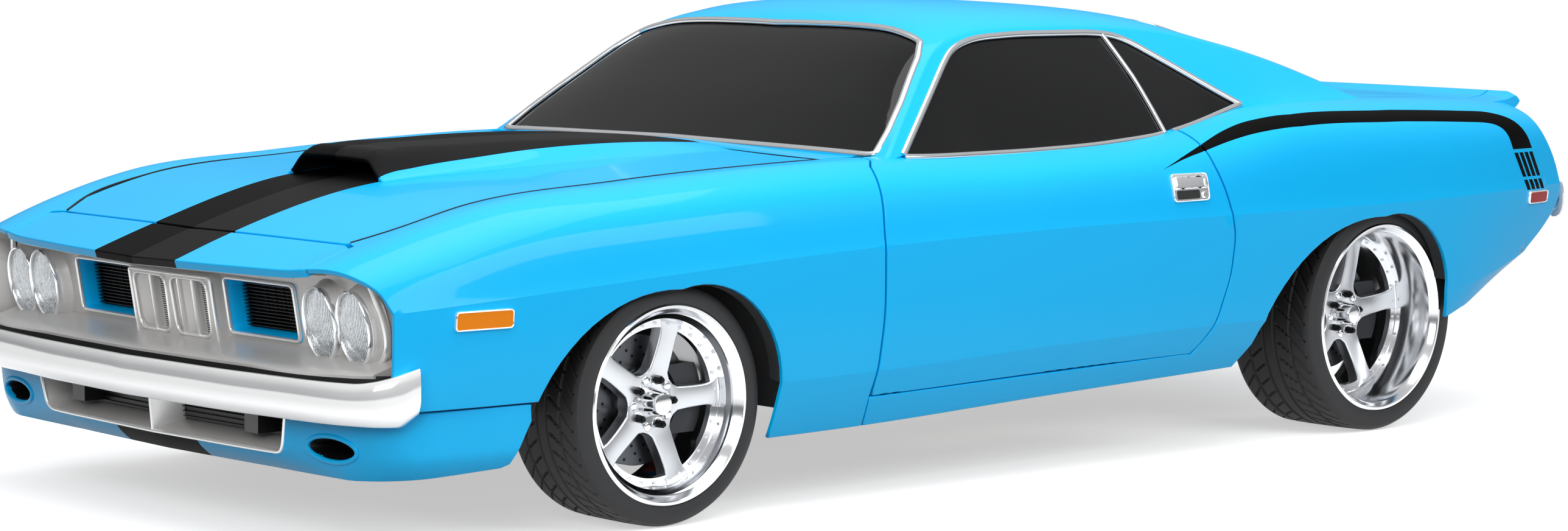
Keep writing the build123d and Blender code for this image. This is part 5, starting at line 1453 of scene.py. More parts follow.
def tyre(name, axle, hub, tyre_r):
    """A left tyre, its tread cut by straight and swept grooves."""
    lip, width, out_x, *_ = WHEELS[axle]
    middle, half = out_x - width / 2, width / 2
    wall = lip + 0.0003
    outer_side = [
        (half - 0.013, wall - 0.014), (half - 0.013, wall), (half - 0.002, wall + 0.002),
        (half, wall + 0.010), (half + 0.0005, wall + (tyre_r - wall) * 0.45),
        (half - 0.003, tyre_r - 0.016), (half - 0.008, tyre_r - 0.009), (half - 0.016, tyre_r - 0.0045),
    ]
    tread_xs = np.linspace(half - 0.024, -(half - 0.024), 57)
    tread = [(x, tyre_r - 0.0035 * abs(x / half) ** 3) for x in tread_xs]
    inner_side = [(-x, r) for x, r in outer_side[::-1]]
    profile = outer_side + tread + inner_side
    first, last = len(outer_side), len(outer_side) + len(tread)
    rings = []
    for k in range(TREAD_STEPS):
        a = 2 * math.pi * k / TREAD_STEPS
        ring = []
        for j, (x, r) in enumerate(profile):
            if first <= j < last:
                rib = min(abs(abs(x) - half * 0.14), abs(abs(x) - half * 0.52))
                sweep = a * PITCHES / (2 * math.pi) - 2.6 * (abs(x) / half) ** 1.6 + (0.5 if x < 0 else 0)
                groove = abs(sweep - round(sweep)) * 2 * math.pi * tyre_r / PITCHES
                cut = RIB_DEPTH if rib < RIB_HALF else 0.0
                if abs(x) > half * 0.2 and groove < GROOVE_HALF:
                    cut = GROOVE_DEPTH
                r -= cut
            ring.append((middle + x, hub[1] + r * math.cos(a), hub[2] + r * math.sin(a)))
        rings.append(ring)
    rings.append(rings[0])
    return swept(name, rings, [rubber], 24, caps=False)


for axle, tyre_r in (("front", 0.298), ("rear", 0.332)):
    low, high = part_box(f"wheel_{axle}_left")
    hub = (0, (low[1] + high[1]) / 2, (low[2] + high[2]) / 2)
    left = merged(f"wheel_dressed_{axle}_left", wheel_parts(axle, hub))
    left_tyre = tyre(f"tyre_dressed_{axle}_left", axle, hub, tyre_r)
    for thing, node_name in ((left, "wheel"), (left_tyre, "tyre")):
        mesh = thing.data.copy()
        mesh.transform(Matrix.Scale(-1, 4, (1, 0, 0)))
        mesh.flip_normals()
        twin = bpy.data.objects.new(thing.name.replace("left", "right"), mesh)
        bpy.context.collection.objects.link(twin)
        for made, side in ((thing, "left"), (twin, "right")):
            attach(made, f"wheel_{axle}_{side}")
            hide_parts(f"{node_name}_{axle}_{side}")

# ------------------------------------------------------------------------ front fascia
# Under the nose's lip the silver lamp panel lies deep and leans back at its foot. Twin
# oval lamps stand out of it at each end in rolled cones, a boxed vent fills the middle,
# and a framed, body-coloured duct with a dark slatted screen lies on each side of it.
argent = principled("argent_silver_paint", "#d2d0ce", 0.38, 0.22, Coat_Weight=0.2, Coat_Roughness=0.2)
grain(argent, 0.0015, 0.04, 0.0002)
argent_bright = principled("argent_polished_edge", "#f2f2f1", 0.2, 0.55)
grain(argent_bright, 0.02, 0.04, 0.0004)
screen_black = principled("semi_gloss_black_screen", "#0b0b0c", 0.42)
grain(screen_black, 0.004, 0.08, 0.0002)
FASCIA_LEAN = 0.175
FASCIA_MID_Z = 0.53
fascia_plan = spline((0, 0.31, 0.56, 0.70, 0.838), [[-0.803], [-0.792], [-0.785], [-0.777], [-0.755]])


def fascia(z, x):
    """The leaning lamp panel's surface over height and x."""
    z, x = np.broadcast_arrays(np.asarray(z, float), np.asarray(x, float))
    s = fascia_plan(np.abs(x))[..., 0] + FASCIA_LEAN * (FASCIA_MID_Z - z)
    return np.stack([x, AXLE_Y + s, z], -1)


def set_forward(distance):
    """A surface that lies a distance ahead of the lamp panel."""
    return lambda z, x: fascia(z, x) - np.array((0, distance, 0))


def box_line(z0, z1, x0, x1, radius):
    """Closed (z, x) line of a rounded box."""
    return rounded([(z0, x0), (z0, x1), (z1, x1), (z1, x0)], radius, steps=5)


def under_nose(x, drop):
    """Height under the nose's skin at the lamp panel."""
    s = np.full(np.shape(x), -0.79)
    return body(s, u_at_x(s, np.abs(x)))[..., 2] - drop


FRAME_X = (0.197, 0.474)
FRAME_Z = (0.468, 0.602)
LAMPS = ((0.602, 0.5245), (0.723, 0.5225))
LAMP_HALF = (0.0635, 0.0885)
xs = np.linspace(0, 0.80, 15)
half = [*zip(under_nose(xs, 0.030), xs), (0.545, 0.834), (0.500, 0.838), (0.425, 0.838), (0.425, 0.0)]
ducts = [box_line(FRAME_Z[0], FRAME_Z[1], *ends, 0.016) for ends in (FRAME_X, (-FRAME_X[1], -FRAME_X[0]))]
lamp_panel = panel(
    "lamp_panel_skin", fascia, mirror_line(half), [argent, under_black], holes=ducts, step=(0.03, 0.03),
    scale=(1, 1), hem=0.002, depth=0.006,
)
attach(lamp_panel, "body")
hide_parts("grille_panel")

OVAL_STEPS = 56


def lamp_oval(centre, grow, s_mid):
    """Points round a lamp's oval, grown or shrunk, at a station that leans with the panel."""
    x0, z0 = centre
    out = []
    for k in range(OVAL_STEPS):
        a = 2 * math.pi * k / OVAL_STEPS
        x, z = x0 + (LAMP_HALF[0] + grow) * math.cos(a), z0 + (LAMP_HALF[1] + grow) * math.sin(a)
        out.append((x, AXLE_Y + s_mid + FASCIA_LEAN * (FASCIA_MID_Z - z), z))
    return out


def tube(name, rings, material, smooth_angle=40):
    """A closed band through rings that come back on themselves."""
    rows = [list(p) for p in zip(*rings)]
    rows.append(rows[0])
    return swept(name, rows, [material], smooth_angle, caps=False)


LAMP_FACE = (-0.824, -0.816)
lamp_glass = principled("fluted_clear_lamp_glass", "#f4f7f9", 0.04, Transmission_Weight=0.93, IOR=1.47)


def ribbed(material, scale, strength, distance, direction="X"):
    """Straight pressed ribs as bump; scale is 2 pi / 20 over the ribs' spacing in metres."""
    tree = material.node_tree
    place = node(tree, "ShaderNodeTexCoord")
    wave = node(
        tree, "ShaderNodeTexWave", {"Scale": scale}, {"Vector": place.outputs["Object"]}, wave_type="BANDS",
        bands_direction=direction,
    )
    press = node(
        tree, "ShaderNodeBump", {"Strength": strength, "Distance": distance}, {"Height": wave.outputs["Fac"]},
    )
    tree.links.new(press.outputs["Normal"], tree.nodes["Principled BSDF"].inputs["Normal"])


ribbed(lamp_glass, 62.0, 0.4, 0.002)
reflector = principled("aluminised_reflector", "#fbfcfd", 0.06, 1.0)
grain(reflector, 0.022, 0.9, 0.006)
bulb_shade = polished("bulb_cap_chrome", "#c9ccd0", 0.2)


def dished(name, centre, s_rim, s_back, power, material, grow, rows):
    """A bowl inside a lamp's oval, from the rim to the middle."""
    rings = []
    for k in range(rows):
        t = k / (rows - 1)
        ring = lamp_oval(centre, 0, s_rim)
        scale_x = (LAMP_HALF[0] + grow) / LAMP_HALF[0] * max(0.02, 1 - t)
        scale_z = (LAMP_HALF[1] + grow) / LAMP_HALF[1] * max(0.02, 1 - t)
        deep = (s_back - s_rim) * (1 - (1 - t) ** power)
        row = []
        for x, _, z in ring:
            up = centre[1] + (z - centre[1]) * scale_z
            row.append(
                (
                    centre[0] + (x - centre[0]) * scale_x,
                    AXLE_Y + s_rim + deep + FASCIA_LEAN * (FASCIA_MID_Z - up), up,
                )
            )
        rings.append(row)
    return swept(name, rings, [material], 60)


def lamp_shell(name, centre, s_face, material, grow, thick, bow_out):
    """A lens: a bowed front face and an inner face, closed at the rim."""
    outer = []
    for t in np.linspace(0.02, 1, 12):
        outer.append((t, -bow_out * (1 - t**2)))
    profile = outer + [(t, back + thick) for t, back in outer[::-1]]
    steps = 64
    rows = []
    for k in range(steps):
        a = 2 * math.pi * k / steps
        row = []
        for t, back in profile:
            x = centre[0] + (LAMP_HALF[0] + grow) * t * math.cos(a)
            z = centre[1] + (LAMP_HALF[1] + grow) * t * math.sin(a)
            row.append((x, AXLE_Y + s_face + back + FASCIA_LEAN * (FASCIA_MID_Z - z), z))
        rows.append(row)
    rows.append(rows[0])
    return swept(name, rows, [material], 50, caps=False)


def put(name, things, body_name, replaced=()):
    """One named piece from its parts, on a body, in place of CAD nodes."""
    made = merged(name, things) if len(things) > 1 else things[0]
    made.name = name
    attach(made, body_name)
    for node_name in replaced:
        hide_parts(node_name)
    return made


def flipped(thing, name):
    """The mirror image of a piece across the car's middle."""
    mesh = thing.data.copy()
    mesh.transform(Matrix.Scale(-1, 4, (1, 0, 0)))
    mesh.flip_normals()
    twin = bpy.data.objects.new(name, mesh)
    bpy.context.collection.objects.link(twin)
    return twin


bezels, cones, lenses, bowls, caps = [], [], [], [], []
for centre, s_face in zip(LAMPS, LAMP_FACE):
    back = fascia_plan(centre[0])[0] + 0.004
    rim = [
        lamp_oval(centre, -0.0085, s_face + 0.022), lamp_oval(centre, -0.0080, s_face + 0.004),
        lamp_oval(centre, -0.0060, s_face - 0.001),
        lamp_oval(centre, -0.0030, s_face - 0.003), lamp_oval(centre, -0.0005, s_face - 0.001),
        lamp_oval(centre, 0.0008, s_face + 0.004),
        lamp_oval(centre, 0.0008, s_face + 0.016), lamp_oval(centre, -0.002, s_face + 0.022),
    ]
    bezels.append(tube("bezel", rim, chrome))
    skirt = [
        lamp_oval(centre, -0.004, s_face + 0.010), lamp_oval(centre, 0.0002, s_face + 0.012),
        lamp_oval(centre, 0.004, s_face + 0.020), lamp_oval(centre, 0.012, back - 0.008),
        lamp_oval(centre, 0.020, back), lamp_oval(centre, -0.004, back),
    ]
    cones.append(tube("cone", skirt, argent))
    lenses.append(lamp_shell("lens", centre, s_face + 0.004, lamp_glass, -0.0082, 0.004, 0.010))
    bowls.append(dished("bowl", centre, s_face + 0.012, back + 0.02, 2.2, reflector, -0.0085, 16))
    caps.append(lamp_shell("cap", centre, s_face + 0.020, bulb_shade, -0.046, 0.006, 0.006))
for name, things, slot, replaced in (
    ("headlamp_bezels", bezels, "chrome", ("lamp_bezels",)),
    ("headlamp_cones", cones, "argent", ("grille_panel",)),
    ("headlamp_lenses", lenses, "lamp_glass", ("headlamps",)),
    ("headlamp_reflectors", bowls + caps, "chrome", ("headlamps",)),
):
    made = merged(f"{name}_left", things)
    twin = flipped(made, f"{name}_right")
    for thing in (made, twin):
        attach(thing, "body")
        for node_name in replaced:
            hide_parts(node_name)

# The chrome outline that hugs the body's opening round each pair of lamps.
for side, flip in (("left", False), ("right", True)):
    corner_x = np.linspace(0.60, 0.765, 8)
    line = [
        *zip(under_nose(corner_x, 0.036), corner_x), (0.575, 0.796), (0.545, 0.805), (0.505, 0.808),
        (0.470, 0.800), (0.442, 0.775), (0.430, 0.735), (0.428, 0.655), (0.436, 0.585),
    ]
    line = refined(rounded(line, 0.03, closed=False), (0.012, 0.012), closed=False)
    surface_strip(
        f"lamp_surround_{side}", set_forward(0.024), line, 0.013, 0.008, argent_bright, "body", closed=False,
        mirrored=flip,
    )

# Cheeks: silver closing pieces between the lamp panel's ends and the fenders' edges.
cheek_u = np.linspace(float(u_at_x(CORNER_S, HEADER_X + 0.004)), LOW, 40)
edge_s = nose_end(cheek_u) + 0.006
edge = body(edge_s, cheek_u) - surface_normal(body, edge_s, cheek_u) * 0.008
rings = []
for p in edge[edge[:, 2] > 0.418]:
    back = fascia(p[2] - 0.020, min(p[0], 0.836)) + (0, 0.003, 0)
    rings.append([tuple(p), tuple(back), tuple(back + (0.0, 0.002, 0.004)), tuple(p + (0.0, 0.004, 0.002))])
cheek = swept("lamp_cheek_left", rings, [argent], 60)
for thing in (cheek, flipped(cheek, "lamp_cheek_right")):
    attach(thing, "body")

# Trim under the nose's lip: a bright strip with a dark gap over it.
lip_x = np.linspace(-0.60, 0.60, 41)


def under_lip(x):
    """Points just under the paint's front edge."""
    s = nose_line(np.abs(x))[:, 0] + 0.012
    z = body(s, u_at_x(s, np.abs(x)))[:, 2] - 0.020
    return np.stack([x, AXLE_Y + s, z], 1)


lip_points = under_lip(lip_x)
lip_trim = strip(
    "nose_lip_trim", lip_points, np.tile((0.0, -0.94, -0.34), (len(lip_x), 1)), 0.011, 0.004, argent_bright,
    closed=False,
)
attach(lip_trim, "body")
soffit_rings = []
for x, point in zip(lip_x, lip_points):
    back = fascia(point[2], x)
    soffit_rings.append(
        [
            (x, point[1] + 0.004, point[2] + 0.004), (x, back[1] + 0.004, point[2] - 0.004),
            (x, back[1] + 0.004, point[2] + 0.004), (x, point[1] + 0.004, point[2] + 0.008),
        ]
    )
soffit = swept("nose_soffit", soffit_rings, [argent])
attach(soffit, "body")

# Framed ducts: a bright rim, body-coloured walls and a dark screen of thin slats.
SCREEN_PITCH = 0.0085
SLAT = ((-0.004, -0.0013), (0.010, 0.0010), (0.010, 0.0022), (-0.004, 0.0002))  # s and z
for side, sign in (("left", 1), ("right", -1)):
    line = box_line(FRAME_Z[0], FRAME_Z[1], FRAME_X[0], FRAME_X[1], 0.016)
    fine = refined(line, (0.012, 0.012))
    rim = surface_strip(
        f"duct_rim_{side}", set_forward(0.006), fine, 0.008, 0.005, argent_bright, "body", mirrored=sign < 0,
    )
    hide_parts("grille_frames")
    rings = []
    middle = np.mean(line, axis=0)
    for forward, shrink in (
        (0.006, 0.0005), (0.0, 0.003), (-0.012, 0.008), (-0.046, 0.013), (-0.050, 0.013), (-0.050, -0.004),
        (0.000, -0.004), (0.004, -0.001),
    ):
        scaled = middle + (fine - middle) * (1 - shrink / np.array([0.067, 0.138]))
        at = set_forward(forward)(scaled[:, 0], scaled[:, 1])
        rings.append(at * (sign, 1, 1))
    walls = tube(f"duct_walls_{side}", rings, paint, 50)
    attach(walls, "body")
    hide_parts("grille_frames")
    slats = []
    rows = np.arange(FRAME_Z[0] + 0.010, FRAME_Z[1] - 0.004, SCREEN_PITCH)
    rings = []
    for x in (FRAME_X[0] + 0.004, FRAME_X[1] - 0.004):
        s = fascia(rows[0], x)[1] + 0.040
        rings.append([(sign * x, s + a, rows[0] + b) for a, b in SLAT])
    slat = swept("slat", rings, [screen_black], 30)
    slats.append(repeated(slat, len(rows), screen_black, step=(0, -FASCIA_LEAN * SCREEN_PITCH, SCREEN_PITCH)))
    for x in np.arange(FRAME_X[0] + 0.02, FRAME_X[1] - 0.01, 0.034):
        rings = []
        for z in (FRAME_Z[0] + 0.002, FRAME_Z[1] - 0.002):
            s = fascia(z, x)[1] + 0.050
            rings.append(
                [
                    (sign * x - 0.001, s, z), (sign * x + 0.001, s, z), (sign * x + 0.001, s + 0.006, z),
                    (sign * x - 0.001, s + 0.006, z),
                ]
            )
        slats.append(swept("upright", rings, [screen_black], 30))
    back = []
    for z in (FRAME_Z[0] - 0.004, FRAME_Z[1] + 0.004):
        s = [fascia(z, x)[1] + 0.060 for x in FRAME_X]
        back.append(
            [
                (sign * FRAME_X[0], s[0], z), (sign * FRAME_X[1], s[1], z),
                (sign * FRAME_X[1], s[1] + 0.003, z), (sign * FRAME_X[0], s[0] + 0.003, z),
            ]
        )
    slats.append(swept("backing", back, [screen_black], 30))
    put(f"duct_screen_{side}", slats, "body", ("grille_frames",))

# The vent box: a bright-edged silver face with two windows on each side of the middle,
# with upright bars, and horizontal slats behind.
VENT_X = 0.179
VENT_Z = (0.436, 0.602)
VENT_AHEAD = 0.030
vent_face = set_forward(VENT_AHEAD)
window_lines = []
for x0, x1 in ((0.010, 0.160), (-0.160, -0.010)):
    window_lines.append(
        rounded([(0.452, x0 + 0.004), (0.452, x1 - 0.006), (0.592, x1), (0.592, x0)], 0.030, steps=6)
    )
face = panel(
    "vent_face", vent_face, box_line(VENT_Z[0], VENT_Z[1], -VENT_X, VENT_X, 0.008), [argent, argent],
    holes=window_lines, step=(0.02, 0.02), scale=(1, 1),
    hem=0.002, depth=0.030,
)
vent_parts = [face]
for line in window_lines:
    fine = refined(line, (0.010, 0.010))
    at = vent_face(fine[:, 0], fine[:, 1])
    normal = surface_normal(vent_face, fine[:, 0], fine[:, 1])
    vent_parts.append(strip("window_rim", at, normal, 0.0075, 0.0055, argent_bright))
outline = refined(
    box_line(VENT_Z[0] + 0.003, VENT_Z[1] - 0.003, -VENT_X + 0.003, VENT_X - 0.003, 0.008), (0.012, 0.012),
)
vent_parts.append(
    strip(
        "vent_edge", vent_face(outline[:, 0], outline[:, 1]),
        surface_normal(vent_face, outline[:, 0], outline[:, 1]), 0.008, 0.005, argent_bright,
    )
)
for x in (-0.090, -0.083, 0.040, 0.048, 0.098):
    wide = 0.0030
    rings = []
    for z in np.linspace(0.450, 0.594, 9):
        s = vent_face(z, x)[1]
        rings.append(
            [
                (x - wide, s, z), (x - wide * 0.5, s - 0.003, z), (x + wide * 0.5, s - 0.003, z),
                (x + wide, s, z), (x + wide + 0.002, s + 0.024, z), (x - wide + 0.002, s + 0.024, z),
            ]
        )
    vent_parts.append(
        swept("bar", rings, [argent_bright if abs(x + 0.090) > 0.001 and abs(x - 0.048) > 0.001 else argent])
    )
for x0, x1 in ((-0.156, -0.090), (0.012, 0.038), (0.052, 0.094)):
    rings = []
    for z in (0.450, 0.594):
        s = vent_face(z, x0)[1]
        rings.append(
            [(x0, s + 0.004, z), (x1 - 0.016, s + 0.020, z), (x1 - 0.016, s + 0.023, z), (x0, s + 0.007, z)]
        )
    vent_parts.append(swept("blade", rings, [argent]))
slats = []
VENT_PITCH = 0.0055
rows = np.arange(0.446, 0.600, VENT_PITCH)
z = rows[0]
for x0, x1 in ((-0.162, -0.006), (0.006, 0.162)):
    rings = []
    for x in (x0, x1):
        s = vent_face(z, x)[1] + 0.024
        rings.append([(x, s, z), (x, s + 0.008, z + 0.001), (x, s + 0.008, z + 0.0030), (x, s, z + 0.0024)])
    slat = swept("slat", rings, [argent], 30)
    slats.append(repeated(slat, len(rows), argent, step=(0, -FASCIA_LEAN * VENT_PITCH, VENT_PITCH)))
backing = []
for z in (0.442, 0.600):
    backing.append(
        [
            (-VENT_X + 0.004, fascia(z, 0)[1] - 0.001, z), (VENT_X - 0.004, fascia(z, 0)[1] - 0.001, z),
            (VENT_X - 0.004, fascia(z, 0)[1] + 0.002, z), (-VENT_X + 0.004, fascia(z, 0)[1] + 0.002, z),
        ]
    )
slats.append(swept("backing", backing, [screen_black], 30))
put("vent_dressed", vent_parts + slats, "body", ("center_vent",))

# The silver shelf runs from the panel's foot down to the bumper.
shelf_plan = spline((0, 0.40, 0.74, 0.812, 0.85), [[-0.944], [-0.925], [-0.884], [-0.846], [-0.80]])
rings = []
for x in np.linspace(-0.826, 0.826, 45):
    front_s = float(shelf_plan(abs(x))[0])
    back_s = float(fascia_plan(abs(x))[0]) + 0.012
    crown = [(front_s, 0.418), (front_s - 0.002, 0.425), (front_s + 0.004, 0.429)]
    for t in (0.25, 0.5, 0.75, 1.0):
        crown.append((front_s + (back_s - front_s) * t, 0.429 + 0.026 * t**1.3))
    crown += [(back_s, 0.420)]
    rings.append([(x, AXLE_Y + s, z) for s, z in crown])
shelf = swept("lamp_shelf", rings, [argent])
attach(shelf, "body")
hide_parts("grille_panel")

# A dark apron closes the gap between the shelf's lip and the back of the bumper.
rings = []
for x in np.linspace(-0.850, 0.850, 45):
    s = float(shelf_plan(abs(x))[0]) + 0.004
    rings.append(
        [
            (x, AXLE_Y + s, 0.424), (x, AXLE_Y + s + 0.006, 0.330), (x, AXLE_Y + s + 0.010, 0.330),
            (x, AXLE_Y + s + 0.004, 0.424),
        ]
    )
apron = swept("bumper_apron", rings, [under_black])
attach(apron, "body")

# ---------------------------------------------------------------------- front bumper
# A thick chrome-plated blade, V-shaped in plan, bevelled under, its tips flared up.
BUMPER_PLAN = (
    (0, -0.990), (0.400, -0.972), (0.760, -0.927), (0.870, -0.880), (0.912, -0.830), (0.930, -0.775),
)
bumper_plan = rounded(BUMPER_PLAN, 0.09, closed=False, steps=8)
bumper_plan = refined(bumper_plan, (0.03, 0.03), closed=False)
bumper_plan = np.concatenate([bumper_plan[:0:-1] * (-1, 1), bumper_plan])
run = np.concatenate([[0], np.cumsum(np.linalg.norm(np.diff(bumper_plan, axis=0), axis=1))])
way = np.gradient(bumper_plan, axis=0)
way /= np.linalg.norm(way, axis=1, keepdims=True)
rings = []
for (x, s), (tx, ts), along in zip(bumper_plan, way, run):
    left = min(along, run[-1] - along)
    tip = max(0.0, 1 - left / 0.17)
    top = 0.411 + 0.036 * tip**1.6
    low = 0.311 + 0.030 * max(0.0, 1 - left / 0.05) ** 2
    nx, ns = ts, -tx  # outward
    swell = 0.004
    section = []
    for out, z in (
        (-0.030, top - 0.008), (-0.026, top - 0.002), (-0.016, top), (-0.008, top - 0.001),
        (-0.003, top - 0.007),
        (0.000, top - 0.020), (swell * 0.6, (top + low) / 2 + 0.012), (swell * 0.6, (top + low) / 2 - 0.012),
        (0.001, low + 0.030), (-0.003, low + 0.021), (-0.020, low + 0.003), (-0.026, low),
        (-0.031, low + 0.004),
        (-0.031, low + 0.012), (-0.024, low + 0.014), (-0.010, low + 0.030), (-0.008, top - 0.024),
        (-0.016, top - 0.012), (-0.024, top - 0.012), (-0.030, top - 0.012),
    ):
        keep = 1 - 0.35 * max(0.0, 1 - left / 0.02) ** 2
        section.append((x + nx * out * keep, AXLE_Y + s + ns * out * keep, z))
    rings.append(section)
bumper_chrome = principled("bright_bumper_plate", "#ffffff", 0.10, 0.45)
grain(bumper_chrome, 0.05, 0.04, 0.0008)
bumper = swept("front_bumper_blade", rings, [bumper_chrome], 38)
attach(bumper, "body")
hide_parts("front_bumper")

# --------------------------------------------------------------------------- valance
# The painted valance under the bumper, with a wide lined mouth and two brake ducts.
VALANCE_PLAN = (
    (0, -0.905), (0.400, -0.890), (0.760, -0.852), (0.850, -0.812), (0.890, -0.740), (0.912, -0.560),
    (0.920, -0.440),
)
valance_plan = refined(rounded(VALANCE_PLAN, 0.05, closed=False), (0.02, 0.02), closed=False)
valance_run = np.concatenate([[0], np.cumsum(np.linalg.norm(np.diff(valance_plan, axis=0), axis=1))])
VALANCE_END = float(valance_run[-1])


def valance(z, r):
    """The valance's surface over height and the distance round it from the middle."""
    z, r = np.broadcast_arrays(np.asarray(z, float), np.asarray(r, float))
    a = np.abs(r)
    x = np.interp(a, valance_run, valance_plan[:, 0])
    s = np.interp(a, valance_run, valance_plan[:, 1])
    low = np.maximum(0.235 - z, 0) / 0.067
    fade = np.clip((0.72 - x) / 0.30, 0, 1)
    tuck = 0.055 * low**1.8 * (0.35 + 0.65 * fade) + 0.012 * np.clip((0.32 - z) / 0.1, 0, 1)
    x = x - 0.030 * low**1.6 * np.clip((x - 0.70) / 0.15, 0, 1)
    return np.stack([np.where(r < 0, -x, x), AXLE_Y + s + tuck, z], -1)


LIP_Z = 0.168
half = [(LOW_SEAM_Z - 0.004, 0.0), (LOW_SEAM_Z - 0.004, VALANCE_END - 0.005)]
arch_low = [(0.300, VALANCE_END - 0.006), (0.240, VALANCE_END - 0.045), (0.200, VALANCE_END - 0.075)]
foot = [(0.192, VALANCE_END - 0.10), (0.180, VALANCE_END - 0.30), (0.172, 0.75), (LIP_Z, 0.45), (LIP_Z, 0.0)]
mouth = rounded([(0.216, -0.515), (0.216, 0.515), (0.334, 0.545), (0.334, -0.545)], 0.030, steps=6)


def full_turn(count):
    """Evenly spaced angles round a circle."""
    return np.linspace(0, 2 * math.pi, count, endpoint=False)


DUCT_R = 0.689
DUCT_Z = 0.243
DUCT_HALF = (0.078, 0.0265)
DUCT_LIP_HALF = (0.083, 0.031)


def duct_line(centre_r, half, steps=28):
    """Closed (z, r) line of a brake duct's oval mouth."""
    return np.array(
        [(DUCT_Z + half[1] * math.sin(t), centre_r + half[0] * math.cos(t)) for t in full_turn(steps)]
    )


ducts = [duct_line(sign * DUCT_R, DUCT_HALF) for sign in (1, -1)]
stripe_low = box_line(0.10, 0.214, -0.178, 0.178, 0.001)
valance_skin = panel(
    "valance_skin", valance, mirror_line([*half, *arch_low, *foot]), [paint, stripe_black, under_black],
    holes=[mouth, *ducts], marks=[stripe_low],
    step=(0.022, 0.03), scale=(1, 1), hem=0.003, depth=0.011,
)
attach(valance_skin, "body")
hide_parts("front_valance")
fine = refined(mouth, (0.015, 0.015))

LINING_THICK = 0.004


def lining(name, line, shrink, forwards, material):
    """Walls that run back from an opening's edge, drawn in as they go."""
    middle = line.mean(0)
    reach = np.abs(line - middle).max(0)
    rings = []
    for back, inset in zip(forwards, shrink):
        scaled = middle + (line - middle) * (1 - inset / reach)
        rings.append(valance(scaled[:, 0], scaled[:, 1]) + (0, back, 0))
    for back, inset in zip(forwards[::-1], shrink[::-1]):
        scaled = middle + (line - middle) * (1 - (inset - LINING_THICK) / reach)
        rings.append(valance(scaled[:, 0], scaled[:, 1]) + (0, back + 0.001, 0))
    return tube(name, rings, material, 50)


mouth_lining = lining(
    "mouth_lining", fine, (0.001, 0.010, 0.022, 0.026), (0.001, 0.022, 0.060, 0.085), argent,
)
mouth_rim = strip(
    "mouth_rim", valance(fine[:, 0], fine[:, 1]), surface_normal(valance, fine[:, 0], fine[:, 1]), 0.008,
    0.004, argent_bright,
)
divider = []
for back, wide in ((0.004, 0.0035), (0.020, 0.008), (0.085, 0.03)):
    top, low = valance(np.array([0.334]), np.array([0.0]))[0], valance(np.array([0.216]), np.array([0.0]))[0]
    divider.append(
        [
            (-wide, low[1] + back - 0.006, 0.217), (wide, low[1] + back - 0.006, 0.217),
            (wide, top[1] + back, 0.333), (-wide, top[1] + back, 0.333),
        ]
    )
mouth_divider = swept("mouth_divider", divider, [argent_bright])
put("mouth_trim", [mouth_lining, mouth_rim, mouth_divider], "body", ("front_valance",))
mesh_parts = []
for z in np.arange(0.226, 0.330, 0.012):
    rings = []
    for r in np.linspace(-0.50, 0.50, 21):
        at = valance(z, r)
        rings.append(
            [
                (at[0], at[1] + 0.078 + a, z + b)
                for a, b in ((0, -0.001), (0.008, -0.001), (0.008, 0.001), (0, 0.001))
            ]
        )
    mesh_parts.append(swept("slat", rings, [screen_black], 30))
backing = []
for r in np.linspace(-0.51, 0.51, 21):
    at = valance(0.30, r)
    backing.append(
        [
            (at[0], at[1] + 0.090, 0.214), (at[0], at[1] + 0.094, 0.214), (at[0], at[1] + 0.094, 0.336),
            (at[0], at[1] + 0.090, 0.336),
        ]
    )
mesh_parts.append(swept("backing", backing, [screen_black], 30))
for sign in (1, -1):
    line = duct_line(sign * DUCT_R, DUCT_HALF, 40)
    mesh_parts.append(lining("duct", line, (0.0, 0.006, 0.010), (0.001, 0.02, 0.09), screen_black))
    end = []
    for back in (0.088, 0.092):
        scaled = line.mean(0) + (line - line.mean(0)) * 0.95
        end.append(valance(scaled[:, 0], scaled[:, 1]) + (0, back, 0))
    mesh_parts.append(swept("duct_end", end, [screen_black], 30))
put("valance_screens", mesh_parts, "body", ("front_valance",))
for side, flip in (("left", False), ("right", True)):
    line = refined(duct_line(DUCT_R, DUCT_LIP_HALF, 40), (0.02, 0.02))
    surface_strip(f"brake_duct_lip_{side}", valance, line, 0.012, 0.004, paint, "body", mirrored=flip)

# Side markers: a small ribbed lens in a chrome rim, amber ahead and red behind.
MARKERS = {
    "front": ([(-0.667, 0.5245), (-0.510, 0.5245), (-0.508, 0.566), (-0.665, 0.566)], "#ff930c"),
    "rear": ([(3.400, 0.636), (3.512, 0.636), (3.512, 0.670), (3.400, 0.670)], "#b90d14"),
}
for name, (corners, colour) in MARKERS.items():
    lens_plastic = principled(
        f"{name}_marker_lens", colour, 0.2, Transmission_Weight=0.2, Specular_IOR_Level=0.2, IOR=1.4,
    )
    grain(lens_plastic, 0.004, 0.2, 0.0004, stretch=(1, 6, 1))
    outline = side_line(rounded(corners, 0.008, steps=3))
    for side, flip in (("left", False), ("right", True)):
        lens = panel(
            f"{name}_marker_{side}", body, outline, [lens_plastic, lens_plastic], lift=0.007, hem=0.002,
            depth=0.006, mirrored=flip,
        )
        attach(lens, "body")
        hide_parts("side_markers")
        line = refined(outline, (0.012, 0.03))
        surface_strip(f"{name}_marker_rim_{side}", body, line, 0.006, 0.009, chrome, "body", mirrored=flip)

# ------------------------------------------------------------------------------ tail
# The bowed tail is one body-coloured pressing with a black band across it. Two ribbed
# ruby lenses in bright rims lie in the band on each side.
TAIL_Z = (0.478, 0.574, 0.640, 0.740, 0.893)
TAIL_S = (3.394, 3.556, 3.620, 3.598, 3.473)


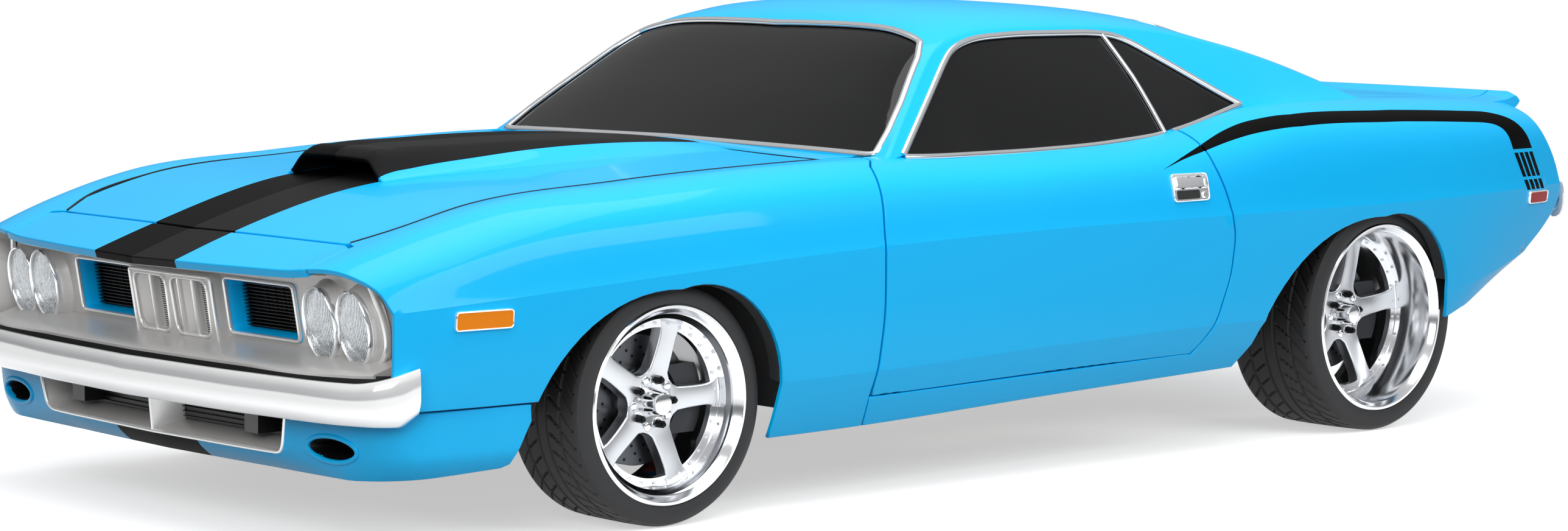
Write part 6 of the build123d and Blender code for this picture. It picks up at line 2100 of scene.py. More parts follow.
def tail(x, z):
    """The tail's surface over x and height."""
    x, z = np.broadcast_arrays(np.asarray(x, float), np.asarray(z, float))
    s = np.interp(z, TAIL_Z, TAIL_S) + BOW(np.clip(np.abs(x), 0, 0.8))[..., 0]
    return np.stack([x, AXLE_Y + s, z], -1)


def tail_half_width(z):
    """Where the tail panel meets the quarters, a little inside their skin."""
    s = np.interp(z, TAIL_Z, TAIL_S)
    return body(s, u_at_z(s, z))[..., 0] - 0.012


def tail_box(x0, x1, z0, z1, radius):
    """Closed (x, z) line of a rounded box."""
    return rounded([(x0, z0), (x1, z0), (x1, z1), (x0, z1)], radius, steps=5)


zs = np.linspace(0.486, 0.899, 22)
right_edge = np.stack([tail_half_width(zs), zs], 1)
outline = np.concatenate([right_edge, (right_edge * (-1, 1))[::-1]])
band_line = tail_box(-0.726, 0.726, 0.697, 0.832, 0.02)
tail_skin = panel(
    "tail_skin", tail, outline, [paint, stripe_black, under_black], marks=[band_line], step=(0.05, 0.02),
    scale=(1, 1), hem=0.002, depth=0.012,
)
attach(tail_skin, "body")
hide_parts("tail_panel")
line = refined(band_line, (0.03, 0.03))
surface_strip("tail_band_rim", tail, line, 0.008, 0.004, stainless, "body")
ruby = principled(
    "ruby_ribbed_lens", "#a8040f", 0.2, Transmission_Weight=0.1, Specular_IOR_Level=0.3, IOR=1.4,
)
ribbed(ruby, 30.0, 0.5, 0.002)
for side, sign in (("left", 1), ("right", -1)):
    for place_name, x0, x1 in (("inner", 0.302, 0.468), ("outer", 0.522, 0.688)):
        line = tail_box(*sorted((sign * x0, sign * x1)), 0.719, 0.808, 0.014)
        lens = panel(
            f"tail_lens_{place_name}_{side}", tail, line, [ruby, ruby], step=(0.03, 0.02), scale=(1, 1),
            lift=0.009, hem=0.004, depth=0.010,
        )
        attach(lens, "body")
        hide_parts("tail_lamps")
        surface_strip(
            f"tail_lens_rim_{place_name}_{side}", tail, refined(line, (0.02, 0.02)), 0.009, 0.011, chrome,
            "body",
        )

# The blank plate stands on its bracket under the bumper, held by two screws.
plate_white = principled("blank_white_plate", "#eceded", 0.35)
grain(plate_white, 0.002, 0.05, 0.0002)
PLATE_S = 3.668


def plate_face(x, z):
    """The upright plane that the plate stands in."""
    x, z = np.broadcast_arrays(np.asarray(x, float), np.asarray(z, float))
    return np.stack([x, AXLE_Y + PLATE_S + 0 * x, z], -1)


plate = panel(
    "blank_plate", plate_face, tail_box(-0.152, 0.152, 0.480, 0.572, 0.012), [plate_white, plate_white],
    step=(0.03, 0.03), scale=(1, 1), lift=0.003, hem=0.001, depth=0.003,
)
plate_parts = [plate]
line = refined(tail_box(-0.151, 0.151, 0.481, 0.571, 0.012), (0.02, 0.02))
plate_parts.append(
    strip(
        "plate_edge", plate_face(line[:, 0], line[:, 1]) + (0, 0.003, 0),
        np.tile((0.0, 1.0, 0.0), (len(line), 1)), 0.006, 0.003, chrome,
    )
)
bracket = []
for back in (-0.075, 0.002):
    bracket.append(
        [
            (-0.115, AXLE_Y + PLATE_S + back, 0.520), (0.115, AXLE_Y + PLATE_S + back, 0.520),
            (0.115, AXLE_Y + PLATE_S + back, 0.566), (-0.115, AXLE_Y + PLATE_S + back, 0.566),
        ]
    )
plate_parts.append(swept("bracket", bracket, [under_black]))
for x in (-0.0889, 0.0889):
    rings = []
    for out, r in ((0.002, 0.0075), (0.0055, 0.0075), (0.0075, 0.0055), (0.0080, 0.0005)):
        rings.append(
            [
                (x + r * math.cos(a), AXLE_Y + PLATE_S + 0.001 + out, 0.542 + r * math.sin(a))
                for a in full_turn(18)
            ]
        )
    plate_parts.append(swept("screw", rings, [chrome], 30))
put("plate_dressed", plate_parts, "body", ("tail_panel",))

# The rear bumper is a slim chrome blade that wraps round to the quarters.
REAR_PLAN = ((0, 3.730), (0.500, 3.722), (0.740, 3.704), (0.835, 3.682), (0.858, 3.655), (0.862, 3.640))
rear_plan = refined(rounded(REAR_PLAN, 0.03, closed=False, steps=6), (0.03, 0.03), closed=False)
rear_plan = np.concatenate([rear_plan[:0:-1] * (-1, 1), rear_plan])
way = np.gradient(rear_plan, axis=0)
way /= np.linalg.norm(way, axis=1, keepdims=True)
rings = []
for (x, s), (tx, ts) in zip(rear_plan, way):
    nx, ns = -ts, tx
    section = []
    for out, z in (
        (-0.032, 0.682), (-0.028, 0.688), (-0.014, 0.688), (-0.005, 0.684), (-0.001, 0.672), (0.002, 0.650),
        (0.002, 0.622), (-0.002, 0.600), (-0.008, 0.588), (-0.018, 0.581),
        (-0.030, 0.580), (-0.034, 0.586), (-0.022, 0.592), (-0.012, 0.606), (-0.008, 0.640), (-0.012, 0.670),
        (-0.022, 0.678),
    ):
        section.append((x + nx * out, AXLE_Y + s + ns * out, z))
    rings.append(section)
rear_parts = [swept("blade", rings, [bumper_chrome], 38)]
for sign in (-1, 1):
    arm = []
    for s in (3.612, 3.712):
        arm.append(
            [
                (sign * 0.300, AXLE_Y + s, 0.612), (sign * 0.345, AXLE_Y + s, 0.612),
                (sign * 0.345, AXLE_Y + s, 0.660), (sign * 0.300, AXLE_Y + s, 0.660),
            ]
        )
    rear_parts.append(swept("arm", arm, [under_black]))
put("rear_bumper_blade", rear_parts, "body", ("rear_bumper",))

# Door handles: a chrome plate with a lift flap, a lock, and a finger pocket drawn as
# a flat black sheet of painted shade.
pocket_painted_shade = principled("handle_pocket_black", "#121314", 0.5)
grain(pocket_painted_shade, 0.003, 0.1, 0.0002)


def handle_line(s0, s1, z0, z1, radius):
    """Closed (s, u) line of a rounded box on the door's side."""
    return side_line(rounded([(s0, z0), (s1, z0 + 0.001), (s1, z1), (s0, z1)], radius, steps=5))


for side, flip in (("left", False), ("right", True)):
    base = panel(
        "plate", body, handle_line(1.764, 1.906, 0.712, 0.786, 0.012), [chrome, chrome], step=(0.02, 0.02),
        lift=0.005, hem=0.002, depth=0.005, mirrored=flip,
    )
    flap = panel(
        "flap", body, handle_line(1.772, 1.898, 0.744, 0.778, 0.008), [chrome, chrome], step=(0.02, 0.02),
        lift=0.013, hem=0.004, depth=0.010, mirrored=flip,
    )
    # The finger pocket is a flat black sheet just over the plate: painted shade in the recess.
    pocket = panel(
        "pocket", body, handle_line(1.776, 1.868, 0.718, 0.742, 0.006), [pocket_painted_shade, pocket_painted_shade],
        step=(0.02, 0.02), lift=0.0056, hem=0.0005, depth=0.002, mirrored=flip,
    )
    thumb = panel(
        "thumb", body, handle_line(1.882, 1.893, 0.750, 0.770, 0.004), [chrome, chrome], step=(0.01, 0.01),
        lift=0.016, hem=0.002, depth=0.004, mirrored=flip,
    )
    lock_line = side_line([(1.886 + 0.009 * math.cos(a), 0.728 + 0.009 * math.sin(a)) for a in full_turn(20)])
    lock = panel(
        "lock", body, lock_line, [chrome, chrome], step=(0.01, 0.01), lift=0.009, hem=0.0015, depth=0.005,
        mirrored=flip,
    )
    rim_line = refined(handle_line(1.765, 1.905, 0.713, 0.785, 0.012), (0.01, 0.02))
    rim = surface_strip("rim", body, rim_line, 0.005, 0.008, chrome, f"door_{side}", mirrored=flip)
    put(f"door_handle_{side}", [base, flap, pocket, thumb, lock, rim], f"door_{side}")

# Exhaust tips: rolled, polished ends on both tail pipes.
for side, sign in (("left", 1), ("right", -1)):
    start, end = np.array((sign * 0.3630, AXLE_Y + 3.405, 0.379)), np.array(
        (sign * 0.3718, AXLE_Y + 3.515, 0.4182)
    )
    along = (end - start) / np.linalg.norm(end - start)
    one = np.cross(along, (1.0, 0, 0))
    one /= np.linalg.norm(one)
    other = np.cross(along, one)
    rings = []
    for t, r in (
        (0, 0.0278), (0.05, 0.0292), (0.92, 0.0300), (0.97, 0.0318), (1.0, 0.0318), (1.01, 0.0300),
        (0.99, 0.0272), (0.90, 0.0262), (0.5, 0.0260),
    ):
        rings.append(
            [
                tuple(start + (end - start) * t + (one * math.cos(a) + other * math.sin(a)) * r)
                for a in full_turn(40)
            ]
        )
    tip = swept(f"exhaust_tip_{side}", rings, [chrome], 40)
    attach(tip, "body")

# -------------------------------------------------------------------------- interior
# Black vinyl buckets and rear bench with sewn channels, seen through dark glass and
# past the open doors. Each pad is crowned and drawn in at its seams.
piping = principled("black_seam_piping", "#101011", 0.4)
grain(piping, 0.001, 0.2, 0.0002)

PAD_CROWN = 0.012
PAD_SEAM_IN = 0.010
PAD_STEPS = 44
PAD_AROUND = 72


def cushion(name, foot, head, x0, x1, thick, channels):
    """A crowned pad from one (s, z) point to another, with sewn channels along it."""
    foot, head = np.asarray(foot, float), np.asarray(head, float)
    length = np.linalg.norm(head - foot)
    way = (head - foot) / length
    out = np.array((-way[1], way[0]))
    half_x, mid_x = (x1 - x0) / 2, (x0 + x1) / 2
    rings = []
    for k in range(PAD_STEPS + 1):
        t = k / PAD_STEPS
        along = length * (0.5 - 0.5 * math.cos(math.pi * t))
        near = min(along, length - along)
        soft = math.sqrt(max(0.0, 1 - (1 - min(1.0, near / 0.045)) ** 2))
        ring = []
        for j in range(PAD_AROUND):
            a = 2 * math.pi * j / PAD_AROUND
            c, sn = math.cos(a), math.sin(a)
            across = math.copysign(abs(c) ** 0.45, c)
            depth = math.copysign(abs(sn) ** 0.55, sn)
            x = across * (half_x - PAD_SEAM_IN * (1 - abs(depth)) * 0.4 - 0.016 * (1 - soft))
            w = depth * thick / 2 * (0.62 + 0.38 * soft)
            if sn > 0:
                w += PAD_CROWN * (1 - across**2) * soft
                for c_x in channels:
                    gap = abs(across * half_x - c_x)
                    w -= 0.007 * math.exp(-((gap / 0.006) ** 2)) * soft
                    w += 0.003 * math.exp(-(((gap - 0.020) / 0.012) ** 2)) * soft
            ring.append(
                (mid_x + x, foot[0] + way[0] * along + out[0] * w, foot[1] + way[1] * along + out[1] * w)
            )
        rings.append([(x, AXLE_Y + s, z) for x, s, z in ring])
    return swept(name, rings, [vinyl], 70)


def welt(name, foot, head, x0, x1, w_at):
    """Seam piping that runs round the edge of a pad's face."""
    foot, head = np.asarray(foot, float), np.asarray(head, float)
    length = np.linalg.norm(head - foot)
    way = (head - foot) / length
    out = np.array((-way[1], way[0]))
    corners = rounded(
        [
            (x0 + 0.014, 0.012), (x1 - 0.014, 0.012), (x1 - 0.014, length - 0.012),
            (x0 + 0.014, length - 0.012),
        ],
        0.05, steps=6,
    )
    corners = refined(corners, (0.02, 0.02))
    points = [
        (x, AXLE_Y + foot[0] + way[0] * v + out[0] * w_at, foot[1] + way[1] * v + out[1] * w_at)
        for x, v in corners
    ]
    rings = []
    for p in points:
        c = np.asarray(p)
        mid = np.array(
            (
                (x0 + x1) / 2, AXLE_Y + (foot[0] + head[0]) / 2 + out[0] * w_at,
                (foot[1] + head[1]) / 2 + out[1] * w_at,
            )
        )
        side = c - mid
        side /= np.linalg.norm(side)
        up_way = np.array((0, out[0], out[1]))
        rings.append(
            [tuple(c + side * 0.0035 * math.cos(a) + up_way * 0.0035 * math.sin(a)) for a in full_turn(8)]
        )
    rings.append(rings[0])
    return swept(name, rings, [piping], 60, caps=False)


def pad(name, body_name, node_name, foot, head, x0, x1, thick, channels):
    """A cushion with its welt, in place of a CAD node."""
    made = cushion(name, foot, head, x0, x1, thick, channels)
    seam = welt(f"{name}_piping", foot, head, x0, x1, thick * 0.36)
    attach(made, body_name)
    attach(seam, body_name)
    for thing in (made, seam):
        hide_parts(node_name)


CHANNELS = (-0.13, -0.078, -0.026, 0.026, 0.078, 0.13)
for side, x0, x1 in (("left", 0.188, 0.652), ("right", -0.652, -0.188)):
    pad(
        f"front_cushion_{side}", "body", "front_seats", (1.285, 0.318), (1.745, 0.305), x0, x1, 0.118,
        CHANNELS,
    )
    pad(
        f"front_backrest_{side}", "body", "front_seats", (1.765, 0.345), (1.915, 0.805), x0 + 0.004,
        x1 - 0.004, 0.112, CHANNELS,
    )
    frame_rings = []
    for z, inset in ((0.2395, 0.03), (0.262, 0.02), (0.270, 0.03)):
        frame_rings.append(
            [
                (x0 + inset, AXLE_Y + 1.305, z), (x1 - inset, AXLE_Y + 1.305, z),
                (x1 - inset, AXLE_Y + 1.760, z), (x0 + inset, AXLE_Y + 1.760, z),
            ]
        )
    base = swept(f"front_seat_base_{side}", frame_rings, [under_black])
    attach(base, "body")
    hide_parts("front_seats")
REAR_CHANNELS = (-0.10, -0.034, 0.034, 0.10)
for side, x0, x1 in (("left", 0.160, 0.534), ("right", -0.534, -0.160)):
    pad(
        f"rear_cushion_{side}", "body", "rear_seat", (1.995, 0.330), (2.190, 0.318), x0, x1, 0.120,
        REAR_CHANNELS,
    )
for name, x0, x1 in (("left", 0.155, 0.534), ("middle", -0.153, 0.153), ("right", -0.534, -0.155)):
    pad(
        f"rear_backrest_{name}", "body", "rear_seat", (2.232, 0.492 if name == "middle" else 0.425),
        (2.352, 0.838), x0, x1, 0.085, REAR_CHANNELS if name != "middle" else (),
    )

# Steering wheel: a stitched leather rim on three drilled alloy spokes and a hub pad.
# The spokes' holes are thin black discs of painted shade.
leather = principled("black_rim_leather", "#18181a", 0.5)
mottle(leather, 0.03, "#161618", "#202023")
grain(leather, 0.0016, 0.3, 0.0003, detail=4.0)
TILT = math.radians(17.5)
STEER_AT = np.array((0.370, AXLE_Y + 1.120, 0.763))
e_x = np.array((1.0, 0, 0))
e_n = np.array((0, math.cos(TILT), math.sin(TILT)))
e_y = np.cross(e_n, e_x)


def steer_point(a, radius, out):
    """A point round the steering column, out towards the driver."""
    return tuple(STEER_AT + (e_x * math.cos(a) + e_y * math.sin(a)) * radius + e_n * out)


rings = []
for k in range(96):
    a = 2 * math.pi * k / 96
    grip = 0.0130 + 0.0008 * math.cos(28 * a)
    rings.append([steer_point(a, 0.186 + grip * math.cos(b), grip * math.sin(b)) for b in full_turn(20)])
rings.append(rings[0])
steer_parts = [swept("rim", rings, [leather], 60, caps=False)]
for angle in (0.0, math.pi, math.pi / 2):
    rings = []
    for r, half in ((0.034, 0.018), (0.060, 0.015), (0.110, 0.012), (0.150, 0.012), (0.177, 0.017)):
        turn = half / r
        lift = -0.012 + 0.012 * (r - 0.034) / 0.143
        rings.append(
            [
                steer_point(angle - turn, r, lift), steer_point(angle + turn, r, lift),
                steer_point(angle + turn, r, lift + 0.004), steer_point(angle - turn, r, lift + 0.004),
            ]
        )
    steer_parts.append(swept("spoke", rings, [alloy_face]))
    # Each drilled hole is a thin black disc on the spoke: painted shade.
    for r in (0.075, 0.103, 0.131):
        lift = -0.012 + 0.012 * (r - 0.034) / 0.143 + 0.0042
        centre = np.array(steer_point(angle, r, lift))
        rings = []
        for out, radius in ((0.0, 0.0062), (0.0006, 0.0060), (0.0008, 0.0005)):
            rings.append(
                [
                    tuple(centre + (e_x * math.cos(b) + e_y * math.sin(b)) * radius + e_n * out)
                    for b in full_turn(14)
                ]
            )
        steer_parts.append(swept("hole", rings, [black_oxide_and_hole_shade]))
rings = []
for out, r in (
    (-0.014, 0.030), (-0.012, 0.040), (-0.002, 0.040), (0.006, 0.034), (0.010, 0.022), (0.011, 0.001),
):
    rings.append([steer_point(b, r, out) for b in full_turn(40)])
steer_parts.append(swept("hub", rings, [leather], 50))
put("steering_wheel_dressed", steer_parts, "steering_wheel", ("steering_wheel",))

# Dash: on the frame's own dash, an instrument plate with five dials ahead of the driver,
# a radio plate without writing, and a glove box door.
dial_face = principled("dial_face_black", "#0d0e10", 0.3)
grain(dial_face, 0.002, 0.05, 0.0001)
dial_mark = principled("dial_marks_white", "#e8e8e2", 0.5)
grain(dial_mark, 0.001, 0.05, 0.0001)
brushed = principled("brushed_instrument_plate", "#8f9296", 0.36, 1.0)
grain(brushed, 0.004, 0.2, 0.0002, stretch=(0.15, 6, 6))


def dash_face(x, z):
    """The dash's rear face, which leans back towards its foot."""
    x, z = np.broadcast_arrays(np.asarray(x, float), np.asarray(z, float))
    s = np.where(z > 0.700, 0.985 - 0.025 * (z - 0.700) / 0.095, 0.985 - 0.055 * (0.700 - z) / 0.090)
    return np.stack([x, AXLE_Y + s, z], -1)


def dial_ring(centre, normal, up_way, radius, out):
    """A ring of points round a dial's middle, out from the dash."""
    return [
        tuple(centre + normal * out + (e_x * math.cos(b) + up_way * math.sin(b)) * radius)
        for b in full_turn(36)
    ]


dash_parts = []
for name, x0, x1, z0, z1, material in (
    ("instrument_plate", 0.160, 0.600, 0.702, 0.786, brushed),
    ("radio_plate", -0.085, 0.085, 0.640, 0.760, brushed),
    ("glove_door", -0.560, -0.180, 0.635, 0.745, vinyl),
):
    dash_parts.append(
        panel(
            name, dash_face, tail_box(x0, x1, z0, z1, 0.010), [material, material], step=(0.03, 0.02),
            scale=(1, 1), lift=0.005, hem=0.002, depth=0.006,
        )
    )
for x, r in ((0.222, 0.026), (0.300, 0.036), (0.385, 0.036), (0.463, 0.026), (0.528, 0.026)):
    centre = dash_face(x, 0.744)
    normal = surface_normal(dash_face, np.array([x]), np.array([0.744]))[0]
    up_way = np.cross(normal, (1.0, 0, 0))
    bezel = (
        (r + 0.004, 0.004), (r + 0.004, 0.012), (r + 0.001, 0.014), (r - 0.001, 0.010), (r - 0.001, 0.004),
    )
    dash_parts.append(
        swept("bezel", [dial_ring(centre, normal, up_way, *ring) for ring in bezel], [chrome], 40)
    )
    dial = ((r, 0.0055), (r, 0.0080))
    dash_parts.append(
        swept("dial", [dial_ring(centre, normal, up_way, *ring) for ring in dial], [dial_face], 40)
    )
    for k in range(11):
        b = math.radians(-40 + 26 * k)
        a, c = (
            centre + normal * 0.0083 + (e_x * math.cos(b) + up_way * math.sin(b)) * r * reach
            for reach in (0.78, 0.93)
        )
        side = np.cross(normal, c - a)
        side *= 0.0007 / np.linalg.norm(side)
        thick = normal * 0.0003
        rings = [
            [tuple(p - side), tuple(p + side), tuple(p + side + thick), tuple(p - side + thick)]
            for p in (a, c)
        ]
        dash_parts.append(swept("mark", rings, [dial_mark]))
for x in (-0.055, 0.055):
    centre = dash_face(x, 0.665)
    rings = []
    for out, r in ((0.004, 0.011), (0.020, 0.010), (0.022, 0.008), (0.022, 0.0005)):
        rings.append(
            [
                (centre[0] + r * math.cos(b), centre[1] + out, centre[2] + r * math.sin(b))
                for b in full_turn(24)
            ]
        )
    dash_parts.append(swept("knob", rings, [chrome]))
put("dash_instruments", dash_parts, "body")

# Door cards: grained vinyl with an armrest and a window crank.
for side, sign in (("left", 1), ("right", -1)):
    parts = []
    rings = []
    for s in np.linspace(1.02, 1.62, 25):
        t = (s - 1.02) / 0.60
        soft = math.sqrt(max(0.02, 1 - abs(2 * t - 1) ** 6))
        inner = float(body(s, u_at_z(s, 0.600))[0]) - 0.047
        ring = []
        for b in full_turn(24):
            out = 0.050 * soft * max(0.0, math.cos(b)) ** 0.6
            ring.append((sign * (inner - out), AXLE_Y + s, 0.600 + 0.030 * soft * math.sin(b)))
        rings.append(ring)
    parts.append(swept("armrest", rings, [vinyl], 60))
    for s, z, reach, size in ((1.190, 0.530, 0.020, 0.016), (1.255, 0.545, 0.030, 0.011)):
        inner = float(body(s, u_at_z(s, z))[0]) - 0.048
        rings = []
        for out, r in (
            (0.0, size), (reach, size * 0.9), (reach + 0.002, size * 0.6), (reach + 0.002, 0.0005),
        ):
            rings.append(
                [
                    (sign * (inner - out), AXLE_Y + s + r * math.cos(b), z + r * math.sin(b))
                    for b in full_turn(24)
                ]
            )
        parts.append(swept("crank_end", rings, [chrome]))
    arm = []
    for s, z in ((1.185, 0.530), (1.260, 0.546)):
        inner = float(body(s, u_at_z(s, z))[0]) - 0.048 - 0.019
        arm.append(
            [
                (sign * inner, AXLE_Y + s, z - 0.006), (sign * inner, AXLE_Y + s, z + 0.006),
                (sign * (inner - 0.004), AXLE_Y + s, z + 0.005),
                (sign * (inner - 0.004), AXLE_Y + s, z - 0.005),
            ]
        )
    parts.append(swept("crank_arm", arm, [chrome]))
    put(f"door_card_{side}", parts, f"door_{side}")

# ------------------------------------------------------------- chassis and engine bay
# What carries the car keeps its plain form from the frame; each part gets the surface
# it really has: undersealed floor, painted frame, cast axle, bare pipes and so on.
underseal = principled("stone_chip_underseal", "#17181a", 0.86)
mottle(underseal, 0.25, "#141517", "#202124")
grain(underseal, 0.004, 0.7, 0.0012, detail=5.0)
frame_paint = principled("gloss_black_frame_paint", "#131416", 0.34, Coat_Weight=0.2)
mottle(frame_paint, 0.3, "#111214", "#1a1b1d")
grain(frame_paint, 0.02, 0.08, 0.0006)
cast_iron = principled("painted_cast_iron", "#26282b", 0.55, 0.5)
mottle(cast_iron, 0.06, "#232528", "#303236")
grain(cast_iron, 0.003, 0.5, 0.0006, detail=4.0)
engine_orange = principled("orange_engine_enamel", "#d9480f", 0.42)
mottle(engine_orange, 0.1, "#d2440d", "#e0500f")
grain(engine_orange, 0.003, 0.4, 0.0006, detail=4.0)
pipe_steel = principled("aluminised_pipe_steel", "#8d8a84", 0.42, 1.0)
mottle(pipe_steel, 0.12, "#8d8a84", "#7b7368")
grain(pipe_steel, 0.01, 0.2, 0.0006)
spring_steel = principled("forged_spring_steel", "#2c2d2f", 0.5, 0.7)
mottle(spring_steel, 0.05, "#292a2c", "#3a3835")
grain(spring_steel, 0.004, 0.3, 0.0004)
tank_steel = principled("galvanised_tank_steel", "#5f6265", 0.5, 0.8)
mottle(tank_steel, 0.05, "#595c5f", "#6a6d70")
grain(tank_steel, 0.01, 0.15, 0.0006)
core_black = principled("radiator_core_black", "#0f1011", 0.5, 0.4)
ribbed(core_black, 130.0, 0.9, 0.003, "Z")
carpet = principled("black_loop_carpet", "#151517", 0.95, Sheen_Weight=0.3)
mottle(carpet, 0.01, "#121214", "#202023")
grain(carpet, 0.003, 0.9, 0.002, detail=5.0)
DRESS = {
    "front_frame": frame_paint,
    "firewall_cowl": under_black,
    "floor_pan": underseal,
    "wheel_houses": underseal,
    "radiator": core_black,
    "front_suspension": cast_iron,
    "knuckle_left": caliper_grey,
    "knuckle_right": caliper_grey,
    "rear_axle": cast_iron,
    "rear_springs": spring_steel,
    "exhaust": pipe_steel,
    "fuel_tank": tank_steel,
    "parcel_shelf": carpet,
    "dashboard": vinyl,
}
for name, material in DRESS.items():
    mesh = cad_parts[name].data
    mesh.materials.clear()
    mesh.materials.append(material)

# Arch lips: the dark liner's rolled edge shows behind each wheel opening.
for side, flip in (("left", False), ("right", True)):
    for end, arch in (("front", FRONT_ARCH), ("rear", REAR_ARCH)):
        line = side_line(arch_line(arch))
        at = body(line[:, 0], line[:, 1])
        n = surface_normal(body, line[:, 0], line[:, 1])
        middle = at.mean(0)
        rings = []
        for p, m in zip(at, n):
            to_middle = middle - p
            to_middle[0] = 0
            to_middle /= max(np.linalg.norm(to_middle), 1e-6)
            rings.append(
                [
                    tuple(p - m * 0.011), tuple(p - m * 0.011 + to_middle * 0.005),
                    tuple(p - m * 0.045 + to_middle * 0.004), tuple(p - m * 0.045 - to_middle * 0.003),
                ]
            )
        if flip:
            rings = [[(-x, y, z) for x, y, z in ring] for ring in rings]
        lip = swept(f"arch_lip_{end}_{side}", rings, [underseal], 40)
        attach(lip, "body")

# The engine, a V8 in orange enamel: ribbed black valve covers, steel headers, an open
# air cleaner, belts and a fan, with a capped radiator tank ahead.
FAN_Z = 0.515
FAN_BLADES = 6
CRANK = (0.0, 0.365, 0.074)  # x, z and radius of each pulley
WATER_PUMP = (0.0, FAN_Z, 0.062)
ALTERNATOR_AT = (0.152, 0.585, 0.034)
STEERING_PUMP = (-0.150, 0.470, 0.050)
cover_black = principled("wrinkle_black_valve_cover", "#1a1a1b", 0.6)
grain(cover_black, 0.0015, 0.8, 0.0005, detail=4.0)
filter_paper = principled("pleated_filter_paper", "#d8c9a0", 0.8)
ribbed(filter_paper, 90.0, 0.8, 0.002)
hose_rubber = principled("hose_rubber", "#161617", 0.66)
grain(hose_rubber, 0.004, 0.2, 0.0004)


def turned_about(name, axis, centre, profile, material, count=48):
    """A turned part about the y (1) or z (2) axis; profile gives way and radius."""
    rings = []
    for way, r in profile:
        ring = []
        for a in full_turn(count):
            across, along = r * math.cos(a), r * math.sin(a)
            if axis == 2:
                ring.append((centre[0] + across, AXLE_Y + centre[1] + along, way))
            else:
                ring.append((centre[0] + across, AXLE_Y + way, centre[1] + along))
        rings.append(ring)
    return swept(name, rings, [material], 40)


def along_s(name, section, stations, material):
    """A bar of one (x, z) section between stations."""
    return swept(name, [[(x, AXLE_Y + s, z) for x, z in section] for s in stations], [material], 35)


V_BLOCK = [
    (-0.085, 0.318), (0.085, 0.318), (0.120, 0.345), (0.128, 0.400), (0.196, 0.468), (0.232, 0.520),
    (0.236, 0.572),
    (0.132, 0.664), (0.090, 0.630), (0.060, 0.585), (-0.060, 0.585), (-0.090, 0.630), (-0.132, 0.664),
    (-0.236, 0.572), (-0.232, 0.520), (-0.196, 0.468), (-0.128, 0.400), (-0.120, 0.345),
]
engine_parts = [along_s("block", V_BLOCK, (-0.292, -0.286, 0.286, 0.292), engine_orange)]
PAN = rounded([(-0.095, 0.264), (0.095, 0.264), (0.118, 0.330), (-0.118, 0.330)], 0.02, steps=4)
engine_parts.append(along_s("pan", PAN, (-0.270, 0.270), engine_orange))
for sign in (-1, 1):
    up_way, out_way = np.array((0.66, 0.75)), np.array((0.75, -0.66))
    rings = []
    for s in np.linspace(-0.262, 0.262, 90):
        end = min(1.0, (0.262 - abs(s)) / 0.018)
        soft = math.sqrt(max(0.0, 1 - (1 - end) ** 2))
        rib = 0.0018 * math.cos(2 * math.pi * s / 0.030)
        ring = []
        for across, up in (
            (-0.058, -0.012), (-0.058, 0.006), (-0.050, 0.018), (-0.036, 0.026), (0.036, 0.026),
            (0.050, 0.018), (0.058, 0.006), (0.058, -0.012),
        ):
            lift = up * (0.35 + 0.65 * soft) + (rib * soft if up > 0.02 else 0)
            point = np.array((0.184, 0.618)) + out_way * across * (0.94 + 0.06 * soft) + up_way * lift
            ring.append((sign * point[0], AXLE_Y + s, point[1]))
        rings.append(ring)
    engine_parts.append(swept("valve_cover", rings, [cover_black], 50))
    for s in (-0.215, -0.075, 0.065, 0.205):
        path = ((0.222, 0.505), (0.246, 0.500), (0.262, 0.480), (0.264, 0.440), (0.246, 0.395))
        rings = []
        for k, (x, z) in enumerate(path):
            a, b = np.array(path[max(k - 1, 0)]), np.array(path[min(k + 1, 4)])
            way = (b - a) / np.linalg.norm(b - a)
            side = np.array((-way[1], way[0]))
            rings.append(
                [
                    (
                        sign * (x + side[0] * 0.0165 * math.cos(c)), AXLE_Y + s + 0.0165 * math.sin(c),
                        z + side[1] * 0.0165 * math.cos(c),
                    )
                    for c in full_turn(20)
                ]
            )
        engine_parts.append(swept("header_pipe", rings, [pipe_steel], 50))
        plug = []
        for out, r in ((0.0, 0.010), (0.022, 0.009), (0.030, 0.006), (0.034, 0.0005)):
            plug.append(
                [
                    (
                        sign * (0.226 + out), AXLE_Y + s + 0.045 + r * math.cos(c),
                        0.556 + 0.5 * out + r * math.sin(c),
                    )
                    for c in full_turn(14)
                ]
            )
        engine_parts.append(swept("plug_boot", plug, [hose_rubber], 50))
    collector = []
    for s, r in ((-0.235, 0.018), (-0.22, 0.026), (0.22, 0.028), (0.330, 0.024)):
        collector.append(
            [(sign * (0.238 + r * math.cos(c)), AXLE_Y + s, 0.390 + r * math.sin(c)) for c in full_turn(24)]
        )
    engine_parts.append(swept("collector", collector, [pipe_steel], 50))
    MOUNT = [(sign * 0.115, 0.350), (sign * 0.250, 0.330), (sign * 0.250, 0.352), (sign * 0.125, 0.385)]
    engine_parts.append(along_s("mount", MOUNT, (-0.045, 0.045), frame_paint))
MANIFOLD = rounded(
    [(-0.080, 0.580), (0.080, 0.580), (0.098, 0.618), (0.050, 0.640), (-0.050, 0.640), (-0.098, 0.618)], 0.01,
    steps=3,
)
engine_parts.append(along_s("manifold", MANIFOLD, (-0.230, 0.230), alloy_face))
middle = (0.0, 0.0)
engine_parts.append(
    turned_about(
        "carburettor", 2, middle, [(0.636, 0.062), (0.644, 0.062), (0.646, 0.052), (0.656, 0.052)], alloy_lip,
    )
)
engine_parts.append(
    turned_about(
        "cleaner_pan", 2, middle, [(0.646, 0.080), (0.650, 0.128), (0.655, 0.132), (0.657, 0.118)], chrome,
        64,
    )
)
engine_parts.append(
    turned_about("cleaner_filter", 2, middle, [(0.654, 0.119), (0.682, 0.119)], filter_paper, 64)
)
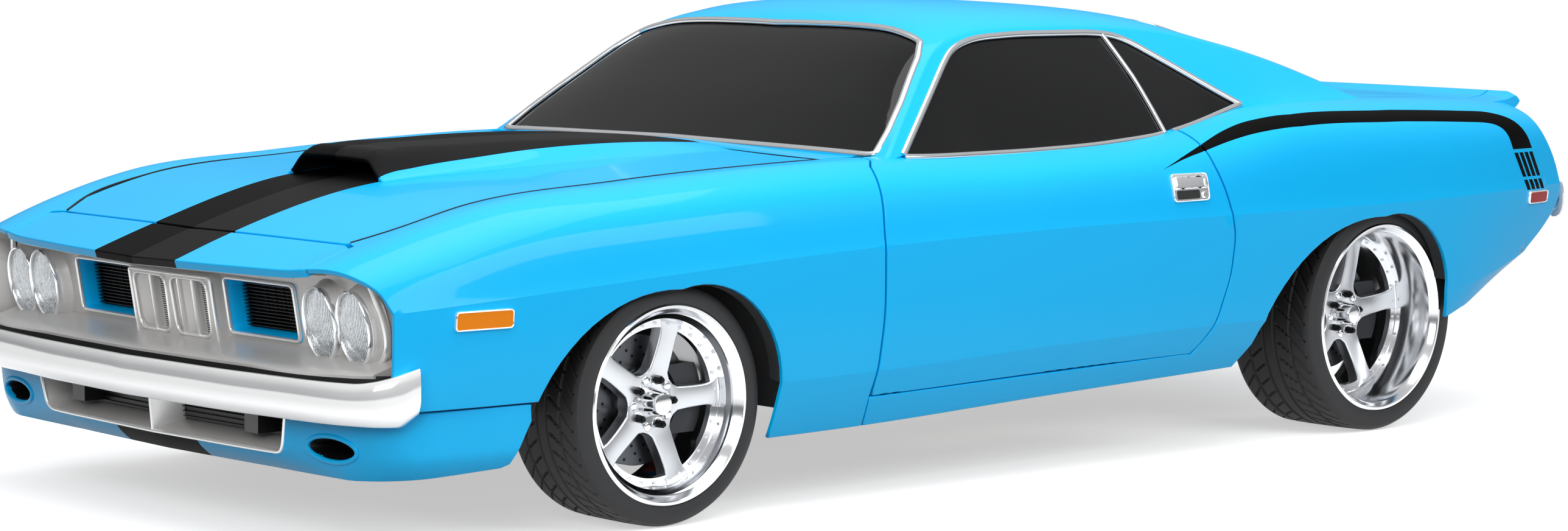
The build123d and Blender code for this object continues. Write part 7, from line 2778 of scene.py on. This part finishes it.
LID = [
    (0.680, 0.126), (0.681, 0.132), (0.685, 0.133), (0.689, 0.122), (0.691, 0.110), (0.690, 0.060),
    (0.692, 0.020), (0.692, 0.0005),
]
engine_parts.append(turned_about("cleaner_lid", 2, middle, LID, chrome, 64))
engine_parts.append(
    turned_about("wing_nut", 2, middle, [(0.690, 0.010), (0.697, 0.009), (0.699, 0.0005)], chrome, 16)
)
BELL = [(0.286, 0.150), (0.300, 0.158), (0.312, 0.158), (0.355, 0.118), (0.400, 0.098), (0.412, 0.096)]
engine_parts.append(turned_about("bell_housing", 1, (0.0, 0.450), BELL, alloy_face))
FRONT_COVER = rounded([(-0.085, 0.320), (0.085, 0.320), (0.075, 0.560), (-0.075, 0.560)], 0.03, steps=4)
engine_parts.append(along_s("timing_cover", FRONT_COVER, (-0.304, -0.290), alloy_face))
for x, z, r in (CRANK, WATER_PUMP, ALTERNATOR_AT, STEERING_PUMP):
    pulley = [
        (-0.303, r * 0.5), (-0.306, r), (-0.310, r), (-0.314, r * 0.90), (-0.318, r), (-0.322, r),
        (-0.323, r * 0.8), (-0.318, r * 0.7), (-0.318, r * 0.3), (-0.326, r * 0.25), (-0.327, 0.0005),
    ]
    engine_parts.append(turned_about("pulley", 1, (x, z), pulley, frame_paint, 40))
ALTERNATOR = [
    (-0.300, 0.020), (-0.296, 0.052), (-0.285, 0.058), (-0.215, 0.058), (-0.205, 0.045), (-0.204, 0.0005),
]
engine_parts.append(turned_about("alternator", 1, ALTERNATOR_AT, ALTERNATOR, alloy_lip, 40))
engine_parts.append(turned_about("pump", 1, STEERING_PUMP, ALTERNATOR, cover_black, 40))
for loop in ((CRANK, WATER_PUMP, ALTERNATOR_AT), (CRANK, STEERING_PUMP)):
    hull = []
    for x, z, r in loop:
        hull += [(x + r * 0.97 * math.cos(a), z + r * 0.97 * math.sin(a)) for a in full_turn(40)]
    hull = sorted(set(hull))
    halves = []
    for run in (hull, hull[::-1]):
        line = []
        for p in run:
            while len(line) > 1 and (
                line[-1][0] - line[-2][0]
            ) * (p[1] - line[-2][1]) - (line[-1][1] - line[-2][1]) * (p[0] - line[-2][0]) <= 0:
                line.pop()
            line.append(p)
        halves += line[:-1]
    rings = []
    mid = np.mean(halves, axis=0)
    for x, z in halves:
        out = np.array((x, z)) - mid
        out /= np.linalg.norm(out)
        rings.append(
            [
                (x, AXLE_Y - 0.311, z), (x, AXLE_Y - 0.317, z),
                (x + out[0] * 0.005, AXLE_Y - 0.318, z + out[1] * 0.005),
                (x + out[0] * 0.005, AXLE_Y - 0.310, z + out[1] * 0.005),
            ]
        )
    rings.append(rings[0])
    engine_parts.append(swept("belt", rings, [hose_rubber], 40, caps=False))
for k in range(FAN_BLADES):
    a = 2 * math.pi * k / FAN_BLADES
    rings = []
    for r, half, pitch in ((0.03, 0.014, 0.006), (0.09, 0.024, 0.008), (0.145, 0.028, 0.007)):
        c, sn = math.cos(a), math.sin(a)
        mid_x, mid_z = r * c, FAN_Z + r * sn
        ring = []
        for way, lift in ((-1, 0.0), (1, 0.0), (1, 0.0015), (-1, 0.0015)):
            ring.append(
                (mid_x - way * sn * half, AXLE_Y - 0.345 + way * pitch + lift, mid_z + way * c * half)
            )
        rings.append(ring)
    engine_parts.append(swept("blade", rings, [brushed]))
engine_parts.append(
    turned_about(
        "fan_hub", 1, (0.0, FAN_Z), [(-0.322, 0.036), (-0.350, 0.034), (-0.354, 0.028), (-0.354, 0.0005)],
        black_oxide_and_hole_shade, 28,
    )
)
put("engine_dressed", engine_parts, "body", ("engine_block",))
tank_rings = []
for x, grow in ((-0.300, 0.0), (-0.290, 0.004), (0.290, 0.004), (0.300, 0.0)):
    tank_rings.append(
        [
            (x, AXLE_Y + s, z)
            for s,
            z in (
                (-0.730 - grow, 0.560), (-0.730 - grow, 0.575), (-0.722, 0.580 + grow),
                (-0.698, 0.580 + grow), (-0.690 + grow, 0.575), (-0.690 + grow, 0.560),
            )
        ]
    )
bay = [swept("radiator_tank", tank_rings, [frame_paint], 40)]
bay.append(
    turned_about(
        "radiator_cap", 2, (0.18, -0.711),
        [(0.580, 0.018), (0.586, 0.022), (0.592, 0.021), (0.594, 0.010), (0.594, 0.0005)], chrome, 24,
    )
)
put("radiator_dressing", bay, "body")
